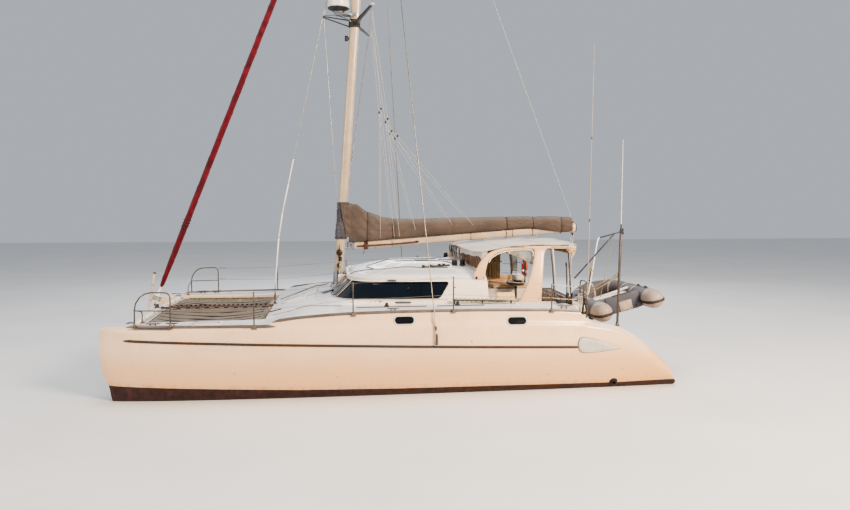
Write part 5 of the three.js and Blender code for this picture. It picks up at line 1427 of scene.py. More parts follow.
# ---------------------------------------------------------------- furling headsail: drum, extrusion, roll
drum = Build()
ax = np.array([-.4017, 0, 1])
ax /= np.linalg.norm(ax)
st = lambda z: (z - 1.440) / ax[2]
L = lambda rows: [(st(z), r) for z, r in rows]
drum.lathe(STAY(1.440), ax, L([(1.440, .012), (1.444, .026), (1.462, .028), (1.480, .030), (1.483, .050), (1.486, .088), (1.492, .092), (1.498, .088), (1.502, .060), (1.512, .052), (1.585, .052), (1.600, .060), (1.604, .088), (1.610, .092), (1.616, .088), (1.620, .042), (1.640, .030), (1.780, .023), (1.785, .010)]), 0, 40)
for k in range(7):  # line wound on the drum
    drum.torus(STAY(1.516 + .011 * k), ax, .060, .0062, 1, 32, 8)
for k in range(6):  # cage bars
    a = k / 6 * 2 * math.pi
    side_v, fwd = np.array([0, 1, 0]), np.cross(np.array([0, 1, 0]), ax)
    off = .086 * (math.cos(a) * side_v + math.sin(a) * fwd)
    drum.rod(STAY(1.494) + off, STAY(1.608) + off, .004, 2, 8)
drum.box(STAY(1.66) + np.array([-.0, 0, 0]), (.05, .046, .06), 0, .008)
drum.make("furler_gear", [M["smooth_white"], M["rope_white"], M["steel"]], "furler", slot="black_plastic", replaces="furler_drum")

roll = Build()
rad_z = pchip([1.781, 1.84, 2.1, 2.75, 5, 9.0, 11.6, 11.62, 11.96], [.020, .040, .050, .062, .062, .057, .034, .016, .014])
zz = np.concatenate([np.linspace(1.785, 2.2, 30)[:-1], np.linspace(2.2, 11.6, 400)[:-1], np.linspace(11.6, 11.95, 8)])
n = 26
ang = np.linspace(0, 2 * math.pi, n, endpoint=False)
side_v, fwd = np.array([0, 1.0, 0]), np.cross(np.array([0, 1.0, 0]), ax)
ringz = []
for z in zz:
    r = float(rad_z(z))
    th = ang - z * 2 * math.pi / .62  # the edge of the strip winds up the roll
    edge = np.mod(th, 2 * math.pi) / (2 * math.pi)
    lip = .0055 * np.exp(-((edge - .03) / .035) ** 2) - .003 * np.exp(-((edge - .93) / .05) ** 2)
    crease = .0016 * np.sin(5 * ang + 9 * z) + .0012 * np.sin(9 * ang - 5.3 * z + 1.3)
    rr = r + (lip + crease) * min(1, (z - 1.78) / .1) * (1 if z < 11.6 else .2)
    c = STAY(z)
    ringz.append(c + rr[:, None] * (np.cos(ang)[:, None] * side_v + np.sin(ang)[:, None] * fwd))
roll.grid(np.array(ringz), 0, close_v=True, cap0=True, cap1=True)
# two turns of sheet round the roll, knotted at the clew
hz = np.linspace(3.02, 3.20, 46)
hel = np.array([STAY(z) + (float(rad_z(z)) + .010) * (math.cos(w) * side_v + math.sin(w) * fwd) for z, w in zip(hz, np.linspace(0, 3 * 2 * math.pi, 46))])
roll.tube(hel, .007, 1, 8)
roll.ball(hel[0] + np.array([0, .008, 0]), .020, 1, 12)
roll.lathe(STAY(11.62), ax, [(0, .02), (.01, .028), (.10, .028), (.11, .018), (.22, .016)], 2, 20)
headsail = roll.make("furled_headsail", [M["genoa"], M["rope_dark"], M["alloy"]], "furler", slot="sail", replaces="furled_genoa", sharp=60)

# ---------------------------------------------------------------- boom and its cover
BOOM_TILT = (2.985 - 2.62) / (1.045 + 4.02)


def boom_ring(x, n=32, w=.060, h=.090):
    a = np.linspace(0, 2 * math.pi, n, endpoint=False)
    k = np.abs(np.cos(a)) ** .75 * np.sign(np.cos(a)), np.abs(np.sin(a)) ** .8 * np.sign(np.sin(a))
    return np.column_stack([np.full(n, x), w * k[0], boom_z(x) + h * k[1]])


bo = Build()
bo.grid(np.array([boom_ring(x) for x in np.linspace(.94, -3.985, 40)]), 0, close_v=True, cap0=True, cap1=True)
bo.grid(np.array([boom_ring(x, 32, .060 + g, .090 + g) for x, g in ((.965, -.012), (.965, .002), (.93, .005), (.90, .005), (.898, .0))]), 1, close_v=True, cap0=True)
bo.grid(np.array([boom_ring(x, 32, .060 + g, .090 + g) for x, g in ((-3.93, .0), (-3.932, .005), (-3.985, .006), (-3.994, .005))]), 0, close_v=True)
bo.grid(np.array([boom_ring(x, 32, .060 + g, .090 + g) for x, g in ((-3.992, .0065), (-4.004, .006), (-4.012, .0), (-4.018, -.012))]), 2, close_v=True, cap1=True)
bo.box((.985, 0, 2.624), (.12, .036, .066), 1, .008)
for s in (1, -1):
    bo.sweep(np.array([[x, s * .058, boom_z(x) + .012] for x in np.linspace(.86, -3.9, 6)]), [(-.004, -.007), (-.004, .007), (.004, .005), (.004, -.005)], 0)
# sheaves and outhaul at the end, eyes and slides under the boom
for y in (-.03, 0, .03):
    bo.lathe((-4.0, y - .008, boom_z(-4.0) + .03), (0, 1, 0), [(0, .030), (.004, .030), (.006, .024), (.010, .024), (.012, .030), (.016, .030)], 1, 20)
for x in (.45, -.62, -1.9, -3.1, -3.62):
    z = boom_z(x) - .092
    bo.box((x, 0, z - .003), (.085, .036, .012), 1, .004)
    bo.torus((x, 0, z - .016), (0, 1, 0), .014, .004, 1, 18, 8)
for x in (-.05, -1.28, -2.45, -3.3):
    bo.torus((x, .0, boom_z(x)), (1, 0, 0), .001, .0005, 1, 8, 4)
# red reefing line lying along the port side to its eye
rl = spline([(.86, .066, boom_z(.86) - .02), (.5, .073, boom_z(.5) - .026), (.05, .072, boom_z(.05) - .034), (-.40, .073, boom_z(-.40) - .026)], 14)
bo.tube(rl, .0105, 3, 8)
bo.tube([p - np.array([0, .002, .021]) for p in rl], .0085, 3, 8)
bo.ball((-.425, .072, boom_z(-.425) - .030), .026, 2, 12)
bo.box((-.45, .064, boom_z(-.45) - .03), (.06, .014, .036), 2, .004)
# a dark red lashing round the boom near its front, with its tail hanging
for k in range(4):
    bo.tube([(.690 - .022 * k + .004 * math.sin(3 * q), (.068 + .006 * (k % 2)) * math.cos(q), boom_z(.69) - .004 + (.100 + .004 * (k % 2)) * math.sin(q)) for q in np.linspace(0, 2 * math.pi, 40, endpoint=False)], .0095, 3, 8, closed=True)
for k in range(5):
    c_k = np.array([.665, .082, boom_z(.66) - .045])
    bo.tube([c_k + np.array([.034 * math.cos(q + k), .010 + .014 * math.sin(2 * q + k), .036 * math.sin(q + 1.3 * k)]) for q in np.linspace(0, 2 * math.pi, 20, endpoint=False)], .0085, 3, 7, closed=True)
bo.tube(spline([(.690, .080, boom_z(.69) - .06), (.700, .086, boom_z(.69) - .14), (.715, .080, 2.440)], 6), .0075, 3, 7)
for x in (-1.62, -2.55):
    bo.grid(np.array([boom_ring(xx, 32, .0615, .0915) for xx in (x, x - .014)]), 2, close_v=True)
bo.make("boom_tube", [M["boom_beige"], M["mast_grey"], M["dark_trim"], M["rope_red"]], "boom", slot="alloy", replaces="boom")

# the cover: one cloth skin hung over the stowed sail, pulled in by ties and laced under
COVER = [[1.020, 3.515, .175, 1], [.905, 3.492, .250, 1], [.744, 3.396, .300, .6], [.531, 3.308, .330, .3], [.245, 3.218, .345, 0], [-.187, 3.182, .345, 0], [-.908, 3.192, .325, 0], [-1.837, 3.214, .300, 0], [-2.963, 3.236, .262, 0], [-3.900, 3.216, .225, 0]]
c_top, c_w, c_rake = (pchip([r[0] for r in COVER], [r[k] for r in COVER]) for k in (1, 2, 3))
SEC = np.array([(.30, -.035), (.43, .01), (.5, .12), (.515, .27), (.5, .42), (.455, .58), (.39, .73), (.28, .87), (.15, .965), (0, 1.0)])
SEC = np.vstack([SEC, SEC[-2::-1] * [-1, 1]])
sec_s = spline([(a, b_, 0) for a, b_ in SEC], 4)[:, :2]
NS, NX = len(sec_s), 260
cover = np.zeros((NX, NS, 3))
xs = np.linspace(1.020, -3.905, NX)
ph = RNG.uniform(0, 6.28, 40)
ties = np.array([.64, .08, -2.43, -3.02, -3.66])
sarc = np.linspace(0, 1, NS)
for i, x in enumerate(xs):
    top, w, rk = float(c_top(x)), float(c_w(x)), float(c_rake(x))
    low = boom_z(x) + .092 - .150 * smooth01((-2.75 - x) / 1.05)
    front = .30 + .70 * smooth01((x + .4) / 1.1)
    h = top - low
    tie = np.exp(-((x - ties) / .06) ** 2).max()
    between = 1 - np.exp(-((x - ties) / .22) ** 2).max()
    a, q = sec_s[:, 0], sec_s[:, 1]
    # lumps of the flaked sail underneath, diagonal drags from the ties, and fine wrinkles
    lump = .016 * np.sin(2.1 * x + ph[0]) * np.sin(3.1 * q + ph[1]) + .009 * np.sin(5.3 * x + 2.6 * q + ph[2]) + .006 * front * np.sin(9.7 * x - 4.2 * q + ph[3])
    drag = front * sum(.0075 * np.exp(-((x - t) / .42) ** 2) * np.sin(30 * (q * .55 + (x - t) * (.8 if k % 2 else -.7)) + ph[4 + k]) for k, t in enumerate(ties))
    fine = .0016 * np.sin(46 * x + 10 * np.sin(3 * q + ph[20])) * np.sin(8 * q + ph[21]) + .0010 * np.sin(77 * x + 31 * q + ph[22])
    fold = -.016 * np.exp(-((q - (.30 + .05 * math.sin(1.7 * x + ph[23]))) / .035) ** 2) - .012 * np.exp(-((q - (.58 + .06 * math.sin(2.3 * x + ph[24]))) / .03) ** 2)
    fold = fold * .55 * front
    for k in range(6):  # creases that fan down and aft from the front tie
        ql = .66 - .075 * k - .62 * (.74 - x)
        fold = fold - .011 * np.exp(-((q - ql) / .020) ** 2) * float(smooth01((.78 - x) / .12) * smooth01((x - .06 - .03 * k) / .25))
    side = np.sign(a)
    body_w = w * (1 + .05 * between - .10 * tie)
    yy_0 = side * np.maximum(np.abs(a * body_w), np.where(q < .30, .0675, 0))
    yy = yy_0 + side * np.abs(a) * 2 * (lump + drag + fine + fold) * np.minimum(1, np.maximum(0, q + .03) * 6)
    zz_ = low + q * h + (lump * .5 + fine) * q * np.minimum(1, h / .2) * .7 - .012 * tie * q
    xx = x - RAKE * q * h * rk
    cover[i] = np.column_stack([np.full(NS, 0) + xx, yy, zz_])
# the boom tapers the skirt: the lower hem hugs the tube
hem_y = np.abs(cover[:, [0, -1], 1])
cb = Build()
thick = .0022
nrm = np.zeros_like(cover)
du, dv = np.gradient(cover, axis=0), np.gradient(cover, axis=1)
nrm = np.cross(du, dv)
nrm /= np.maximum(np.linalg.norm(nrm, axis=2, keepdims=True), 1e-9)
if nrm[NX // 2, NS // 2, 2] < 0:
    nrm = -nrm
inner_c = cover - nrm * thick
loop = np.concatenate([cover, inner_c[:, ::-1]], axis=1)
cb.grid(loop, 0, close_v=True, cap0=False, cap1=False)
# closing faces of the cloth at both ends
for k in (0, NX - 1):
    ring = loop[k]
    n2 = len(ring)
    cb.add(ring, [(i, i + 1, n2 - 2 - i, n2 - 1 - i) for i in range(NS - 1)], 0)
sail_cover_obj = weld(cb.make("cover_cloth", [M["cover"]], "boom", slot="canvas", replaces="sail_cover", sharp=70))

cd = Build()
hug = lambda i, j0, j1, lift: cover[i, j0:j1] + nrm[i, j0:j1] * lift
# seams across, the zip along the top and the ties
for x in (.62, .06, -1.20, -2.40, -3.66):
    i = int(np.argmin(np.abs(xs - x)))
    for off, rr in ((0, .0024), (2, .0015)):
        cd.tube(hug(min(i + off, NX - 2), 2, NS - 2, .0012), rr, 1, 6, ends=False)
zipl = np.array([cover[i, NS // 2] + nrm[i, NS // 2] * .002 for i in range(3, NX - 3)])
cd.sweep(zipl, [(-.016, -.001), (-.016, .002), (.016, .002), (.016, -.001)], 1)
cd.sweep(zipl, [(-.004, .001), (-.004, .0045), (.004, .0045), (.004, .001)], 2)
for t in ties:
    i = int(np.argmin(np.abs(xs - t)))
    p = np.vstack([hug(i, 1, NS - 1, .004)])
    lowp = np.array([[xs[i], -.066, boom_z(xs[i]) - .03], [xs[i], -.03, boom_z(xs[i]) - .096], [xs[i], .03, boom_z(xs[i]) - .096], [xs[i], .066, boom_z(xs[i]) - .03]])
    path = np.vstack([p, lowp if p[-1][1] < 0 else lowp[::-1]])
    cd.sweep(path, [(-.010, -.001), (-.010, .0014), (.010, .0014), (.010, -.001)], 3, closed=True, up=(1, 0, 0))
    q = hug(i, 6, 8, .010)[0]
# hem ropes
for j in (1, NS - 2):
    cd.tube(np.array([cover[i, j] + nrm[i, j] * .001 for i in range(2, NX - 2, 2)]), .0042, 1, 7)
cover_extra = cd.make("cover_fittings", [M["cover_seam"], M["cover_seam"], M["dark_trim"], M["webbing"]], "boom", slot="canvas")

# collar round the mast, laced down its front; its slate grey is painted shade, the cover's cloth darkened
co = Build()
n, m = 72, 50
g = []
for i in range(m):
    t = i / (m - 1)
    z = lerp(2.762, 3.546, t)
    a = np.linspace(0, 2 * math.pi, n, endpoint=False)
    wr = .004 * np.sin(7 * a + 11 * t) + .0035 * np.sin(4 * a - 23 * t) + .006 * np.sin(3 * a + 8 * t) * (1 - t) + .003 * np.sin(60 * t + 3 * np.sin(a))
    grow = .018 + wr + .006 * math.exp(-((t - .0) / .04) ** 2) + .004 * math.exp(-((t - 1) / .04) ** 2) - .006 * math.exp(-((t - .5) / .05) ** 2)
    g.append(np.column_stack([mast_x(z) + (.100 + grow) * np.cos(a), (.065 + grow) * np.sin(a), np.full(n, z)]))
g = np.array(g)
inn = np.array([np.column_stack([mast_x(r[0, 2]) + (r[:, 0] - mast_x(r[0, 2])) * .975, r[:, 1] * .965, r[:, 2]]) for r in g])
co.grid(np.concatenate([g, inn[::-1], g[:1]], axis=0), 0, close_v=True)
collar_o = weld(co.make("mast_collar_cloth", [M["collar_grey"], M["cover_seam"]], slot="canvas", replaces="sail_cover_collar", sharp=70))
co = Build()
for z in (2.80, 3.15, 3.51):
    a = np.linspace(0, 2 * math.pi, 60, endpoint=False)
    co.tube(np.column_stack([mast_x(z) + .126 * np.cos(a), .091 * np.sin(a), np.full(60, z)]), .005, 1, 8, closed=True)
for k in range(12):
    z = 2.80 + .062 * k
    co.tube(spline([(mast_x(z) + .118, -.03, z), (mast_x(z) + .134, 0, z + .012), (mast_x(z) + .118, .03, z + .024)], 5), .003, 1, 6)
collar_x = co.make("mast_collar_lacing", [M["collar_grey"], M["cover_seam"]], slot="canvas")

# ---------------------------------------------------------------- running rigging
# lazy jacks: they hang from the mast above the hinge and end in blocks on the port and starboard sides of the boom
lj = Build()
TOP_Z = 7.9
for s in (1, -1):
    y = s * .30
    blocks = [(.343, 5.49), (.204, 5.285), (.121, 5.03), (-.001, 4.93)]
    b1, b2, b3, b4 = (np.array([x, s * .30, z]) for x, z in blocks)
    top = np.array([mast_x(7.25) - .08, s * .09, 7.16])
    wire(lj, TIPS[s] + np.array([-.02, -s * .45, 0]), b1, .0035, 0)
    wire(lj, TIPS[s] + np.array([-.03, -s * .50, 0]), b2, .0035, 0)
    for a, q, yq in ((b1, .06, .18), (b1, .36, .18), (b2, -.42, .17), (b2, -.05, .17), (b3, -1.30, .15), (b4, -1.75, .15)):
        low = np.array([q, s * yq, boom_z(q) + .12])
        wire(lj, a, low, .003, 0)
    wire(lj, b2, b3, .0032, 0)
    wire(lj, b3, b4, .0032, 0)
    for p in (b1, b2, b3, b4):
        lj.box(p, (.030, .016, .052), 1, .007)
        lj.lathe(p - np.array([0, .010, 0]), (0, 1, 0), [(0, .017), (.004, .019), (.016, .019), (.020, .017)], 1, 14)
jacks = lj.make("lazy_jacks", [M["rope_white"], M["black"]], None, slot="canvas")
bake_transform(jacks)

tl = Build()
endp = np.array([-3.955, 0, boom_z(-3.955) + .112])
top_t = np.array([mast_x(13.9) - .17, 0, 13.9])
# topping lift: straight from the boom end to the masthead
wire(tl, endp, top_t, .0045, 0, 8)
tl.box(endp + np.array([0, 0, .03]), (.03, .018, .06), 1, .006)
lift = tl.make("topping_lift", [M["rope_white"], M["steel"]], None, slot="canvas")
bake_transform(lift)

# the cloth between the collar and the cover
gus = Build()
m, n = 40, 26
for s in (1, -1):
    g = []
    for i in range(m):
        t = i / (m - 1)
        z = lerp(2.800, 3.518, t)
        dx_ = lerp(-.098, .050, smooth01(t))
        a = np.array([mast_x(z) + dx_, s * (.101 * math.sqrt(1 - (dx_ / .134) ** 2) + .003), z])
        k = int(np.argmin(np.abs(xs - 1.0)))
        sec = cover[k]
        half = sec[:NS // 2 + 1] if s > 0 else sec[NS // 2:][::-1]
        o = np.argsort(half[:, 2])
        yb = float(np.interp(z, half[o, 2], np.abs(half[o, 1])))
        xb = 1.0 - RAKE * max(0, z - 2.75)
        row = []
        for j in range(n):
            u = j / (n - 1)
            y = lerp(abs(a[1]), max(yb, .012) + .004, smooth01(u)) + .008 * math.sin(math.pi * u) * math.sin(26 * t + 4 * u + s)
            row.append([lerp(a[0], xb, u), s * y, z])
        g.append(row)
    g = np.array(g)
    inn2 = g - np.array([0, s * .002, 0])
    gus.grid(np.concatenate([g, inn2[::-1]], axis=0), 0, close_u=True)
gusset = weld(gus.make("cover_throat", M["cover"], None, slot="canvas", sharp=70))
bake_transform(gusset)

# mainsheet: boom end to a car on the track along the cockpit's aft edge
ms = Build()
top_b, low_b = np.array([-3.93, 0, boom_z(-3.93) - .13]), np.array([-3.512, 1.00, 1.612])
ms.tube([(-3.93, 0, boom_z(-3.93) - .085), (-3.93, 0, boom_z(-3.93) - .115)], .006, 1, 8)
for c, r in ((top_b, .030), (low_b, .030)):
    for y in (-.011, .011):
        ms.lathe(c + np.array([0, y - .007, 0]), (0, 1, 0), [(0, r * .8), (.002, r), (.012, r), (.014, r * .8)], 2, 20)
    ms.box(c, (.034, .036, .085), 1, .008)
for k, (dx, dy) in enumerate(((.024, .011), (-.024, .011), (.022, -.011), (-.022, -.011))):
    ms.tube([lerp(top_b + [dx, dy, 0], low_b + [dx, dy, 0], t) for t in np.linspace(0, 1, 6)], .0070, 0, 8)
sheet_ = ms.make("mainsheet", [M["rope_white"], M["steel"], M["black"]], None, slot="canvas")
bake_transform(sheet_)
lowblock = Build()
lowblock.tube([low_b + np.array([0, 0, -.03]), (-3.512, 1.00, 1.545)], .009, 0, 10)
lowblock.box((-3.512, 1.00, 1.539), (.060, .110, .022), 1, .007, 2)
lowblock.box((-3.512, 0, 1.5135), (.034, 2.300, .025), 0, .004)
lowblock.box((-3.512, 0, 1.521), (.046, 2.300, .006), 0, .002)
for y in (-1.16, 1.16):
    lowblock.box((-3.512, y, 1.520), (.052, .030, .038), 1, .008, 2)
lowblock.make("mainsheet_track", [M["steel"], M["black"]], slot="steel")

# ---------------------------------------------------------------- forward beam, tack, spar, nets
BX, BZ = 4.992, 1.290
beam = Build()
ends = 2.12
ys = np.linspace(-ends, ends, 60)
n = 36
a = np.linspace(0, 2 * math.pi, n, endpoint=False)
beam.grid(np.array([np.column_stack([BX + .076 * np.cos(a), np.full(n, y), BZ + .060 * np.sin(a)]) for y in ys]), 0, close_v=True, cap0=True, cap1=True, flip=True)
for s in (1, -1):
    yi = 2.075
    beam.grid(np.array([np.column_stack([BX + (.076 + g) * np.cos(a), np.full(n, s * y), BZ + (.060 + g) * np.sin(a)]) for y, g in ((yi - .10, .001), (yi - .098, .008), (yi - .01, .010), (yi, .026), (yi + .012, .028))]), 1, close_v=True)
    for k in range(6):
        q = k / 6 * 2 * math.pi
        beam.ball((BX + .098 * math.cos(q), s * (yi - .002), BZ + .082 * math.sin(q)), .008, 2, 8)
# tack plates, pin and the pole beside them
for y in (-.022, .022):
    beam.box((BX + .018, y, BZ + .085), (.075, .006, .10), 2, .006)
beam.box((BX + .018, 0, BZ + .062), (.11, .075, .012), 2, .004)
beam.lathe((BX + .004, -.036, BZ + .110), (0, 1, 0), [(0, .011), (.004, .014), (.008, .008), (.064, .008), (.068, .014), (.072, .011)], 2, 16)
beam.tube([STAY(1.395), STAY(1.45)], .012, 2, 12)
pole = fillet([(BX + .050, .30, BZ + .030), (BX + .104, .30, BZ + .090), (4.974, .290, 2.101)], .05, 6)
beam.tube(pole, .026, 4, 18)
beam.lathe((4.974, .290, 2.085), (-.16, 0, 1), [(0, .027), (.004, .030), (.020, .030), (.028, .022), (.032, .004)], 3, 18)
beam.torus((BX + .03, .30, BZ + .022), (1, 0, 1), .034, .009, 2, 24, 8)
for z in (1.55, 1.86):
    t = (z - 1.38) / (2.101 - 1.38)
    beam.torus((lerp(5.096, 4.974, t), .297, z), (-.16, 0, 1), .0268, .0045, 2, 22, 8)
for y in (.62, -.62, 1.32, -1.32):
    beam.torus((BX - .066, y, BZ + .035), (0, 1, 0), .016, .0045, 2, 18, 8)
beam.make("forward_beam", [M["smooth_white"], M["mast_grey"], M["steel"], M["black"], M["boom_beige"]], slot="white_paint", replaces="forward_crossbeam")

spar = Build()
spar.tube([(BX - .066, 0, 1.338), (3.8, 0, 1.340), (2.64, 0, 1.342)], .028, 0, 20)
for x, g in ((4.90, .0), (2.66, .0)):
    spar.lathe((x - .03, 0, 1.339), (1, 0, 0), [(0, .029), (.004, .036), (.056, .036), (.060, .029)], 1, 22)
for x in np.arange(2.85, 4.85, .25):
    spar.box((x, 0, 1.311), (.03, .012, .010), 1, .003)
spar.box((2.640, 0, 1.342), (.024, .12, .10), 1, .006)
spar.make("net_spar", [M["spar_brown"], M["steel"]], slot="alloy", replaces="centre_spar")

net_pieces = {}
for s, side in ((1, "port"), (-1, "starboard")):
    nu, nv = 66, 58

    def net_at(u, v, scallop=True):
        x0, x1 = 2.700, 4.800
        yin, yout = (.118 if s > 0 else .300), lerp(1.835, 1.940, u)
        z = lerp(1.335, 1.287, v) - .115 * 16 * u * (1 - u) * v * (1 - v)
        sc = .022
        x = lerp(x0, x1, u)
        y = lerp(yin, yout, v)
        x += sc * math.sin(math.pi * 9 * v) ** 2 * ((1 - u) ** 14 - u ** 14)
        y += sc * math.sin(math.pi * 10 * u) ** 2 * ((1 - v) ** 14 - v ** 14)
        z += .006 * math.sin(9 * u + 2 * v) * math.sin(math.pi * u) * math.sin(math.pi * v) + .004 * math.sin(31 * v + 4 * u) * math.sin(math.pi * u) * math.sin(math.pi * v)
        return [x, s * y, z]

    top = np.array([[net_at(i / (nu - 1), j / (nv - 1)) for j in range(nv)] for i in range(nu)])
    low = top - np.array([0, 0, .0045])
    b = Build()
    b.grid(np.concatenate([top, low[:, ::-1]], axis=1), 0, close_v=True)
    for k in (0, -1):
        ring = np.concatenate([top[k], low[k, ::-1]])
        m_ = len(ring)
        b.add(ring, [(i, i + 1, m_ - 2 - i, m_ - 1 - i) for i in range(nv - 1)], 0)
    net_o = weld(b.make("net_" + side, [M["net"]], slot="net", replaces="trampoline_" + side, sharp=60))
    ed = Build()
    border = np.concatenate([top[:, 0], top[-1, 1:], top[-2::-1, -1], top[0, -2:0:-1]])
    ed.tube(border, .0085, 0, 6, closed=True, squash=.8)
    # lacing from the hem's eyelets out to the spar, beam, hull and nacelle
    def lace(edge, outer, mat=1, r=.0032):
        pts = []
        for k, (p, q) in enumerate(zip(edge, outer)):
            pts += [p + [0, 0, .009], q] if k % 2 == 0 else [q, p + [0, 0, .009]]
        for i in range(len(pts) - 1):
            ed.tube([pts[i], pts[i + 1]], r, mat, 5, ends=False)

    idx = np.linspace(2, nu - 3, 21).astype(int)
    lace(top[idx, 0], [np.array([p[0], s * .026, 1.322]) for p in top[idx, 0]])
    lace(top[idx, -1], [np.array([p[0], p[1] + s * .045, p[2] + .012]) for p in top[idx, -1]])
    jdx = np.linspace(2, nv - 3, 19).astype(int)
    lace(top[-1, jdx], [np.array([BX - .064, p[1], p[2] + .010]) for p in top[-1, jdx]])
    lace(top[0, jdx], [np.array([2.632, p[1], p[2] + .018]) for p in top[0, jdx]])
    # bolt ropes that the lacing runs to along the hull and the nacelle
    ed.tube(np.array([[p[0], p[1] + s * .046, p[2] + .012] for p in top[2:-2, -1]]), .006, 0, 8)
    ed.tube(np.array([[2.630, p[1], p[2] + .018] for p in top[0, 1:-1]]), .007, 2, 8)
    for q in idx[::2]:
        p = top[q, -1]
        ed.box((p[0], p[1] + s * .058, p[2] + .012), (.036, .020, .012), 2, .004)
    # heavy lacing in scallops along the spar, olive line in scallops along the hull
    for i in range(2, nu - 5, 3):
        p, q = top[i, 0], top[i + 3, 0]
        yo_ = .105 if s > 0 else .288
        ed.tube(spline([(p[0], s * (.034 if s > 0 else .120), 1.346), (lerp(p[0], q[0], .3), s * yo_, p[2] + .014), (lerp(p[0], q[0], .7), s * yo_, q[2] + .014), (q[0], s * (.034 if s > 0 else .120), 1.346)], 4), .0085 if s > 0 else .0120, 0, 7)
        a_, b_ = top[i, -1], top[i + 3, -1]
        ed.tube(spline([(a_[0], a_[1] + s * .046, a_[2] + .022), (lerp(a_[0], b_[0], .3), a_[1] - s * .022, a_[2] + .012), (lerp(a_[0], b_[0], .7), b_[1] - s * .022, b_[2] + .012), (b_[0], b_[1] + s * .046, b_[2] + .022)], 4), .0075, 3, 7)
    # dark webbing lines across the net, swelling in places into dark blobs: partly webbing, partly painted shade
    # standing in for shaded slack folds
    for k, (j, wob, rr) in enumerate(((9, .020, .0075), (19, .035, .0125), (31, .045, .0110), (43, .030, .0130), (55, .020, .0070))):
        line_ = []
        rads_ = []
        for i in range(2, nu - 2):
            u_ = i / (nu - 1)
            jj = min(max(j * (nv - 1) / 71 + wob * 48 * math.sin(3.2 * u_ + 1.7 * k) * math.sin(math.pi * u_), 1), nv - 2)
            j0 = int(jj)
            line_.append(lerp(top[i, j0], top[i, j0 + 1], jj - j0) + np.array([0, 0, .003]))
            rads_.append(rr * (1 + 1.6 * math.exp(-((u_ - .38 - (.13 * k) % .5) / .07) ** 2) + .35 * math.sin(21 * u_ + k)))
        ed.tube(line_, rads_, 0, 7, squash=.6)
    ed.make("net_edge_" + side, [M["webbing"], M["rope_white"], M["alloy"], M["rope_green"]], slot="net")
    net_pieces[side] = net_o

# ---------------------------------------------------------------- guard rails
FOOT_PROFILE = [(0, .040), (.006, .040), (.010, .034), (.014, .020), (.060, .0175), (.082, .0175), (.086, .0145)]


def foot(b, p, mat=1, screws=True):
    x, y, z = p
    b.box((x, y, z + .008), (.085, .060, .016), mat, .006)
    b.lathe((x, y, z + .012), (0, 0, 1), FOOT_PROFILE[2:], mat, 18)
    for sx in (-.030, .030):
        for sy in (-.018, .018):
            b.ball((x + sx, y + sy, z + .017), .005, mat, 8, (1, 1, .5))


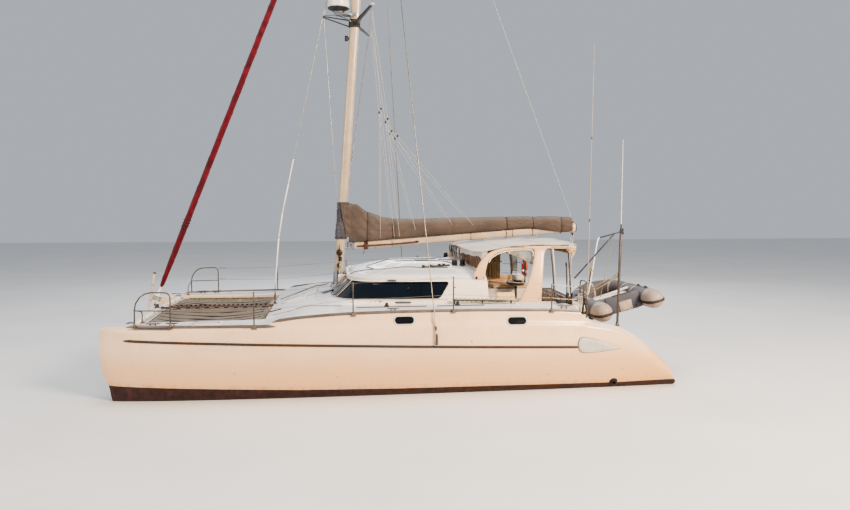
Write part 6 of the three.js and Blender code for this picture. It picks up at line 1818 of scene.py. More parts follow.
for s, side in ((1, "port"), (-1, "starboard")):
    S = np.array([1, s, 1])
    b = Build()
    P = lambda pts: np.array(pts) * S
    b.tube(fillet(P([(4.787, 2.600, 1.345), (4.787, 2.590, 1.640), (4.765, 2.596, 1.765), (4.690, 2.606, 1.880), (4.600, 2.616, 1.940), (4.500, 2.626, 1.960), (4.165, 2.690, 1.962), (4.165, 2.706, 1.345)]), .11, 7), .0125, 0, 14)
    b.tube(P([(4.787, 2.590, 1.645), (4.45, 2.650, 1.645), (4.165, 2.698, 1.645)]), .0105, 0, 12)
    b.tube(fillet(P([(4.81, 2.612, 1.372), (4.800, 2.614, 1.336), (4.150, 2.738, 1.336), (4.14, 2.74, 1.372)]), .03, 5), .0115, 0, 12)
    b.tube(fillet(P([(4.787, 2.590, 1.640), (4.780, 2.500, 1.632), (4.778, 2.110, 1.560), (4.778, 2.110, 1.352)]), .09, 7), .0105, 0, 12)
    foot(b, np.array([4.165, 2.706, 1.338]) * S)
    foot(b, np.array([4.787, 2.600, 1.338]) * S)
    foot(b, np.array([4.778, 2.110, 1.346]) * S)
    for p in ((4.787, 2.590, 1.645), (4.165, 2.698, 1.645)):
        b.ball(np.array(p) * S, .0165, 0, 12)
    b.torus(np.array([4.165, 2.700, 1.72]) * S, (0, 0, 1), .013, .004, 0, 16, 6)
    b.make("bow_rail_" + side, [M["steel"], M["bracket"]], slot="steel", replaces="pulpit_" + side)

    b = Build()
    POSTS = [(2.740, 2.822, 1.322, 1.968), (1.024, 2.776, 1.510, 2.112), (-.778, 2.776, 1.540, 2.190), (-2.612, 2.760, 1.510, 2.040)]
    ENDS = [(4.165, 2.692, 1.390, 1.962), *POSTS, (-3.232, 2.726, 1.480, 1.985)]
    for x, y, z0, z1 in POSTS:
        zf = float(deck_edge(x)[2]) + .002
        b.tube(P([(x, y, z0 + .02), (x, y - .003, (z0 + z1) / 2), (x, y - .006, z1 - .008)]), .0125, 0, 14)
        b.lathe(np.array([x, y - .006, z1 - .012]) * S, (0, 0, 1), [(0, .0128), (.006, .0135), (.012, .010), (.014, .001)], 0, 14)
        b.box(np.array([x, y + .002, z0 + .030]) * S, (.058, .046, .062), 1, .010)
        b.box(np.array([x, y + .004, z0 + .004]) * S, (.096, .052, .020), 1, .006)
        for z in (z1 - .016, (z0 + z1) / 2):
            b.torus(np.array([x, y - .004, z]) * S, (1, 0, 0), .007, .0035, 0, 14, 6)
    for i in range(1, len(ENDS)):
        (px, py, pz0, pz1), (x, y, z0, z1) = ENDS[i - 1], ENDS[i]
        for za, zb in ((pz1 - .016, z1 - .016), ((pz0 + pz1) / 2, (z0 + z1) / 2)):
            t0, t1 = (.03 / abs(px - x) if i == 1 else 0), (1 - .03 / abs(px - x) if i == len(ENDS) - 1 else 1)
            A, B = np.array([px, py, za]) * S, np.array([x, y, zb]) * S
            q0, q1 = lerp(A, B, t0), lerp(A, B, t1)
            pts = [lerp(q0, q1, k / 12) - np.array([0, 0, .012 * 4 * (k / 12) * (1 - k / 12)]) for k in range(13)]
            b.tube(pts, .0032, 2, 8, ends=False)
            dd = (B - A) / np.linalg.norm(B - A)
            if i == 1:
                b.lathe(q0, dd, [(0, .004), (.01, .008), (.07, .008), (.08, .0055), (.15, .0055), (.16, .003)], 0, 12)
            if i == len(ENDS) - 1:
                b.lathe(q1, -dd, [(0, .004), (.01, .008), (.10, .008), (.11, .0055), (.18, .0055), (.19, .003)], 0, 12)
    b.make("guard_lines_" + side, [M["steel"], M["bracket"], M["wire"]], slot="steel", replaces="lifelines_" + side)

    b = Build()
    b.tube(fillet(P([(-3.232, 2.726, 1.475), (-3.232, 2.720, 2.010), (-3.330, 2.640, 2.030), (-3.400, 2.300, 2.030), (-3.400, 2.060, 2.020), (-3.400, 2.060, 1.405)]), .09, 7), .0125, 0, 14)
    b.tube(fillet(P([(-3.232, 2.722, 1.740), (-3.330, 2.640, 1.745), (-3.400, 2.300, 1.745), (-3.400, 2.060, 1.740)]), .08, 6), .0105, 0, 12)
    foot(b, np.array([-3.232, 2.726, 1.455]) * S)
    foot(b, np.array([-3.400, 2.060, 1.38]) * S)
    for p in ((-3.232, 2.722, 1.740), (-3.400, 2.060, 1.740)):
        b.ball(np.array(p) * S, .0165, 0, 12)
    b.make("stern_rail_" + side, [M["steel"], M["bracket"]], slot="steel", replaces="pushpit_" + side)

# ---------------------------------------------------------------- deck hardware
hw = Build()


def cleat(b, p, length=.25, mat=0, turn=0.0):
    x, y, z = p
    c, s_ = math.cos(turn), math.sin(turn)
    R = lambda u, v, w: (x + u * c - v * s_, y + u * s_ + v * c, z + w)
    b.tube([R(-length / 2, 0, .052), R(-length * .3, 0, .046), R(0, 0, .044), R(length * .3, 0, .046), R(length / 2, 0, .052)], [.007, .011, .013, .011, .007], mat, 12)
    for u in (-length * .17, length * .17):
        b.tube([R(u, 0, .002), R(u * .95, 0, .024), R(u * .9, 0, .044)], [.016, .010, .011], mat, 12)
        b.box(R(u, 0, .004), (.055, .036, .008), mat, .003)


cleat(hw, (4.50, 2.52, 1.356), .26)
cleat(hw, (4.18, 2.52, 1.357), .22)
cleat(hw, (-2.90, 2.60, 1.556), .26)
cleat(hw, (.30, 2.62, 1.562), .22)
hw.box((-2.955, 2.22, 1.632), (.17, .12, .055), 1, .014)  # a black box let into the side deck
hw.box((-2.955, 2.22, 1.662), (.12, .08, .012), 1, .005)
for x in (3.0, 1.9, .6, -.5, -1.6):  # fillers and small deck plates
    p = deck_edge(x)
    hw.lathe((x, p[1] - .24, 1.3565 if x > 2.6 else float(deck_edge(x)[2]) + .012), (0, 0, 1), [(-.012, .036), (.002, .036), (.004, .032), (.004, .012), (.002, .001)], 2, 24)
for x0, x1 in ((.95, -.35), (-.55, -1.45)):  # genoa tracks on the side deck
    pts = np.array([[x, 2.30, 1.585 + .004] for x in np.linspace(x0, x1, 8)])
    for q in pts:
        r = hull_ring(q[0])
        k = np.argsort(np.abs(r[:, 1] - 2.30) + (r[:, 2] < 1.2) * 9)[0]
        q[2] = r[k, 2] + .010
    hw.sweep(pts, [(-.014, -.012), (-.014, .004), (-.009, .008), (.009, .008), (.014, .004), (.014, -.012)], 3)
    m_ = pts[3]
    hw.box(m_ + np.array([0, 0, .020]), (.09, .040, .022), 1, .006)
    hw.lathe(m_ + np.array([0, -.012, .050]), (0, 1, 0), [(0, .026), (.004, .030), (.020, .030), (.024, .026)], 1, 20)
hw.mirror()
hw.make("deck_hardware", [M["steel"], M["black"], M["pale_trim"], M["toe"], M["spar_brown"]], slot="steel")

# ---------------------------------------------------------------- lids
def lid_fittings(name, body, node, hinge_axis_x, z, hinge_side=1):
    lo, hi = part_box(node)
    b = Build()
    cy = (lo.y + hi.y) / 2
    xh, xl = (hi.x, lo.x) if hinge_side > 0 else (lo.x, hi.x)
    for f in (.22, .78):
        y = lerp(lo.y, hi.y, f)
        b.box((xh - hinge_side * .035, y, hi.z + .002), (.06, .04, .005), 0, .002)
        b.tube([(xh - hinge_side * .004, y - .022, hi.z + .003), (xh - hinge_side * .004, y + .022, hi.z + .003)], .005, 0, 10)
    b.lathe((xl + hinge_side * .055, cy, hi.z - .001), (0, 0, 1), [(0, .028), (.003, .028), (.005, .024), (.003, .018), (.003, .002)], 0, 24)
    b.box((xl + hinge_side * .055, cy, hi.z + .004), (.008, .036, .004), 0, .002)
    pad = (lerp(lo.x, hi.x, .5), cy, hi.z + .0012)
    b.box(pad, (hi.x - lo.x - .17, hi.y - lo.y - .09, .003), 1, .0012)
    b.make(name, [M["steel"], M["nonskid"]], body, slot="steel")


for side in ("port", "starboard"):
    refined("bow_locker_lid_" + side, "bow_lid_shell_" + side, M["deck"], "bow_lid_" + side, .007, 3)
    refined("engine_hatch_" + side, "engine_lid_shell_" + side, M["deck"], "engine_lid_" + side, .007, 3)
    lid_fittings("bow_lid_fittings_" + side, "bow_lid_" + side, "bow_locker_lid_" + side, 0, 0)
    lid_fittings("engine_lid_fittings_" + side, "engine_lid_" + side, "engine_hatch_" + side, 0, 0)
refined("anchor_locker_lid", "anchor_lid_shell", M["deck"], "anchor_lid", .007, 3)
al = Build()
lo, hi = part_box("anchor_locker_lid")
slope = math.atan2(1.5996 - 1.375, 2.62 - 1.76)
ct = np.array([(lo.x + hi.x) / 2, 0, (lo.z + hi.z) / 2])
R = Matrix.Rotation(slope, 3, "Y")
along = np.array([math.cos(slope), 0, -math.sin(slope)])
upn = np.array([math.sin(slope), 0, math.cos(slope)])
al.box(ct + upn * .0125, (.33, .50, .003), 1, .001, rot=R)
for y in (-.2, .2):
    al.box(ct - along * .195 + upn * .013 + np.array([0, y, 0]), (.055, .04, .005), 0, .002, rot=R)
al.lathe(ct + along * .185 + upn * .011, upn, [(0, .028), (.003, .028), (.005, .024), (.003, .018), (.003, .002)], 0, 24)
al.make("anchor_lid_fittings", [M["steel"], M["nonskid"]], "anchor_lid", slot="steel")

hatch = Build()
x0, x1, y0, y1, z0 = -.900, -.400, -.260, .260, 2.3056
o = oval(7, x1 - x0, y1 - y0, .05)
i1 = oval(7, x1 - x0 - .075, y1 - y0 - .075, .03)
cx = (x0 + x1) / 2
mk = lambda pts, z: np.column_stack([cx + pts[:, 0], pts[:, 1], np.full(len(pts), z)])
hatch.grid(np.array([mk(i1, z0), mk(o, z0), mk(o, z0 + .014), mk(o * .992, z0 + .019), mk(i1 * 1.01, z0 + .0205), mk(i1, z0 + .017), mk(i1, z0)]), 0, close_v=True)
gl = np.array([mk(i1 * .999, z0 + .006), mk(i1 * .999, z0 + .0165), mk(i1 * .9, z0 + .0180), mk(i1 * .5, z0 + .0186), mk(i1 * .01, z0 + .0188)])
hatch.grid(gl, 1, close_v=True, cap0=True, cap1=True)
for y in (-.13, .13):
    hatch.box((x1 - .018, y, z0 + .0175), (.05, .05, .008), 2, .003)
    hatch.lathe((x0 + .08, y, z0 + .012), (0, 0, 1), [(0, .018), (.008, .018), (.010, .014), (.010, .001)], 2, 16)
hatch.make("saloon_hatch_frame", [M["alloy"], M["glass"], M["black"]], "roof_hatch", slot="glass", replaces="saloon_hatch")

# ---------------------------------------------------------------- cockpit: arch, canopy, curtains, seats, helm
from mathutils.bvhtree import BVHTree


def tree_of(*names):
    verts, faces = [], []
    for name_ in names:
        ob_ = bpy.data.objects.get(name_)
        if ob_ is None or ob_.type != "MESH":
            continue
        off_ = len(verts)
        verts += [ob_.matrix_world @ v.co for v in ob_.data.vertices]
        faces += [[i + off_ for i in p.vertices] for p in ob_.data.polygons]
    return BVHTree.FromPolygons(verts, faces)


solid_below = tree_of("bridge_deck", "deckhouse", "hull_port", "hull_starboard", "bridge_deck_shell", "deckhouse_shell", "hull_shell_port", "hull_shell_starboard")


def drop(x, y, z=3.2, default=1.6):
    hit = solid_below.ray_cast(Vector((x, y, z)), Vector((0, 0, -1)))
    return hit[0].z if hit[0] is not None else default


def rounded(p0, p1, ya, yb, z_first=False, n=40, e=5.0):
    """A superellipse ring between two side-view points and two y values."""
    a_ = np.linspace(0, 2 * math.pi, n, endpoint=False)
    c_, s_ = np.cos(a_), np.sin(a_)
    u_ = np.sign(c_) * np.abs(c_) ** (2 / e)
    v_ = np.sign(s_) * np.abs(s_) ** (2 / e)
    p0, p1 = np.asarray(p0, float), np.asarray(p1, float)
    m_ = (p0 + p1) / 2
    h_ = (p1 - p0) / 2
    return np.column_stack([m_[0] + h_[0] * u_, (ya + yb) / 2 + (yb - ya) / 2 * v_, m_[1] + h_[1] * u_])


OUTER = np.array(spline([(-1.300, 2.040), (-1.400, 2.250), (-1.500, 2.405), (-1.640, 2.540), (-1.850, 2.620), (-2.100, 2.656), (-2.571, 2.678), (-3.100, 2.676), (-3.430, 2.670)], 6))
INNER = np.array(spline([(-1.556, 2.040), (-1.592, 2.250), (-1.650, 2.400), (-1.735, 2.490), (-1.880, 2.562), (-2.110, 2.600), (-2.571, 2.620), (-3.100, 2.616), (-3.430, 2.608)], 6))
YC = pchip([0, .12, .25, .37, .5, .62, 1.0], [1.817, 1.795, 1.764, 1.748, 1.732, 1.716, 1.709])
raw = Build()
ns = len(OUTER)
raw.grid(np.array([rounded(OUTER[i], INNER[i], float(YC(i / (ns - 1))) - .031, float(YC(i / (ns - 1))) + .031) for i in range(ns)]), 0, close_v=True, cap0=True, cap1=True)
rows = [(1.585, -2.165, -2.655, 1.905, 1.990), (1.640, -2.215, -2.660, 1.895, 1.980), (1.720, -2.270, -2.668, 1.880, 1.965), (1.900, -2.370, -2.690, 1.845, 1.930), (2.250, -2.500, -2.735, 1.770, 1.845), (2.500, -2.562, -2.770, 1.716, 1.768), (2.590, -2.572, -2.806, 1.694, 1.742), (2.630, -2.545, -2.835, 1.688, 1.736)]
zr = np.array([r[0] for r in rows])
fz = [pchip(zr, [r[k] for r in rows]) for k in (1, 2, 3, 4)]
raw.grid(np.array([rounded((float(fz[0](z)), z), (float(fz[1](z)), z), float(fz[2](z)), float(fz[3](z)), e=4.2) for z in np.linspace(1.585, 2.630, 34)]), 0, close_v=True, cap0=True, cap1=True)
raw.mirror()
for x, z in ((-1.850, 2.590), (-2.690, 2.642), (-3.385, 2.642)):
    path = [(x, y, z + .012 * (1 - (y / 1.7) ** 2)) for y in np.linspace(-1.705, 1.705, 25)]
    raw.sweep(np.array(path), [(-.024 * math.cos(q) * abs(math.cos(q)) ** -.4 if abs(math.cos(q)) > 1e-6 else 0, .020 * math.sin(q) * (abs(math.sin(q)) ** -.4 if abs(math.sin(q)) > 1e-6 else 0)) for q in np.linspace(0, 2 * math.pi, 24, endpoint=False)], 0)
arch = raw.make("arch_mould", [M["arch"]], body=None, slot="gelcoat")
md = arch.modifiers.new("m", "REMESH")
md.mode, md.voxel_size, md.use_smooth_shade = "VOXEL", .0105, True
md = arch.modifiers.new("s", "SMOOTH")
md.factor, md.iterations = .5, 9
md = arch.modifiers.new("d", "DECIMATE")
md.ratio = .36
apply_modifiers(arch)
for p in arch.data.polygons:
    p.use_smooth = True
arch.data.materials.clear()
arch.data.materials.append(M["arch"])
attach(arch, "root")
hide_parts("cockpit_arch")

fit = Build()
for s in (1, -1):
    # awning track under the rail, with the moulded lip that it follows round the opening
    fit.tube(spline([(-1.652, s * 1.772, 2.360), (-1.700, s * 1.752, 2.440), (-1.790, s * 1.738, 2.498), (-1.900, s * 1.726, 2.548), (-2.110, s * 1.712, 2.584), (-2.440, s * 1.706, 2.600), (-2.520, s * 1.708, 2.590), (-2.552, s * 1.716, 2.540), (-2.548, s * 1.724, 2.470)], 6), .0105, 0, 10)
    for x in (-2.23, -3.05):
        fit.box((x, s * 1.742, 2.652), (.30, .008, .012), 1, .003)
    for x, z in ((-1.32, 2.062), (-1.53, 2.055)):
        fit.lathe((x, s * 1.852, z + .02), (0, s, 0), [(-.004, .010), (.003, .010), (.006, .007), (.007, .001)], 2, 12)
    for x in (-2.25, -2.60):
        fit.lathe((x, s * 1.982, 1.660), (0, s, 0), [(-.004, .010), (.003, .010), (.006, .007), (.007, .001)], 2, 12)
    # posts from the aft end of the rail down to the coaming
    za, zb = drop(-3.02, s * 1.66, 2.2), drop(-3.34, s * 1.72, 2.2)
    fit.tube([(-2.915, s * 1.700, 2.622), (-2.960, s * 1.690, 2.25), (-3.020, s * 1.662, za)], .0135, 3, 14)
    fit.tube([(-2.950, s * 1.712, 2.622), (-2.992, s * 1.700, 2.25), (-3.048, s * 1.668, za)], .0115, 0, 14)
    fit.tube([(-3.265, s * 1.706, 2.620), (-3.300, s * 1.712, 2.2), (-3.345, s * 1.716, zb)], .0135, 3, 14)
    for x, y, z in ((-3.020, 1.662, za), (-3.345, 1.716, zb)):
        fit.lathe((x, s * y, z - .001), (0, 0, 1), [(0, .034), (.006, .034), (.010, .028), (.014, .017), (.045, .016), (.047, .013)], 3, 20)
fit.make("arch_fittings", [M["smooth_white"], M["dark_trim"], M["steel"], M["steel"]], slot="steel")

# canopy: one crowned sheet that dips between its bows, with bound edges and sewn seams
CP = [(-1.280, 2.452, 2.602), (-1.500, 2.552, 2.640), (-1.700, 2.600, 2.664), (-1.850, 2.630, 2.676), (-2.100, 2.664, 2.704), (-2.571, 2.688, 2.738), (-3.430, 2.682, 2.745)]
cxs = np.array([c[0] for c in CP])[::-1]
zs_, zm_ = pchip(cxs, np.array([c[1] for c in CP])[::-1]), pchip(cxs, np.array([c[2] for c in CP])[::-1])
NU, NV = 80, 90


def canopy_at(u, v, lift=0.0):
    w = 2 * v - 1
    x0 = -1.285 - .235 * abs(w) ** 3.2
    x = lerp(x0, -3.428, u)
    y = w * lerp(1.765, 1.760, u)
    z = float(zs_(x)) + (float(zm_(x)) - float(zs_(x))) * (1 - abs(w) ** 2.4)
    sag = 0.0
    for a_, b_ in ((-1.30, -1.85), (-1.85, -2.69), (-2.69, -3.385)):
        if b_ <= x <= a_:
            t_ = (x - a_) / (b_ - a_)
            sag = .016 * 4 * t_ * (1 - t_) * (1 - abs(w) ** 3)
    z += .013 - sag
    z += .0035 * math.sin(14 * w + 5 * u) * (1 - abs(w) ** 6) + .003 * math.sin(23 * u + 6 * w * w) + .0035 * math.sin(9 * (w + 2.2 * u))
    return np.array([x, y, z + lift])


top = np.array([[canopy_at(i / (NU - 1), j / (NV - 1)) for j in range(NV)] for i in range(NU)])


def slab(b, top, thick, mat=0, down=(0, 0, -1)):
    low = top + np.asarray(down, float) * thick
    nu_, nv_ = top.shape[:2]
    b.grid(np.concatenate([top, low[:, ::-1]], axis=1), mat, close_v=True)
    for k_ in (0, -1):
        ring = np.concatenate([top[k_], low[k_, ::-1]])
        m_ = len(ring)
        fs = [(i, i + 1, m_ - 2 - i, m_ - 1 - i) for i in range(nv_ - 1)]
        b.add(ring, fs if k_ == 0 else [f_[::-1] for f_ in fs], mat)


# panel joints, a latch, a line and a bar on the fore deck, laid on the moulded surface
dg = Build()


def on_deck(pts, n, lift):
    out_ = []
    for p_ in resample(np.array([(q[0], q[1], 0) for q in pts], float), n):
        out_.append((p_[0], p_[1], drop(p_[0], p_[1], 2.1, 1.55) + lift))
    return np.array(out_)


for pts_, w_, h_ in (([(2.500, -.548), (2.10, -1.02), (1.474, -1.73)], .011, .026), ([(2.440, .354), (1.706, .059)], .007, .008), ([(1.706, .059), (1.700, -.950)], .006, .006)):
    dg.sweep(on_deck(pts_, 60, 0), [(-w_, -.006), (-w_, h_ * .7), (-w_ * .5, h_), (w_ * .5, h_), (w_, h_ * .7), (w_, -.006)], 0)
dg.sweep(on_deck([(1.650, .100), (1.550, .140)], 8, 0), [(-.022, -.004), (-.020, .012), (.020, .012), (.022, -.004)], 1)
dg.tube(on_deck([(2.50, 1.837), (2.1, 1.90), (1.21, 2.07)], 60, .0055), .0055, 2, 7)
dg.sweep(on_deck([(2.605, 1.209), (2.376, 1.239)], 12, .006), [(-.013, -.012), (-.013, .016), (.013, .016), (.013, -.012)], 3)
# control lines led aft over the cabin top to the clutches and winches
for pts_ in ([(1.056, .759), (.826, .834), (.587, .971), (.327, 1.119), (-.081, 1.098), (-.401, 1.190)],
             [(.557, .904), (.650, .560), (.629, .226), (.273, .007), (-.176, -.257), (-.517, -.245), (-1.162, -.550)],
             [(.064, .436), (-.300, .450), (-.560, .460), (-.970, .700), (-1.120, .960)],
             [(-.550, -.170), (-.850, .050), (-1.100, .300), (-1.240, .340)]):
    p_ = spline([(q[0], q[1], 0) for q in pts_], 14)
    dg.tube([(q[0], q[1], drop(q[0], q[1], 2.7, 2.2) + .0075) for q in p_], .0075, 2, 8)
# bank of clutches with a handle pocket behind it
bar_ = [(lerp(-.414, -.985, f), lerp(1.205, 1.075, f)) for f in np.linspace(0, 1, 22)]
dg.sweep([(x, y, drop(x, y, 2.7, 2.2) + .004) for x, y in bar_], [(-.026, -.010), (-.026, .022), (-.018, .030), (.018, .030), (.026, .022), (.026, -.010)], 4)
for f in (.03, .28, .62, .78):
    x, y = lerp(-.414, -.985, f), lerp(1.205, 1.075, f)
    dg.box((x, y, drop(x, y, 2.7, 2.2) + .044), (.060, .040, .030), 4, .010, 3)
zc_ = drop(-1.095, 1.03, 2.7, 2.25)
dg.lathe((-1.095, 1.03, zc_ - .004), (0, 0, 1), [(0, .060), (.008, .062), (.014, .056), (.030, .050), (.060, .048), (.084, .054), (.092, .056), (.098, .050), (.108, .044), (.116, .030), (.118, .002)], 4, 36)
for k in range(3):
    dg.torus((-1.095, 1.03, zc_ + .030 + .013 * k), (0, 0, 1), .054, .0065, 2, 28, 8)
dg.make("deck_joints", [M["groove"], M["dark_trim"], M["rope_dark"], M["spar_brown"], M["black"]], slot="gelcoat")

cb = Build()
slab(cb, top, .0045)
canopy_o = weld(cb.make("canopy_cloth", [M["canopy"]], slot="bimini", replaces="canopy", sharp=60))
ce = Build()
rim = np.concatenate([top[:, 0], top[-1, 1:], top[-2::-1, -1], top[0, -2:0:-1]]) + np.array([0, 0, -.0022])
ce.tube(rim, .0062, 0, 8, closed=True)
for j in (3, NV - 4, 30, NV - 31):
    ce.tube(top[2:-2, j] + np.array([0, 0, .0006]), .0022, 0, 6)
for xb in (-1.85, -2.69, -3.34):
    i = int(np.argmin(np.abs(top[:, NV // 2, 0] - xb)))
    for di in (-1, 1):
        ce.tube(top[min(max(i + di, 1), NU - 2), 3:-3] + np.array([0, 0, .0006]), .0020, 0, 6)
    low_ = top[i, 5:-5] - np.array([0, 0, .018])
    ce.sweep(low_, [(-.020, -.006), (-.020, .006), (.020, .006), (.020, -.006)], 0)
# the cream lip that carries the cloth along the sides, and the front bow in its pocket
front = top[2, 6:-6] + np.array([0, 0, -.019])
ce.tube(front, .0125, 1, 10)
for s, j in ((1, NV - 2), (-1, 1)):
    for i in range(14, NU - 4, 9):
        p = top[i, j]
        ce.lathe((p[0], p[1], p[2] - .006), (0, 0, 1), [(0, .009), (.007, .009), (.010, .006), (.0105, .001)], 2, 12)
canopy_edge = ce.make("canopy_edge", [M["canopy_edge"], M["steel"], M["steel"]], slot="bimini")


def hanging(name, mat, top_path, bottom_path, folds, amp, n_along=120, n_down=26, thick=.0035, out=(0, 1, 0), tie=None, edge=None, slot="canvas", with_more=()):
    """A curtain between two paths, in folds that grow toward the free edge."""
    A, B_ = resample(np.array(top_path, float), n_along), resample(np.array(bottom_path, float), n_along)
    o_ = np.asarray(out, float)
    g_ = np.zeros((n_along, n_down, 3))
    for i in range(n_along):
        u = i / (n_along - 1)
        for j in range(n_down):
            v = j / (n_down - 1)
            p = lerp(A[i], B_[i], v)
            k_ = amp * (.35 + .65 * v)
            if tie is not None:
                k_ *= 1 - .55 * math.exp(-((v - tie) / .07) ** 2)
            w_ = math.sin(2 * math.pi * folds * u + .9 * math.sin(3.1 * v + 5 * u)) + .35 * math.sin(2 * math.pi * folds * 2.3 * u + 1.1 + 2 * v)
            g_[i, j] = p + o_ * k_ * w_
    b = Build()
    nrm_ = np.zeros_like(g_)
    du_ = np.gradient(g_, axis=0)
    dv_ = np.gradient(g_, axis=1)
    nrm_ = np.cross(du_, dv_)
    nrm_ /= np.maximum(np.linalg.norm(nrm_, axis=2, keepdims=True), 1e-9)
    b.grid(np.concatenate([g_ + nrm_ * thick / 2, (g_ - nrm_ * thick / 2)[:, ::-1]], axis=1), 0, close_v=True)
    for k_ in (0, -1):
        ring = np.concatenate([g_[k_] + nrm_[k_] * thick / 2, (g_[k_] - nrm_[k_] * thick / 2)[::-1]])
        m_ = len(ring)
        b.add(ring, [(i, i + 1, m_ - 2 - i, m_ - 1 - i) for i in range(n_down - 1)], 0)
    o = weld(b.make(name, [M[mat]], slot=slot, sharp=60))
    more = list(with_more)
    if edge:
        e_ = Build()
        e_.tube(g_[:, -1], .0042, 0, 6)
        e_.tube(g_[:, 0], .0042, 0, 6)
        e_.tube(g_[0], .0036, 0, 6)
        e_.tube(g_[-1], .0036, 0, 6)
        more.append(e_.make(name + "_hem", [M[edge]], slot=slot))
    return o, g_


# tan cloth gathered under the canopy's front bow, above the roof
ys = np.linspace(.36, 1.63, 34)
fr = lambda y: -1.285 - .235 * abs(y / 1.765) ** 3.2
tp = [(fr(y) - .030, y, float(zs_(fr(y) - .03)) + (float(zm_(fr(y) - .03)) - float(zs_(fr(y) - .03))) * (1 - abs(y / 1.765) ** 2.4) - .026) for y in ys]
bp = [(p[0] - .050 - .02 * math.sin(5 * p[1]), p[1], drop(p[0] - .05, p[1], 2.45, 2.25) + .022) for p in tp]
hanging("front_cloth", "brown_cloth", tp, bp, 11, .012, n_along=160, n_down=16, out=(1, 0, .1), edge="piping")

# a short valance hangs from the canopy's front edge on both sides
for s, nm in ((1, "port"), (-1, "starboard")):
    tp = [canopy_at(0, v, -.012) for v in np.linspace(.672, .985, 22)] + [canopy_at(u, .992, -.014) for u in np.linspace(.012, .060, 6)]
    bp = [(p[0] + .006, s * (p[1] + .004), p[2] - lerp(.105, .075, math.sin(math.pi * k / 27)) - .010 * math.sin(.9 * k) - .05 * smooth01((k - 19) / 4) * (1 - smooth01((k - 24) / 3))) for k, p in enumerate(tp)]
    tp = [(p[0] - .004, s * (p[1] - .006), p[2]) for p in tp]
    hanging("canopy_flap_" + nm, "canopy", tp, bp, 4.3, .007, n_along=150, n_down=16, out=(.7, s * .7, 0), edge="canopy_edge", slot="bimini")
# the middle front panels are rolled and strapped upright under the canopy's front bow
fp = Build()
for y, r_, k0 in ((.300, .046, 0), (.020, .060, 1), (-.270, .050, 2), (-.560, .040, 3)):
    zt_, zb_ = 2.585 - .02 * abs(y), drop(-1.31, y, 2.5, 2.3) + .030
    rows_ = []
    for i in range(34):
        t_ = i / 33
        rr_ = r_ * (.72 + .42 * math.sin(math.pi * min(1, t_ * 1.15)) - .24 * math.exp(-((t_ - .45) / .05) ** 2))
        rows_.append([(-1.318 + .012 * math.sin(4 * t_ + k0) + rr_ * .8 * math.cos(q) * (1 + .14 * math.sin(5 * q + 3 * t_ + k0) + .08 * math.sin(9 * q - 4 * t_)), y + .02 * math.sin(3 * t_ + k0) + rr_ * math.sin(q) * (1 + .14 * math.sin(5 * q + 3 * t_ + k0) + .08 * math.sin(9 * q - 4 * t_)), lerp(zt_, zb_, t_)) for q in np.linspace(0, 2 * math.pi, 44, endpoint=False)])
    fp.grid(np.array(rows_), k0 % 2, close_v=True, cap0=True, cap1=True)
    zs_m = lerp(zt_, zb_, .45)
    fp.tube([(-1.318 + r_ * .80 * math.cos(q), y + r_ * 1.02 * math.sin(q), zs_m + .03 * math.sin(q + k0)) for q in np.linspace(0, 2 * math.pi, 34, endpoint=False)], .0085, 2, 7, closed=True)
    fp.tube([(-1.262, y - .05, zt_ + .01), (-1.258, y, lerp(zt_, zb_, .3)), (-1.262, y + .045, lerp(zt_, zb_, .62))], .0095, 2, 7)
fp_o = fp.make("rolled_front_panels", [M["canopy"], M["vinyl_roll"], M["webbing"]], slot="bimini", sharp=70)

# far-side curtain, folded and strapped to the arch's leg
for s, nm in ((-1, "starboard"),):
    tp = [(-2.330, s * 1.700, 2.560), (-2.500, s * 1.668, 2.572), (-2.700, s * 1.655, 2.580)]
    bp = [(-2.360, s * 1.745, 1.735), (-2.520, s * 1.735, 1.712), (-2.700, s * 1.738, 1.705)]
    hanging("side_curtain_" + nm, "curtain", tp, bp, 5, .020, n_along=116, n_down=30, out=(0, 1, 0), tie=.55, edge="piping")
strap = Build()
strap.sweep(np.array(fillet([(-2.300, -1.660, 2.130), (-2.340, -1.648, 2.126), (-2.520, -1.640, 2.122), (-2.710, -1.652, 2.118), (-2.745, -1.700, 2.118)], .03, 5)), [(-.0015, -.018), (-.0015, .018), (.0015, .018), (.0015, -.018)], 0)
strap.make("curtain_strap", [M["piping"]], slot="canvas")

# clear curtain, bunched at the aft corner of the far side
hanging("clear_curtain_starboard", "vinyl", [(-2.880, -1.690, 2.600), (-2.980, -1.668, 2.602), (-3.120, -1.676, 2.600)], [(-2.965, -1.700, 1.905), (-3.030, -1.672, 1.880), (-3.120, -1.680, 1.872)], 4, .026, n_along=80, n_down=28, out=(0, 1, 0), tie=.5, edge="rope_dark", slot="canvas")
# near side: the clear panel half let down, with a batten in its lower hem
nb = np.array(spline([(-2.020, 1.690, 2.552), (-2.180, 1.672, 2.500), (-2.400, 1.668, 2.398), (-2.585, 1.676, 2.300)], 8))
hanging("clear_panel_port", "vinyl", [(-2.010, 1.694, 2.578), (-2.200, 1.684, 2.590), (-2.400, 1.682, 2.594), (-2.575, 1.680, 2.598)], nb, 2.5, .012, n_along=90, n_down=24, out=(0, 1, 0), edge="canopy_edge", slot="canvas")
bt = Build()
bt.tube(nb + np.array([0, .004, -.006]), [.013] * len(nb), 0, 12)
bt.ball(nb[-1] + np.array([0, .004, -.006]), .016, 1, 12)
bt.ball(nb[0] + np.array([0, .004, -.006]), .016, 1, 12)
bt.make("clear_panel_batten", [M["curtain"], M["dark_trim"]], slot="canvas")

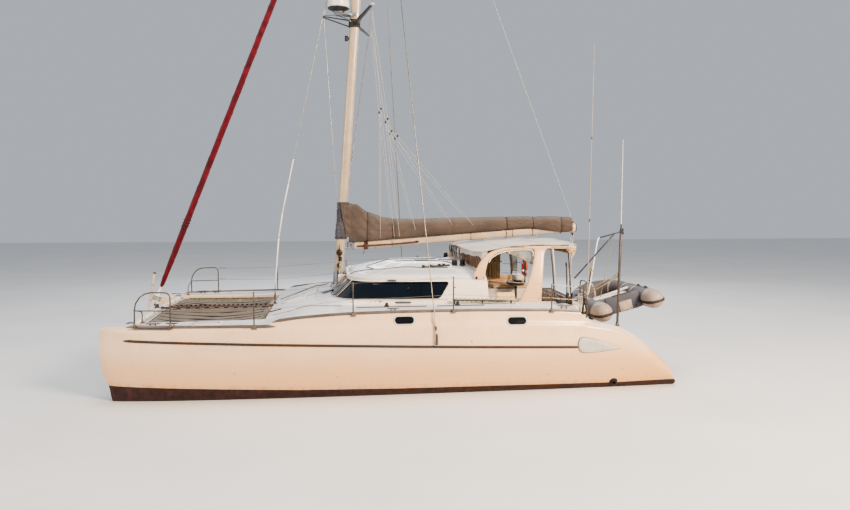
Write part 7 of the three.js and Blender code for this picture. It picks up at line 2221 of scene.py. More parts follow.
# aft curtain rolled up under the last bow, held by straps
yr = np.linspace(-1.52, 1.56, 150)
roll = []
for y in yr:
    q = np.linspace(0, 2 * math.pi, 28, endpoint=False)
    strap_ = sum(math.exp(-((y - c_) / .035) ** 2) for c_ in (-1.3, -.65, 0, .65, 1.3))
    r = .052 + .006 * math.sin(11 * y) + .004 * math.sin(27 * y + 1) - .014 * strap_
    rr = r * (1 + .07 * np.sin(3 * q + 4 * y) + .05 * np.sin(7 * q - 9 * y))
    roll.append(np.column_stack([-3.372 + rr * np.cos(q) * .95, np.full(28, y), 2.556 + .012 * math.sin(4 * y) * .3 + rr * np.sin(q) * .85]))
rb = Build()
rb.grid(np.array(roll), 0, close_v=True, cap0=True, cap1=True, flip=True)
for c_ in (-1.3, -.65, 0, .65, 1.3):
    rb.tube([(-3.372 + .043 * math.cos(q), c_, 2.560 + .045 * math.sin(q) + .012 * max(0, math.sin(q))) for q in np.linspace(0, 2 * math.pi, 24, endpoint=False)], .0055, 1, 6, closed=True, squash=2.2)
rolled = rb.make("aft_curtain_roll", [M["roll"], M["piping"]], slot="canvas")

# ---------------------------------------------------------------- seat cushions
def cushion(name, x0, x1, y0, y1, z0, z1, cells, replaces=None, mat="cushion"):
    """Boxed cushion: a slightly smaller block is inflated by a cloth run, then gets its piping."""
    nx_, ny_ = int((x1 - x0) / .04), int((y1 - y0) / .04)
    ins = .014
    xs_ = np.linspace(x0 + ins, x1 - ins, max(nx_, 8))
    ys_ = np.linspace(y0 + ins, y1 - ins, max(ny_, 8))
    b = Build()
    b.box(((x0 + x1) / 2, (y0 + y1) / 2, (z0 + z1) / 2 - .004), (x1 - x0 - 2 * ins, y1 - y0 - 2 * ins, z1 - z0 - 2 * ins * .6), 0, .016, 3)
    o = b.make(name, [M[mat]], body=None, slot="cushion")
    md = o.modifiers.new("m", "REMESH")
    md.mode, md.voxel_size = "VOXEL", .016
    apply_modifiers(o)
    start = np.array([v.co[:] for v in o.data.vertices])
    vg = o.vertex_groups.new(name="hold")
    for v in o.data.vertices:
        x, y, z = v.co
        w_ = 1.0 if z < z0 + .020 else 0.0
        for c_ in cells:  # sewn lines across the cushion
            w_ = max(w_, math.exp(-((x - c_) / .012) ** 2) * (1.0 if z > (z0 + z1) / 2 else .4))
        if min(x - x0, x1 - x, y - y0, y1 - y) < .030 and z > z1 - .034:
            w_ = max(w_, .55)
        if w_ > .02:
            vg.add([v.index], w_, "REPLACE")
    md = o.modifiers.new("c", "CLOTH")
    st = md.settings
    st.quality, st.mass, st.tension_stiffness, st.compression_stiffness, st.bending_stiffness = 5, .3, 18, 18, .6
    st.use_pressure, st.uniform_pressure_force = True, 4.0
    st.vertex_group_mass = "hold"
    st.effector_weights.gravity = 0
    md.point_cache.frame_start, md.point_cache.frame_end = 1, 20
    for f_ in range(1, 21):
        SCENE.frame_set(f_)
    dg = bpy.context.evaluated_depsgraph_get()
    ev = o.evaluated_get(dg)
    got = np.array([v.co[:] for v in ev.data.vertices])
    o.modifiers.clear()
    SCENE.frame_set(1)
    if len(got) == len(start) and np.isfinite(got).all():
        d_ = got - start
        ln = np.linalg.norm(d_, axis=1, keepdims=True)
        d_ *= np.minimum(1, .016 / np.maximum(ln, 1e-9))
        got = start + d_
        got[:, 0] = np.clip(got[:, 0], x0, x1)
        got[:, 1] = np.clip(got[:, 1], y0, y1)
        got[:, 2] = np.clip(got[:, 2], z0, z1 + .012)
        for v, c_ in zip(o.data.vertices, got):
            v.co = c_
    o.vertex_groups.clear()
    md = o.modifiers.new("s", "SMOOTH")
    md.factor, md.iterations = .5, 3
    apply_modifiers(o)
    for p in o.data.polygons:
        p.use_smooth = True
    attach(o, "root")
    if replaces:
        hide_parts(replaces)
    t = tree_of(name)
    pp = Build()

    def follow(path, r, mat_=0, closed=False, direction=(0, 0, -1), off=.4):
        out_ = []
        for p in path:
            h = t.ray_cast(Vector(p), Vector(direction))
            out_.append((np.array(h[0]) - np.array(direction) * -0 + np.array(h[1]) * r * off) if h[0] is not None else np.array(out_[-1] if out_ else p, float))
        pp.tube(out_, r, mat_, 7, closed=closed)

    e_ = .026
    ring = [(x0 + e_, y0 + e_), (x1 - e_, y0 + e_), (x1 - e_, y1 - e_), (x0 + e_, y1 - e_)]
    loop = []
    for k_ in range(4):
        a_, c_ = np.array(ring[k_]), np.array(ring[(k_ + 1) % 4])
        nseg = max(6, int(np.linalg.norm(c_ - a_) / .05))
        loop += [tuple(lerp(a_, c_, q_ / nseg)) + (z1 + .08,) for q_ in range(nseg)]
    follow(loop, .0050, 0, closed=True)
    for c_ in cells:
        follow([(c_, y, z1 + .08) for y in np.linspace(y0 + e_, y1 - e_, 24)], .0030, 0)
    pp.make(name + "_piping", [M["piping"]], slot="cushion")
    return o


cushion("seat_pad_port", -3.380, -1.760, 1.275, 1.870, 1.5006, 1.590, (-2.30, -2.84), "seat_cushion_port")
cushion("seat_pad_starboard", -3.380, -2.420, -1.870, -1.275, 1.5006, 1.590, (-2.90,), "seat_cushion_starboard")

# padded back rests along the coamings
def back_rest(name, x0, x1, s):
    nx_, nv_ = 70, 36
    rings = []
    for i in range(nx_):
        t_ = i / (nx_ - 1)
        x = lerp(x0, x1, t_)
        end = min(1, 8 * t_, 8 * (1 - t_)) ** .45
        chan = 1 - .22 * sum(math.exp(-((x - c_) / .018) ** 2) for c_ in np.linspace(x0, x1, 5)[1:-1])
        q = np.linspace(0, 2 * math.pi, nv_, endpoint=False)
        c_, s_ = np.cos(q), np.sin(q)
        u_ = np.sign(c_) * np.abs(c_) ** .55
        v_ = np.sign(s_) * np.abs(s_) ** .7
        h_ = .085 * (.55 + .45 * end)
        w_ = .034 * end * chan + .004
        rings.append(np.column_stack([np.full(nv_, x), s * (1.862 - .040 + w_ * v_ - .018 * u_), 1.690 + h_ * u_]))
    b = Build()
    b.grid(np.array(rings), 0, close_v=True, cap0=True, cap1=True, flip=s > 0)
    o = weld(b.make(name, [M["cushion"]], slot="cushion", sharp=70))
    p = Build()
    p.tube([r_[9] for r_ in rings[2:-2]], .0042, 0, 6)
    p.tube([r_[27] for r_ in rings[2:-2]], .0042, 0, 6)
    p.make(name + "_piping", [M["piping"]], slot="cushion")


back_rest("back_rest_starboard", -3.36, -2.44, -1)
back_rest("back_rest_port", -2.16, -1.78, 1)

# helm seat: a pale bolster on a post behind the wheel
hs = Build()
zf = drop(-2.92, -1.02, 1.55, 1.12)
hs.tube([(-2.92, -1.02, zf), (-2.92, -1.02, 1.60)], .030, 1, 20)
hs.lathe((-2.92, -1.02, zf - .001), (0, 0, 1), [(0, .12), (.010, .12), (.016, .10), (.022, .045), (.10, .034), (.11, .030)], 1, 28)
hs.box((-2.92, -1.02, 1.612), (.30, .42, .03), 1, .010)
hs.make("helm_seat_post", [M["alloy"], M["steel"]], slot="steel")


def bolster(name, at, size, mat, bulge=.18, pinch=(), power=3.2):
    """A crowned pad from a superellipsoid with sewn channels."""
    nu_, nv_ = 44, 56
    rows_ = []
    for i in range(nu_):
        la = -math.pi / 2 + math.pi * (i + .5) / nu_
        cl, sl = abs(math.cos(la)) ** (2 / power), math.copysign(abs(math.sin(la)) ** (2 / power), math.sin(la))
        r_ = []
        for j in range(nv_):
            lo_ = 2 * math.pi * j / nv_
            cx_, sx_ = math.copysign(abs(math.cos(lo_)) ** (2 / power), math.cos(lo_)), math.copysign(abs(math.sin(lo_)) ** (2 / power), math.sin(lo_))
            x_, y_, z_ = cl * cx_, cl * sx_, sl
            k_ = 1 + bulge * (1 - x_ * x_) * (1 - y_ * y_) * .6 * (1 if z_ > 0 else .15)
            for c_ in pinch:
                k_ -= .12 * math.exp(-((y_ - c_) / .05) ** 2) * (1 if z_ > .2 else 0)
            r_.append([at[0] + x_ * size[0] / 2, at[1] + y_ * size[1] / 2, at[2] + z_ * k_ * size[2] / 2])
        rows_.append(r_)
    b = Build()
    b.grid(np.array(rows_), 0, close_v=True, cap0=True, cap1=True, flip=True)
    o = b.make(name, [M[mat]], slot="cushion", sharp=70)
    return o


bolster("helm_seat_pad", (-2.90, -1.02, 1.665), (.40, .52, .080), "dark_vinyl", pinch=(-.33, .33))
bolster("helm_seat_back", (-2.955, -1.02, 1.795), (.225, .48, .165), "smooth_white", bulge=.12, pinch=(0,))
hb2 = Build()
for y in (-1.16, -.88):
    hb2.tube(fillet([(-2.98, y, 1.618), (-3.085, y, 1.628), (-3.095, y, 1.80)], .04, 5), .010, 0, 10)
hb2.make("helm_seat_frame", [M["steel"]], slot="steel")

# slatted bench folded against the port coaming aft of the arch
sb = Build()
z0b = drop(-3.0, 1.86, 2.3, 1.6)
for k in range(24):
    x = -2.705 - .026 * k
    top_z = 1.862 - max(0, k - 6) * .0118
    sb.box((x, 1.862, (z0b + .02 + top_z) / 2), (.019, .014, top_z - z0b - .02), 0, .004)
sb.tube([(-2.690, 1.853, 1.840), (-2.880, 1.853, 1.835), (-3.320, 1.853, 1.640)], .011, 0, 8)
sb.tube([(-2.690, 1.853, z0b + .045), (-3.320, 1.853, z0b + .045)], .011, 0, 8)
for k in range(7):
    sb.box((-2.90 + .0 * k, 1.76 + .024 * k - .09, z0b + .030 + .003 * k), (.40, .018, .014), 0, .004)
sb.tube([(-3.10, 1.85, z0b + .02), (-3.32, 1.80, z0b + .10), (-3.36, 1.72, z0b + .22)], .014, 1, 10)
sb.make("slatted_bench", [M["seat_brown"], M["black"]], slot="black_plastic")

# ---------------------------------------------------------------- helm console and wheel
refined("helm_console", "helm_console_shell", M["smooth_white"], "root", .018, 4)
lo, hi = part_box("helm_console")
ci = Build()
for k, (y, r) in enumerate(((-1.14, .045), (-1.02, .058), (-.90, .045))):
    ci.lathe((-1.965, y, 1.800 if k == 1 else 1.66), (-1, 0, .0), [(-.01, r), (.002, r), (.006, r * .96), (.009, r * .86)], 0, 28)
for k, y in enumerate((-1.15, -.89)):
    ci.lathe((lo.x - .001, y, 1.775), (-1, 0, 0), [(-.01, .048), (.003, .048), (.007, .045), (.008, .038)], 0, 30)
    ci.lathe((lo.x - .001, y, 1.775), (-1, 0, 0), [(.004, .037), (.0085, .036), (.009, .001)], 1, 30)
ci.box((lo.x - .002, -1.02, 1.50), (.008, .20, .13), 0, .004)
ci.box((lo.x - .006, -1.02, 1.50), (.004, .17, .10), 1, .002)
ci.box(((lo.x + hi.x) / 2, -.90, hi.z + .010), (.12, .08, .02), 2, .008)
for y in (-.915, -.885):
    ci.tube([((lo.x + hi.x) / 2, y, hi.z + .012), ((lo.x + hi.x) / 2 - .03, y, hi.z + .10)], .006, 3, 10)
    ci.ball(((lo.x + hi.x) / 2 - .032, y, hi.z + .106), .014, 4, 12)
ci.lathe(((lo.x + hi.x) / 2, -1.13, hi.z - .001), (0, 0, 1), [(0, .070), (.010, .070), (.020, .062), (.060, .050), (.075, .030), (.080, .002)], 4, 30)
ci.make("helm_instruments", [M["black"], M["port_glass"], M["black"], M["steel"], M["rubber"]], slot="black_plastic")

wc = np.array([-2.085, -1.02, 1.80])
wl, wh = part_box("steering_wheel")
wc = np.array([(wl.x + wh.x) / 2, (wl.y + wh.y) / 2, (wl.z + wh.z) / 2])
wh_ = Build()
wh_.torus((wl.x + .018, wc[1], wc[2]), (1, 0, 0), .284, .0155, 0, 90, 14)
wh_.helix_rope([(wl.x + .018, wc[1] + .284 * math.cos(q), wc[2] + .284 * math.sin(q)) for q in np.linspace(math.pi * .42, math.pi * .58, 14)], .017, 1, 2, 3.0, 6)
for k in range(5):
    q = math.pi / 2 + k * 2 * math.pi / 5
    d_ = np.array([0, math.cos(q), math.sin(q)])
    c0 = np.array([wl.x + .050, wc[1], wc[2]])
    wh_.tube(spline([c0 + d_ * .030, c0 + d_ * .11 + np.array([-.012, 0, 0]), np.array([wl.x + .018, wc[1], wc[2]]) + d_ * .276], 5), .0085, 2, 12)
wh_.lathe((wh.x, wc[1], wc[2]), (-1, 0, 0), [(0, .036), (.030, .038), (.036, .050), (.050, .052), (.058, .046), (.064, .028), (.070, .026), (.076, .002)], 2, 30)
wh_.make("steering_wheel_rim", [M["rubber"], M["rope_dark"], M["steel"]], "wheel", slot="steel", replaces="steering_wheel")

# ---------------------------------------------------------------- companionway door
dl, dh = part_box("companionway_door")
door = Build()
xm = (dl.x + dh.x) / 2
yw, zh_ = dh.y - dl.y, dh.z - dl.z
zc, yc = (dl.z + dh.z) / 2, (dl.y + dh.y) / 2
oo, ii = oval(7, yw, zh_, .05), oval(7, yw - .12, zh_ - .14, .05)
pl = lambda pts, x: np.column_stack([np.full(len(pts), x), yc + pts[:, 0], zc + pts[:, 1]])
t_ = (dh.x - dl.x) / 2
door.grid(np.array([pl(ii, xm - t_ + .004), pl(oo * .994, xm - t_), pl(oo, xm - t_ + .003), pl(oo, xm + t_ - .003), pl(oo * .994, xm + t_), pl(ii, xm + t_ - .004), pl(ii, xm - t_ + .004)]), 0, close_v=True)
door.grid(np.array([pl(ii * .01, xm - .006), pl(ii, xm - .006), pl(ii, xm + .006), pl(ii * .01, xm + .006)]), 1, close_v=True, cap0=True, cap1=True)
door.box((dl.x - .0005, dl.y + .045, zc), (.006, .022, .16), 2, .003)
door.tube(fillet([(dl.x + .004, dl.y + .045, zc - .05), (dl.x - .004, dl.y + .045, zc - .05), (dl.x - .004, dl.y + .045, zc + .05), (dl.x + .004, dl.y + .045, zc + .05)], .003, 3), .004, 3, 8)
door.make("door_panel", [M["alloy"], M["glass"], M["black"], M["steel"]], "door", slot="glass", replaces="companionway_door")

# ---------------------------------------------------------------- roof winches, ropes
for s, side in ((1, "port"), (-1, "starboard")):
    wb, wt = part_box("roof_winch_" + side)
    cx, cy, z0, h = (wb.x + wt.x) / 2, (wb.y + wt.y) / 2, wb.z, wt.z - wb.z
    b = Build()
    b.lathe((cx, cy, z0), (0, 0, 1), [(0, .061), (.004, .062), (.010, .062), (.016, .055), (.022, .050), (.034, .0435), (.052, .0415), (.070, .043), (.084, .048), (.088, .0505), (.094, .051), (.098, .046), (.100, .030)], 0, 48)
    b.lathe((cx, cy, z0 + .098), (0, 0, 1), [(0, .045), (.004, .0475), (.010, .0475), (.014, .043), (.018, .026), (.022, .022), (h - .100, .021), (h - .098, .002)], 1, 48)
    for k in range(30):
        q = 2 * math.pi * k / 30
        b.box((cx + .0425 * math.cos(q), cy + .0425 * math.sin(q), z0 + .060), (.0035, .0035, .046), 0, .0012, rot=Matrix.Rotation(q, 3, "Z"))
    b.tube([(cx + (.047 + .0010 * math.sin(q)) * math.cos(q), cy + (.047 + .0010 * math.sin(q)) * math.sin(q), z0 + .036 + .0100 * q / (2 * math.pi)) for q in np.linspace(0, 2 * math.pi * 3, 100)], .0052, 2, 8)
    b.make("roof_winch_drum_" + side, [M["winch_bronze"], M["black"], M["rope_dark"]], slot="steel", replaces="roof_winch_" + side)


def hank(b, at, w, h_, turns, mat, seed_, lean=0.0, out=(0, 1, 0)):
    """A hung hank of rope: loops of slightly different length under one gathered top."""
    r_ = np.random.default_rng(seed_)
    at = np.asarray(at, float)
    for k_ in range(turns):
        ww, hh = w * r_.uniform(.55, 1.0), h_ * r_.uniform(.86, 1.0)
        ph = r_.uniform(-.3, .3)
        off_ = np.asarray(out, float) * r_.uniform(-.018, .018)
        pts = []
        for q in np.linspace(0, 2 * math.pi, 40, endpoint=False):
            drop_ = (1 - math.cos(q)) / 2
            pts.append(at + off_ + np.array([ww / 2 * math.sin(q) * (drop_ ** .6) + lean * drop_ + .006 * math.sin(3 * q + ph), 0, -hh * drop_]) + np.asarray(out, float) * .010 * math.sin(2 * q + ph * 4))
        b.tube(pts, .0048, mat, 6, closed=True)
    for k_ in range(4):
        b.tube([at + np.array([.019 * math.cos(q) + lean * .12, .020 * math.sin(q), -h_ * .16 - .010 * k_]) for q in np.linspace(0, 2 * math.pi, 16, endpoint=False)], .0048, mat, 6, closed=True)


rp = Build()
# spare pole lashed along the foot of the cabin side, with a greenish line wound round it
pz = lambda x: lerp(1.700, 1.662, (x + .86) / (-2.14 + .86))
P0, P1 = np.array([-.86, 2.115, pz(-.86)]), np.array([-2.14, 2.105, pz(-2.14)])
rp.tube([lerp(P0, P1, q) for q in np.linspace(0, 1, 8)], .0145, 0, 14)
rp.tube([lerp(P0, P1, q) + np.array([0, .028, -.022]) for q in np.linspace(.02, .82, 8)], .011, 1, 12)
turns = []
for q in np.linspace(0, 1, 260):
    a_ = 2 * math.pi * 13 * q
    c_ = lerp(P0, P1, .05 + .86 * q) + np.array([0, .012, -.010])
    turns.append(c_ + np.array([.006 * math.sin(5 * a_), .031 * math.cos(a_), .031 * math.sin(a_)]))
rp.tube(turns, .0046, 2, 6)
droop = [lerp(P0, P1, q) + np.array([0, .030, -.045 - .030 * abs(math.sin(9 * q)) * (1 if q > .3 else .5)]) for q in np.linspace(.28, .97, 70)]
rp.tube(droop, .0075, 2, 8)
for q in (.04, .46, .9):
    c_ = lerp(P0, P1, q)
    zd = drop(c_[0], 2.115, 1.9, 1.58)
    rp.box((c_[0], 2.115, (c_[2] + zd) / 2 - .004), (.03, .035, c_[2] - zd + .004), 3, .006)
rp.make("lashed_pole", [M["rope_white"], M["dark_trim"], M["rope_green"], M["black"]], slot="canvas")

rk = Build()
hank(rk, (1.205, .165, 2.30), .10, .40, 8, 0, 5)
hank(rk, (1.200, -.165, 2.26), .10, .36, 7, 1, 6)
zr_ = drop(1.467, 1.55, 2.2, 1.6)
for k in range(6):
    r_ = .085 + .007 * k
    rk.tube([(1.48 + r_ * math.cos(q) + .008 * math.sin(3 * q + k), .42 + r_ * .8 * math.sin(q), drop(1.48 + r_ * math.cos(q), .42 + r_ * .8 * math.sin(q), 2.0, 1.6) + .008 + .0085 * (k % 3)) for q in np.linspace(0, 2 * math.pi, 44, endpoint=False)], .0058, 2 if k % 2 else 0, 6, closed=True)
# winch on the mast's port side
rk.lathe((1.227, .058, 2.475), (0, 1, 0), [(0, .050), (.006, .056), (.014, .066), (.022, .068), (.030, .060), (.050, .052), (.080, .054), (.094, .064), (.102, .066), (.108, .058), (.112, .030), (.124, .028), (.126, .002)], 5, 40)
for k in range(4):
    rk.torus((1.227, .092 + .013 * k, 2.475), (0, 1, 0), .058, .0062, 1, 30, 8)
rk.box((1.205, .074, 2.33), (.060, .036, .110), 3, .012, 3)
rk.make("rope_hanks", [M["rope_white"], M["rope_dark"], M["rope_blue"], M["black"], M["rope_red"], M["winch_bronze"]], slot="canvas")

# a cream cloth stowed as a bundle at the aft port end of the arch, with its tail hanging
bu = Build()
rows_ = []
for i in range(40):
    th_ = math.pi * (i + .5) / 40
    row_ = []
    for j in range(72):
        ph_ = 2 * math.pi * j / 72
        d_ = np.array([math.sin(th_) * math.cos(ph_), math.sin(th_) * math.sin(ph_), math.cos(th_)])
        k_ = 1 + .10 * math.sin(3 * ph_ + 2.1 * th_) + .07 * math.sin(5 * th_ + 2 * ph_ + 1.1) + .05 * abs(math.sin(4.5 * ph_ - 3 * th_ + .4)) - .06 * math.exp(-((math.sin(2 * ph_ + 1.7 * th_)) / .18) ** 2)
        row_.append(np.array([-3.312, 1.775, 2.606]) + d_ * np.array([.088, .060, .084]) * k_)
    rows_.append(row_)
bu.grid(np.array(rows_), 0, close_v=True, cap0=True, cap1=True)
tail_ = np.array(spline([(-3.318, 1.775, 2.560), (-3.330, 1.780, 2.510), (-3.322, 1.778, 2.470), (-3.312, 1.774, 2.430)], 12))
rows_ = []
for i, p_ in enumerate(tail_):
    t_ = i / (len(tail_) - 1)
    rows_.append([p_ + (.052 - .040 * t_) * (1 + .22 * math.sin(4 * q + 5 * t_)) * np.array([math.cos(q), .75 * math.sin(q), 0]) for q in np.linspace(0, 2 * math.pi, 28, endpoint=False)])
bu.grid(np.array(rows_), 0, close_v=True, cap0=True, cap1=True)
for z_, r_ in ((2.585, .092), (2.63, .086)):
    bu.tube([(-3.312 + r_ * .98 * math.cos(q), 1.775 + r_ * .70 * math.sin(q), z_ + .012 * math.sin(2 * q)) for q in np.linspace(0, 2 * math.pi, 40, endpoint=False)], .0045, 1, 6, closed=True)
stowed = bu.make("stowed_cloth", [M["cream_cloth"], M["piping"]], slot="canvas", sharp=70)

# ---------------------------------------------------------------- tender on its two arms
TT = .2426
CT, ST = math.cos(TT), math.sin(TT)
SV, YV, NV_ = np.array([-CT, 0, ST]), np.array([0, 1.0, 0]), np.array([ST, 0, CT])
TENDER_ROT = Matrix(((CT, 0, ST), (0, 1, 0), (-ST, 0, CT)))


def ten(s, y, n):
    return np.array([-4.105, 0, 1.285]) + s * SV + y * YV + n * NV_


KEYS = [(0, 1.30), (0, 1.0), (0, .70), (0, .50), (0, .30), (.010, .08), (.100, -.26), (.310, -.52), (.560, -.60), (.810, -.52), (1.020, -.26), (1.110, .08), (1.12, .30), (1.12, .50), (1.12, .70), (1.12, 1.0), (1.12, 1.30)]
loc = np.array(spline([(s, y, max(0, .1 - y) * .12) for s, y in KEYS], 7))
tube_path = np.array([ten(*p) for p in loc])
TR = .1985
tt = Build()
nt = len(loc)
rad = np.array([TR - .0012 * (1 + math.cos(2 * math.pi * i / 9)) * .5 for i in range(nt)])
tt.tube(tube_path, rad, 0, 44, ends=False)
# glued seams between the panels
cum = np.concatenate([[0], np.cumsum(np.linalg.norm(np.diff(tube_path, axis=0), axis=1))])


def at_len(d):
    p = np.array([np.interp(d, cum, tube_path[:, k]) for k in range(3)])
    q = np.array([np.interp(d + .01, cum, tube_path[:, k]) for k in range(3)]) - np.array([np.interp(d - .01, cum, tube_path[:, k]) for k in range(3)])
    return p, q / np.linalg.norm(q)


for d in np.linspace(.62, cum[-1] - .62, 7):
    p, t_ = at_len(d)
    b_ = np.cross(t_, NV_)
    b_ /= np.linalg.norm(b_)
    c_ = np.cross(b_, t_)
    q = np.linspace(0, 2 * math.pi, 48, endpoint=False)
    ring = lambda r, o: p + t_ * o + r * (np.cos(q)[:, None] * b_ + np.sin(q)[:, None] * c_)
    tt.grid(np.array([ring(TR - .004, -.019), ring(TR + .0014, -.0175), ring(TR + .0018, 0), ring(TR + .0014, .0175), ring(TR - .004, .019)]), 1, close_v=True)
# white end cones, almost domed
CONE = [(1.285, TR - .003), (1.288, TR + .0022), (1.305, TR + .0026), (1.36, .200), (1.42, .198), (1.48, .192), (1.535, .180), (1.58, .163), (1.615, .141), (1.642, .114), (1.660, .082), (1.670, .048), (1.674, .015)]
q = np.linspace(0, 2 * math.pi, 56, endpoint=False)
for s in (0, 1.12):
    tt.grid(np.array([[ten(s + r * math.cos(a), y, r * math.sin(a)) for a in q] for y, r in CONE]), 2, close_v=True, cap1=True, flip=False)
# double rubbing strake round the outside, over the cone ends and back along the inside
R_ = pchip([1.285, 1.36, 1.42, 1.48, 1.535, 1.58, 1.615, 1.642, 1.660, 1.670, 1.674], [.2005, .200, .198, .192, .180, .163, .141, .114, .082, .048, .015])
for off in (-.014, -.040):
    pts = []
    ys = [y for y in np.linspace(1.18, 1.672, 26)]
    yend = 1.672
    for y in np.linspace(1.30, 1.672, 400):
        if float(R_(y)) <= abs(off) * 1.02:
            yend = y
            break
    run = yend - (yend - 1.10) * np.linspace(0, 1, 16)[::-1] ** 2
    w = lambda y: math.sqrt(max((float(R_(y)) if y > 1.285 else TR) ** 2 - off * off, 0)) + .004
    pts += [ten(0 + w(y), y, off) for y in run[:-1]]
    pts += [ten(0, yend + .004, off)]
    pts += [ten(0 - w(y), y, off) for y in run[::-1][1:]]
    for i in range(6, nt - 6):
        s_, y_, n_ = loc[i]
        t_ = loc[i + 1] - loc[i - 1]
        t_ /= np.linalg.norm(t_)
        o_ = np.array([-t_[1], t_[0], 0]) if True else None
        o_ = np.array([t_[1], -t_[0], 0])
        if np.dot(o_, np.array([s_ - .56, y_ - .3, 0])) < 0:
            o_ = -o_
        k_ = math.sqrt(TR * TR - off * off) + .004
        pts.append(ten(s_ + o_[0] * k_, y_ + o_[1] * k_, n_ + off))
    pts += [ten(1.12 + w(y), y, off) for y in run[:-1]]
    pts += [ten(1.12, yend + .004, off)]
    pts += [ten(1.12 - w(y), y, off) for y in run[::-1][1:]]
    tt.tube(np.array(spline(pts, 2)), .0175, 3, 8, squash=.9)
# carry handles, line patches and the line along the outside
def patch(d, phi, kind):
    p, t_ = at_len(d)
    o_ = np.cross(t_, NV_)
    o_ /= np.linalg.norm(o_)
    loc_c = p - np.array([-4.105, 0, 1.285])
    if np.dot(o_, p - ten(.56, .3, 0)) < 0:
        o_ = -o_
    nn = np.cross(t_, o_)
    if np.dot(nn, NV_) < 0:
        nn = -nn
    r_ = math.cos(phi) * o_ + math.sin(phi) * nn
    tg = np.cross(t_, r_)
    rows_ = []
    L, W = (.085, .045) if kind == "handle" else (.036, .030)
    for k_, (f, h_) in enumerate(((1.06, -.004), (1.0, .002), (.92, .0045), (.5, .0055), (.02, .0055))):
        row = []
        for a in np.linspace(0, 2 * math.pi, 28, endpoint=False):
            u_, v_ = L * f * math.cos(a), W * f * math.sin(a)
            ang = v_ / TR
            rr = (TR + h_)
            row.append(p + t_ * u_ + rr * (math.cos(ang) * r_ + math.sin(ang) * tg))
        rows_.append(row)
    tt.grid(np.array(rows_), 3, close_v=True)
    if kind == "handle":
        tt.tube(spline([p + t_ * -.06 + r_ * (TR + .003), p + t_ * -.045 + r_ * (TR + .017), p + r_ * (TR + .022), p + t_ * .045 + r_ * (TR + .017), p + t_ * .06 + r_ * (TR + .003)], 5), .009, 3, 10, squash=1.3)
    else:
        tt.torus(p + r_ * (TR + .010), t_, .013, .0035, 4, 16, 6)
    return p + r_ * (TR + .012)


for d in (.62, 1.30, cum[-1] - .56, cum[-1] - .20):
    patch(d, math.radians(80), "handle")
eyes = [patch(d, math.radians(14), "eye") for d in np.linspace(.35, cum[-1] - .35, 11)]
for k in range(len(eyes) - 1):
    d0, d1 = np.linspace(.35, cum[-1] - .35, 11)[k:k + 2]
    run = []
    for f in np.linspace(0, 1, 14):
        p, t_ = at_len(lerp(d0, d1, f))
        o_ = np.cross(t_, NV_)
        o_ /= np.linalg.norm(o_)
        if np.dot(o_, p - ten(.56, .3, 0)) < 0:
            o_ = -o_
        phi = math.radians(14 - 13 * 4 * f * (1 - f))
        run.append(p + (TR + .011) * (math.cos(phi) * o_ + math.sin(phi) * NV_))
    tt.tube(run, .0048, 5, 6)
for s, sg in ((0, -1), (1.12, 1)):
    tt.lathe(ten(s - sg * .135, .95, .145), ten(-sg * .135, 0, .145) - ten(0, 0, 0), [(-.004, .022), (.006, .022), (.010, .018), (.013, .006)], 3, 18)  # air valves
tt.make("tender_hull_tubes", [M["tube_grey"], M["canopy_edge"], M["tube_white"], M["tube_band"], M["steel"], M["rope_dark"]], slot="hypalon", replaces="tender_tubes", sharp=44)

tf = Build()
# floor: a ribbed board, the transom with its clamp pads, a thwart and the oars
tf.box(ten(.56, .47, -.130), (.905, 1.50, .034), 0, .012, 3, rot=TENDER_ROT)
for s in np.arange(.20, .95, .105):
    tf.box(ten(s, .48, -.110), (.030, 1.38, .010), 0, .0045, 2, rot=TENDER_ROT)
# transom board: dark grey, partly painted shade
tf.box(ten(.56, 1.2025, .035), (.755, .040, .365), 1, .012, 3, rot=TENDER_ROT)
tf.box(ten(.56, 1.2025, .215), (.42, .046, .030), 2, .010, 2, rot=TENDER_ROT)
tf.box(ten(.60, 1.2280, -.035), (.27, .006, .20), 4, .0028, 2, rot=TENDER_ROT)
tf.box(ten(.60, 1.1770, .06), (.22, .006, .16), 4, .0028, 2, rot=TENDER_ROT)
for s in (.255, .865):
    tf.box(ten(s, 1.12, -.04), (.012, .12, .16), 1, .005, 2, rot=TENDER_ROT)
for s, n in ((.50, -.105), (.70, -.105), (.60, -.128)):
    tf.lathe(ten(s, 1.229, n), (0, 1, 0), [(-.004, .014), (.003, .014), (.006, .010), (.007, .001)], 3, 16)
for s, n in ((.30, -.09), (.82, -.09)):
    tf.lathe(ten(s, 1.224, n), (0, 1, 0), [(-.006, .022), (.004, .022), (.008, .016), (.008, .008), (.002, .006), (.002, .001)], 2, 18)
tf.box(ten(.56, .42, .075), (.86, .215, .024), 5, .009, 3, rot=TENDER_ROT)
for s in (.165, .955):
    tf.box(ten(s, .42, .045), (.035, .15, .055), 2, .008, 2, rot=TENDER_ROT)
tf.tube([ten(.150, .60, .150), ten(.55, .62, .176), ten(.965, .60, .205)], .0105, 6, 12)
tf.tube([ten(.150, .66, .150), ten(.55, .675, .170), ten(.94, .67, .196)], .0095, 6, 12)
for y in (.60, .66):
    rows_ = []
    for f in np.linspace(0, 1, 10):
        w_ = .02 + .062 * math.sin(min(1, f * 1.5) * math.pi / 2) * (1 - .35 * max(0, f - .8) / .2)
        c_ = ten(.17 - .36 * f + .02, y + .01 * f - .3 * f, .165 + .012 * f)
        rows_.append([c_ + SV * 0 + YV * w_ * math.cos(a) + NV_ * .008 * math.sin(a) for a in np.linspace(0, 2 * math.pi, 20, endpoint=False)])
tf.make("tender_inside", [M["tender_board"], M["transom_grey"], M["tube_band"], M["steel"], M["pad_beige"], M["smooth_white"], M["smooth_white"]], slot="hypalon", replaces="tender_floor")

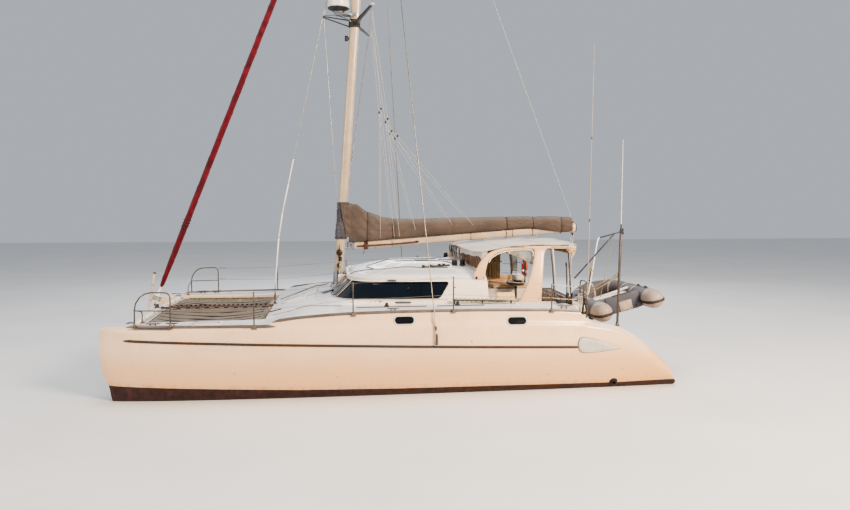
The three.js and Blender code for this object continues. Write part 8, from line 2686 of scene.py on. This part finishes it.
for s, side in ((1, "port"), (-1, "starboard")):
    y = .78 if s > 0 else .12
    low = -.234
    a0, a1 = ten(-.56, y, low), ten(1.01, y, low)
    root0 = lerp(a0, a1, (-3.6008 - a0[0]) / (a1[0] - a0[0]))
    b = Build()
    b.tube([root0 + (a1 - a0) * 0, lerp(root0, a1, .5), a1 + SV * .015], .0255, 0, 22)
    b.box((-3.6075, y, root0[2]), (.013, .136, .136), 0, .004, 3)
    for dy in (-.05, .05):
        for dz in (-.05, .05):
            b.lathe((-3.612, y + dy, root0[2] + dz), (-1, 0, 0), [(-.002, .010), (.005, .010), (.007, .007), (.0075, .001)], 1, 6)
    b.tube([(-3.606, y, root0[2] + .046), ten(-.120, y, low + .018)], .0125, 0, 14)
    b.lathe(a1 + SV * .010, SV, [(-.012, .030), (0, .031), (.008, .029), (.012, .018), (.013, .001)], 2, 22)
    for sc in (0.0, 1.0):
        rows_ = []
        for f in np.linspace(-1, 1, 15):  # saddle pads, hollowed to the tube
            sx = sc + (.12 if sc > .5 else 0) * 1.0 + f * .085
            s_c = sx - (1.12 if sc > .5 else 0)
            n_top = -math.sqrt(max(.2022 ** 2 - s_c ** 2, 1e-4))
            rows_.append([ten(sx if sc < .5 else min(sx, 1.045), y - .055, low - .0), ten(sx if sc < .5 else min(sx, 1.045), y - .055, n_top), ten(sx if sc < .5 else min(sx, 1.045), y + .055, n_top), ten(sx if sc < .5 else min(sx, 1.045), y + .055, low)])
        if sc < .5:
            b.grid(np.array(rows_), 2, close_v=True, cap0=True, cap1=True)
    b.box(ten(.985, y, low + .020), (.12, .11, .040), 2, .010, 3, rot=TENDER_ROT)
    b.box(ten(.56, y, low + .045), (.10, .10, .055), 2, .010, 3, rot=TENDER_ROT)
    b.make("tender_arm_tube_" + side, [M["steel"], M["steel"], M["rubber"]], slot="steel", replaces="tender_arm_" + side)

# ---------------------------------------------------------------- stern pole with its braces, antennas
sp = Build()
sp.tube([(-3.985, 2.500, 1.192), (-4.006, 2.5, 2.1), (-4.028, 2.500, 2.998)], .0235, 0, 20)
sp.lathe((-3.985, 2.500, 1.1865), (0, 0, 1), [(0, .051), (.006, .052), (.010, .048), (.014, .036), (.060, .029), (.064, .025)], 0, 32)
for k in range(4):
    q = math.pi / 4 + k * math.pi / 2
    sp.lathe((-3.985 + .042 * math.cos(q), 2.5 + .042 * math.sin(q), 1.194), (0, 0, 1), [(0, .006), (.005, .006), (.006, .001)], 0, 8)
sp.tube([(-4.028, 2.5, 2.99), (-4.031, 2.5, 3.6), (-4.036, 2.5, 4.3), (-4.040, 2.5, 4.699)], [.0085, .0070, .0050, .0035], 2, 10)
sp.lathe((-4.028, 2.5, 2.985), (0, 0, 1), [(0, .026), (.012, .027), (.020, .022), (.060, .014), (.130, .0115), (.135, .009)], 1, 20)
sp.box((-4.050, 2.5, 2.955), (.055, .060, .070), 1, .014, 3)
sp.ball((-4.058, 2.5, 3.015), .026, 1, 16, (1, 1, .9))
sp.tube([(-4.026, 2.5, 2.975), (-3.83, 2.5, 2.921), (-3.600, 2.5, 2.862)], .0125, 1, 12)
sp.tube(spline([(-3.610, 2.5, 2.866), (-3.585, 2.502, 2.845), (-3.545, 2.510, 2.690), (-3.470, 2.533, 2.28), (-3.380, 2.560, 1.805)], 7), .0125, 2, 12)
sp.tube([(-3.910, 2.500, 2.952), (-3.640, 2.533, 2.675), (-3.370, 2.567, 2.397), (-3.105, 2.600, 2.124)], .0135, 1, 12)
sp.ball((-3.105, 2.600, 2.124), .018, 1, 12)
L0, L1 = np.array([-3.380, 2.556, 1.880]), np.array([-3.998, 2.5, 2.190])
K0, K1 = np.array([-3.380, 2.556, 1.815]), np.array([-3.996, 2.5, 2.125])
sp.tube([L0, lerp(L0, L1, .5), L1], .0115, 3, 12)
sp.tube([K0, lerp(K0, K1, .5), K1], .0115, 3, 12)
for f in np.linspace(.04, .96, 15):
    sp.tube([lerp(K0, K1, f), lerp(L0, L1, f + .01)], .0062, 3, 8)
for P in (L1, K1):
    sp.torus(P + np.array([-.002, 0, 0]), (0, 0, 1), .0265, .006, 0, 24, 8)
# short red-brown staff with its furled end, clamped to the rail
sp.tube([(-3.418, 2.535, 1.985), (-3.430, 2.528, 2.14), (-3.436, 2.52, 2.235)], [.017, .019, .010], 4, 12)
sp.box((-3.408, 2.540, 2.06), (.030, .030, .030), 1, .007)
for k in range(7):
    q = k * .9
    sp.tube(spline([(-3.436, 2.520, 2.232), (-3.436 + .030 * math.cos(q), 2.520 + .030 * math.sin(q), 2.250 + .006 * k), (-3.436 + .050 * math.cos(q + .4), 2.520 + .050 * math.sin(q + .4), 2.225 + .010 * k)], 4), .0065, 5, 6)
# line from the pole's head down to the rail
sp.tube([(-3.873, 2.498, 2.819), (-3.755, 2.49, 2.25), (-3.640, 2.48, 1.70), (-3.618, 2.478, 1.575)], .0048, 5, 6)
sp.ball((-3.873, 2.498, 2.822), .010, 1, 8)
sp.torus((-3.614, 2.478, 1.560), (0, 1, 0), .014, .004, 0, 16, 6)
sp.make("stern_pole_set", [M["steel"], M["black"], M["smooth_white"], M["bracket"], M["rub"], M["rope_green"]], slot="steel", replaces="stern_pole")

an = Build()
an.tube([(-3.288, 2.742, 1.392), (-3.288, 2.753, 1.55), (-3.288, 2.764, 1.700)], [.0145, .0145, .0135], 0, 16)
an.tube([(-3.288, 2.764, 1.695), (-3.306, 2.765, 3.1), (-3.328, 2.767, 4.7), (-3.350, 2.768, 6.388)], [.0098, .0088, .0068, .0046], 1, 12)
for z, r in ((1.70, .0165), (3.20, .0115), (4.70, .0095)):
    t_ = (z - 1.7) / 4.69
    an.lathe((-3.288 - .062 * t_, 2.764 + .004 * t_, z - .03), (-.0132, .0009, 1), [(0, r * .8), (.005, r), (.055, r), (.062, r * .75)], 2, 16)
for z in (1.46, 1.64):
    an.box((-3.280, 2.744, z), (.040, .040, .030), 3, .008)
an.make("whip_antenna_rod", [M["steel"], M["tube_white"], M["steel"], M["black"]], slot="steel", replaces="whip_antenna")

# ---------------------------------------------------------------- lifebuoy: horseshoe with bands, line and bracket
LB = [(-2.290, 1.700), (-2.390, 1.800), (-2.400, 1.980), (-2.300, 2.110), (-2.180, 2.120), (-2.080, 1.990), (-2.080, 1.800), (-2.180, 1.700)]
lp = np.array(spline([(-3.462, y, z) for y, z in LB], 10))
lb = Build()
n_l = len(lp)
tl, al_, bl = frames(lp)
rings = []
qq = np.linspace(0, 2 * math.pi, 32, endpoint=False)
for i in range(n_l):
    e_ = min(1, i / 5, (n_l - 1 - i) / 5)
    r1, r2 = .041 * (.35 + .65 * e_ ** .5), .033 * (.35 + .65 * e_ ** .5)
    ax = np.array([1.0, 0, 0])
    bx_ = np.cross(tl[i], ax)
    c_, s_ = np.cos(qq), np.sin(qq)
    rings.append(lp[i] + (np.sign(c_) * np.abs(c_) ** .7)[:, None] * ax * r2 + (np.sign(s_) * np.abs(s_) ** .7)[:, None] * bx_ * r1)
lb.grid(np.array(rings), 0, close_v=True, cap0=True, cap1=True)
for f in (.16, .38, .62, .84):
    i = int(f * (n_l - 1))
    seg = []
    for o_, g_ in ((-1.6, -.004), (-1.5, .0016), (1.5, .0016), (1.6, -.004)):
        j = i + o_ * .9
        k0 = int(math.floor(j))
        fr_ = j - k0
        seg.append(lerp(rings[k0], rings[k0 + 1], fr_))
    for k_, g_ in enumerate((-.004, .0018, .0018, -.004)):
        cc = seg[k_].mean(axis=0)
        dd = seg[k_] - cc
        seg[k_] = cc + dd * (1 + g_ / .036)
    lb.grid(np.array(seg), 1, close_v=True)
ln = []
for i in range(6, n_l - 6):
    ax = np.array([1.0, 0, 0])
    bx_ = np.cross(tl[i], ax)
    o_ = 1 if np.dot(bx_, lp[i] - np.array([-3.462, -2.24, 1.91])) > 0 else -1
    ln.append(lp[i] + bx_ * o_ * (.044 + .010 * abs(math.sin(math.pi * i / n_l * 4))))
lb.tube(ln, .0042, 2, 6)
lb.box((-3.424, -2.24, 1.745), (.020, .30, .028), 3, .006)
lb.box((-3.424, -2.24, 2.045), (.020, .30, .028), 3, .006)
for z in (1.745, 2.03):
    lb.tube([(-3.400, -2.24, z), (-3.424, -2.24, z)], .009, 3, 10)
lb.make("lifebuoy_horseshoe", [M["orange"], M["reflective"], M["rope_white"], M["steel"]], slot="orange_foam", replaces="lifebuoy", sharp=50)

# rod holder with its rod at the rail, a fender clip and a coiled line on the pushpit
rd = Build()
rd.tube([(-3.150, 2.02, 1.690), (-3.140, 2.02, 2.05), (-3.128, 2.02, 2.350)], [.013, .012, .011], 0, 12)
rd.tube([(-3.128, 2.02, 2.29), (-3.124, 2.02, 2.37)], [.018, .016], 1, 12)
rd.tube([(-3.152, 2.02, 1.60), (-3.148, 2.02, 1.78)], .021, 1, 14)
rd.box((-3.152, 2.02, drop(-3.152, 2.02, 1.75, 1.56) + .02), (.06, .06, .05), 1, .010)
hank(rd, (-3.232, 2.750, 1.760), .12, .30, 7, 2, 12, out=(0, 1, 0))
hank(rd, (-3.400, 2.080, 1.760), .12, .28, 6, 3, 15, out=(1, 0, 0))
rd.make("rail_gear", [M["rub"], M["black"], M["rope_dark"], M["rope_white"]], slot="black_plastic")

# ---------------------------------------------------------------- the end
bpy.context.view_layer.update()
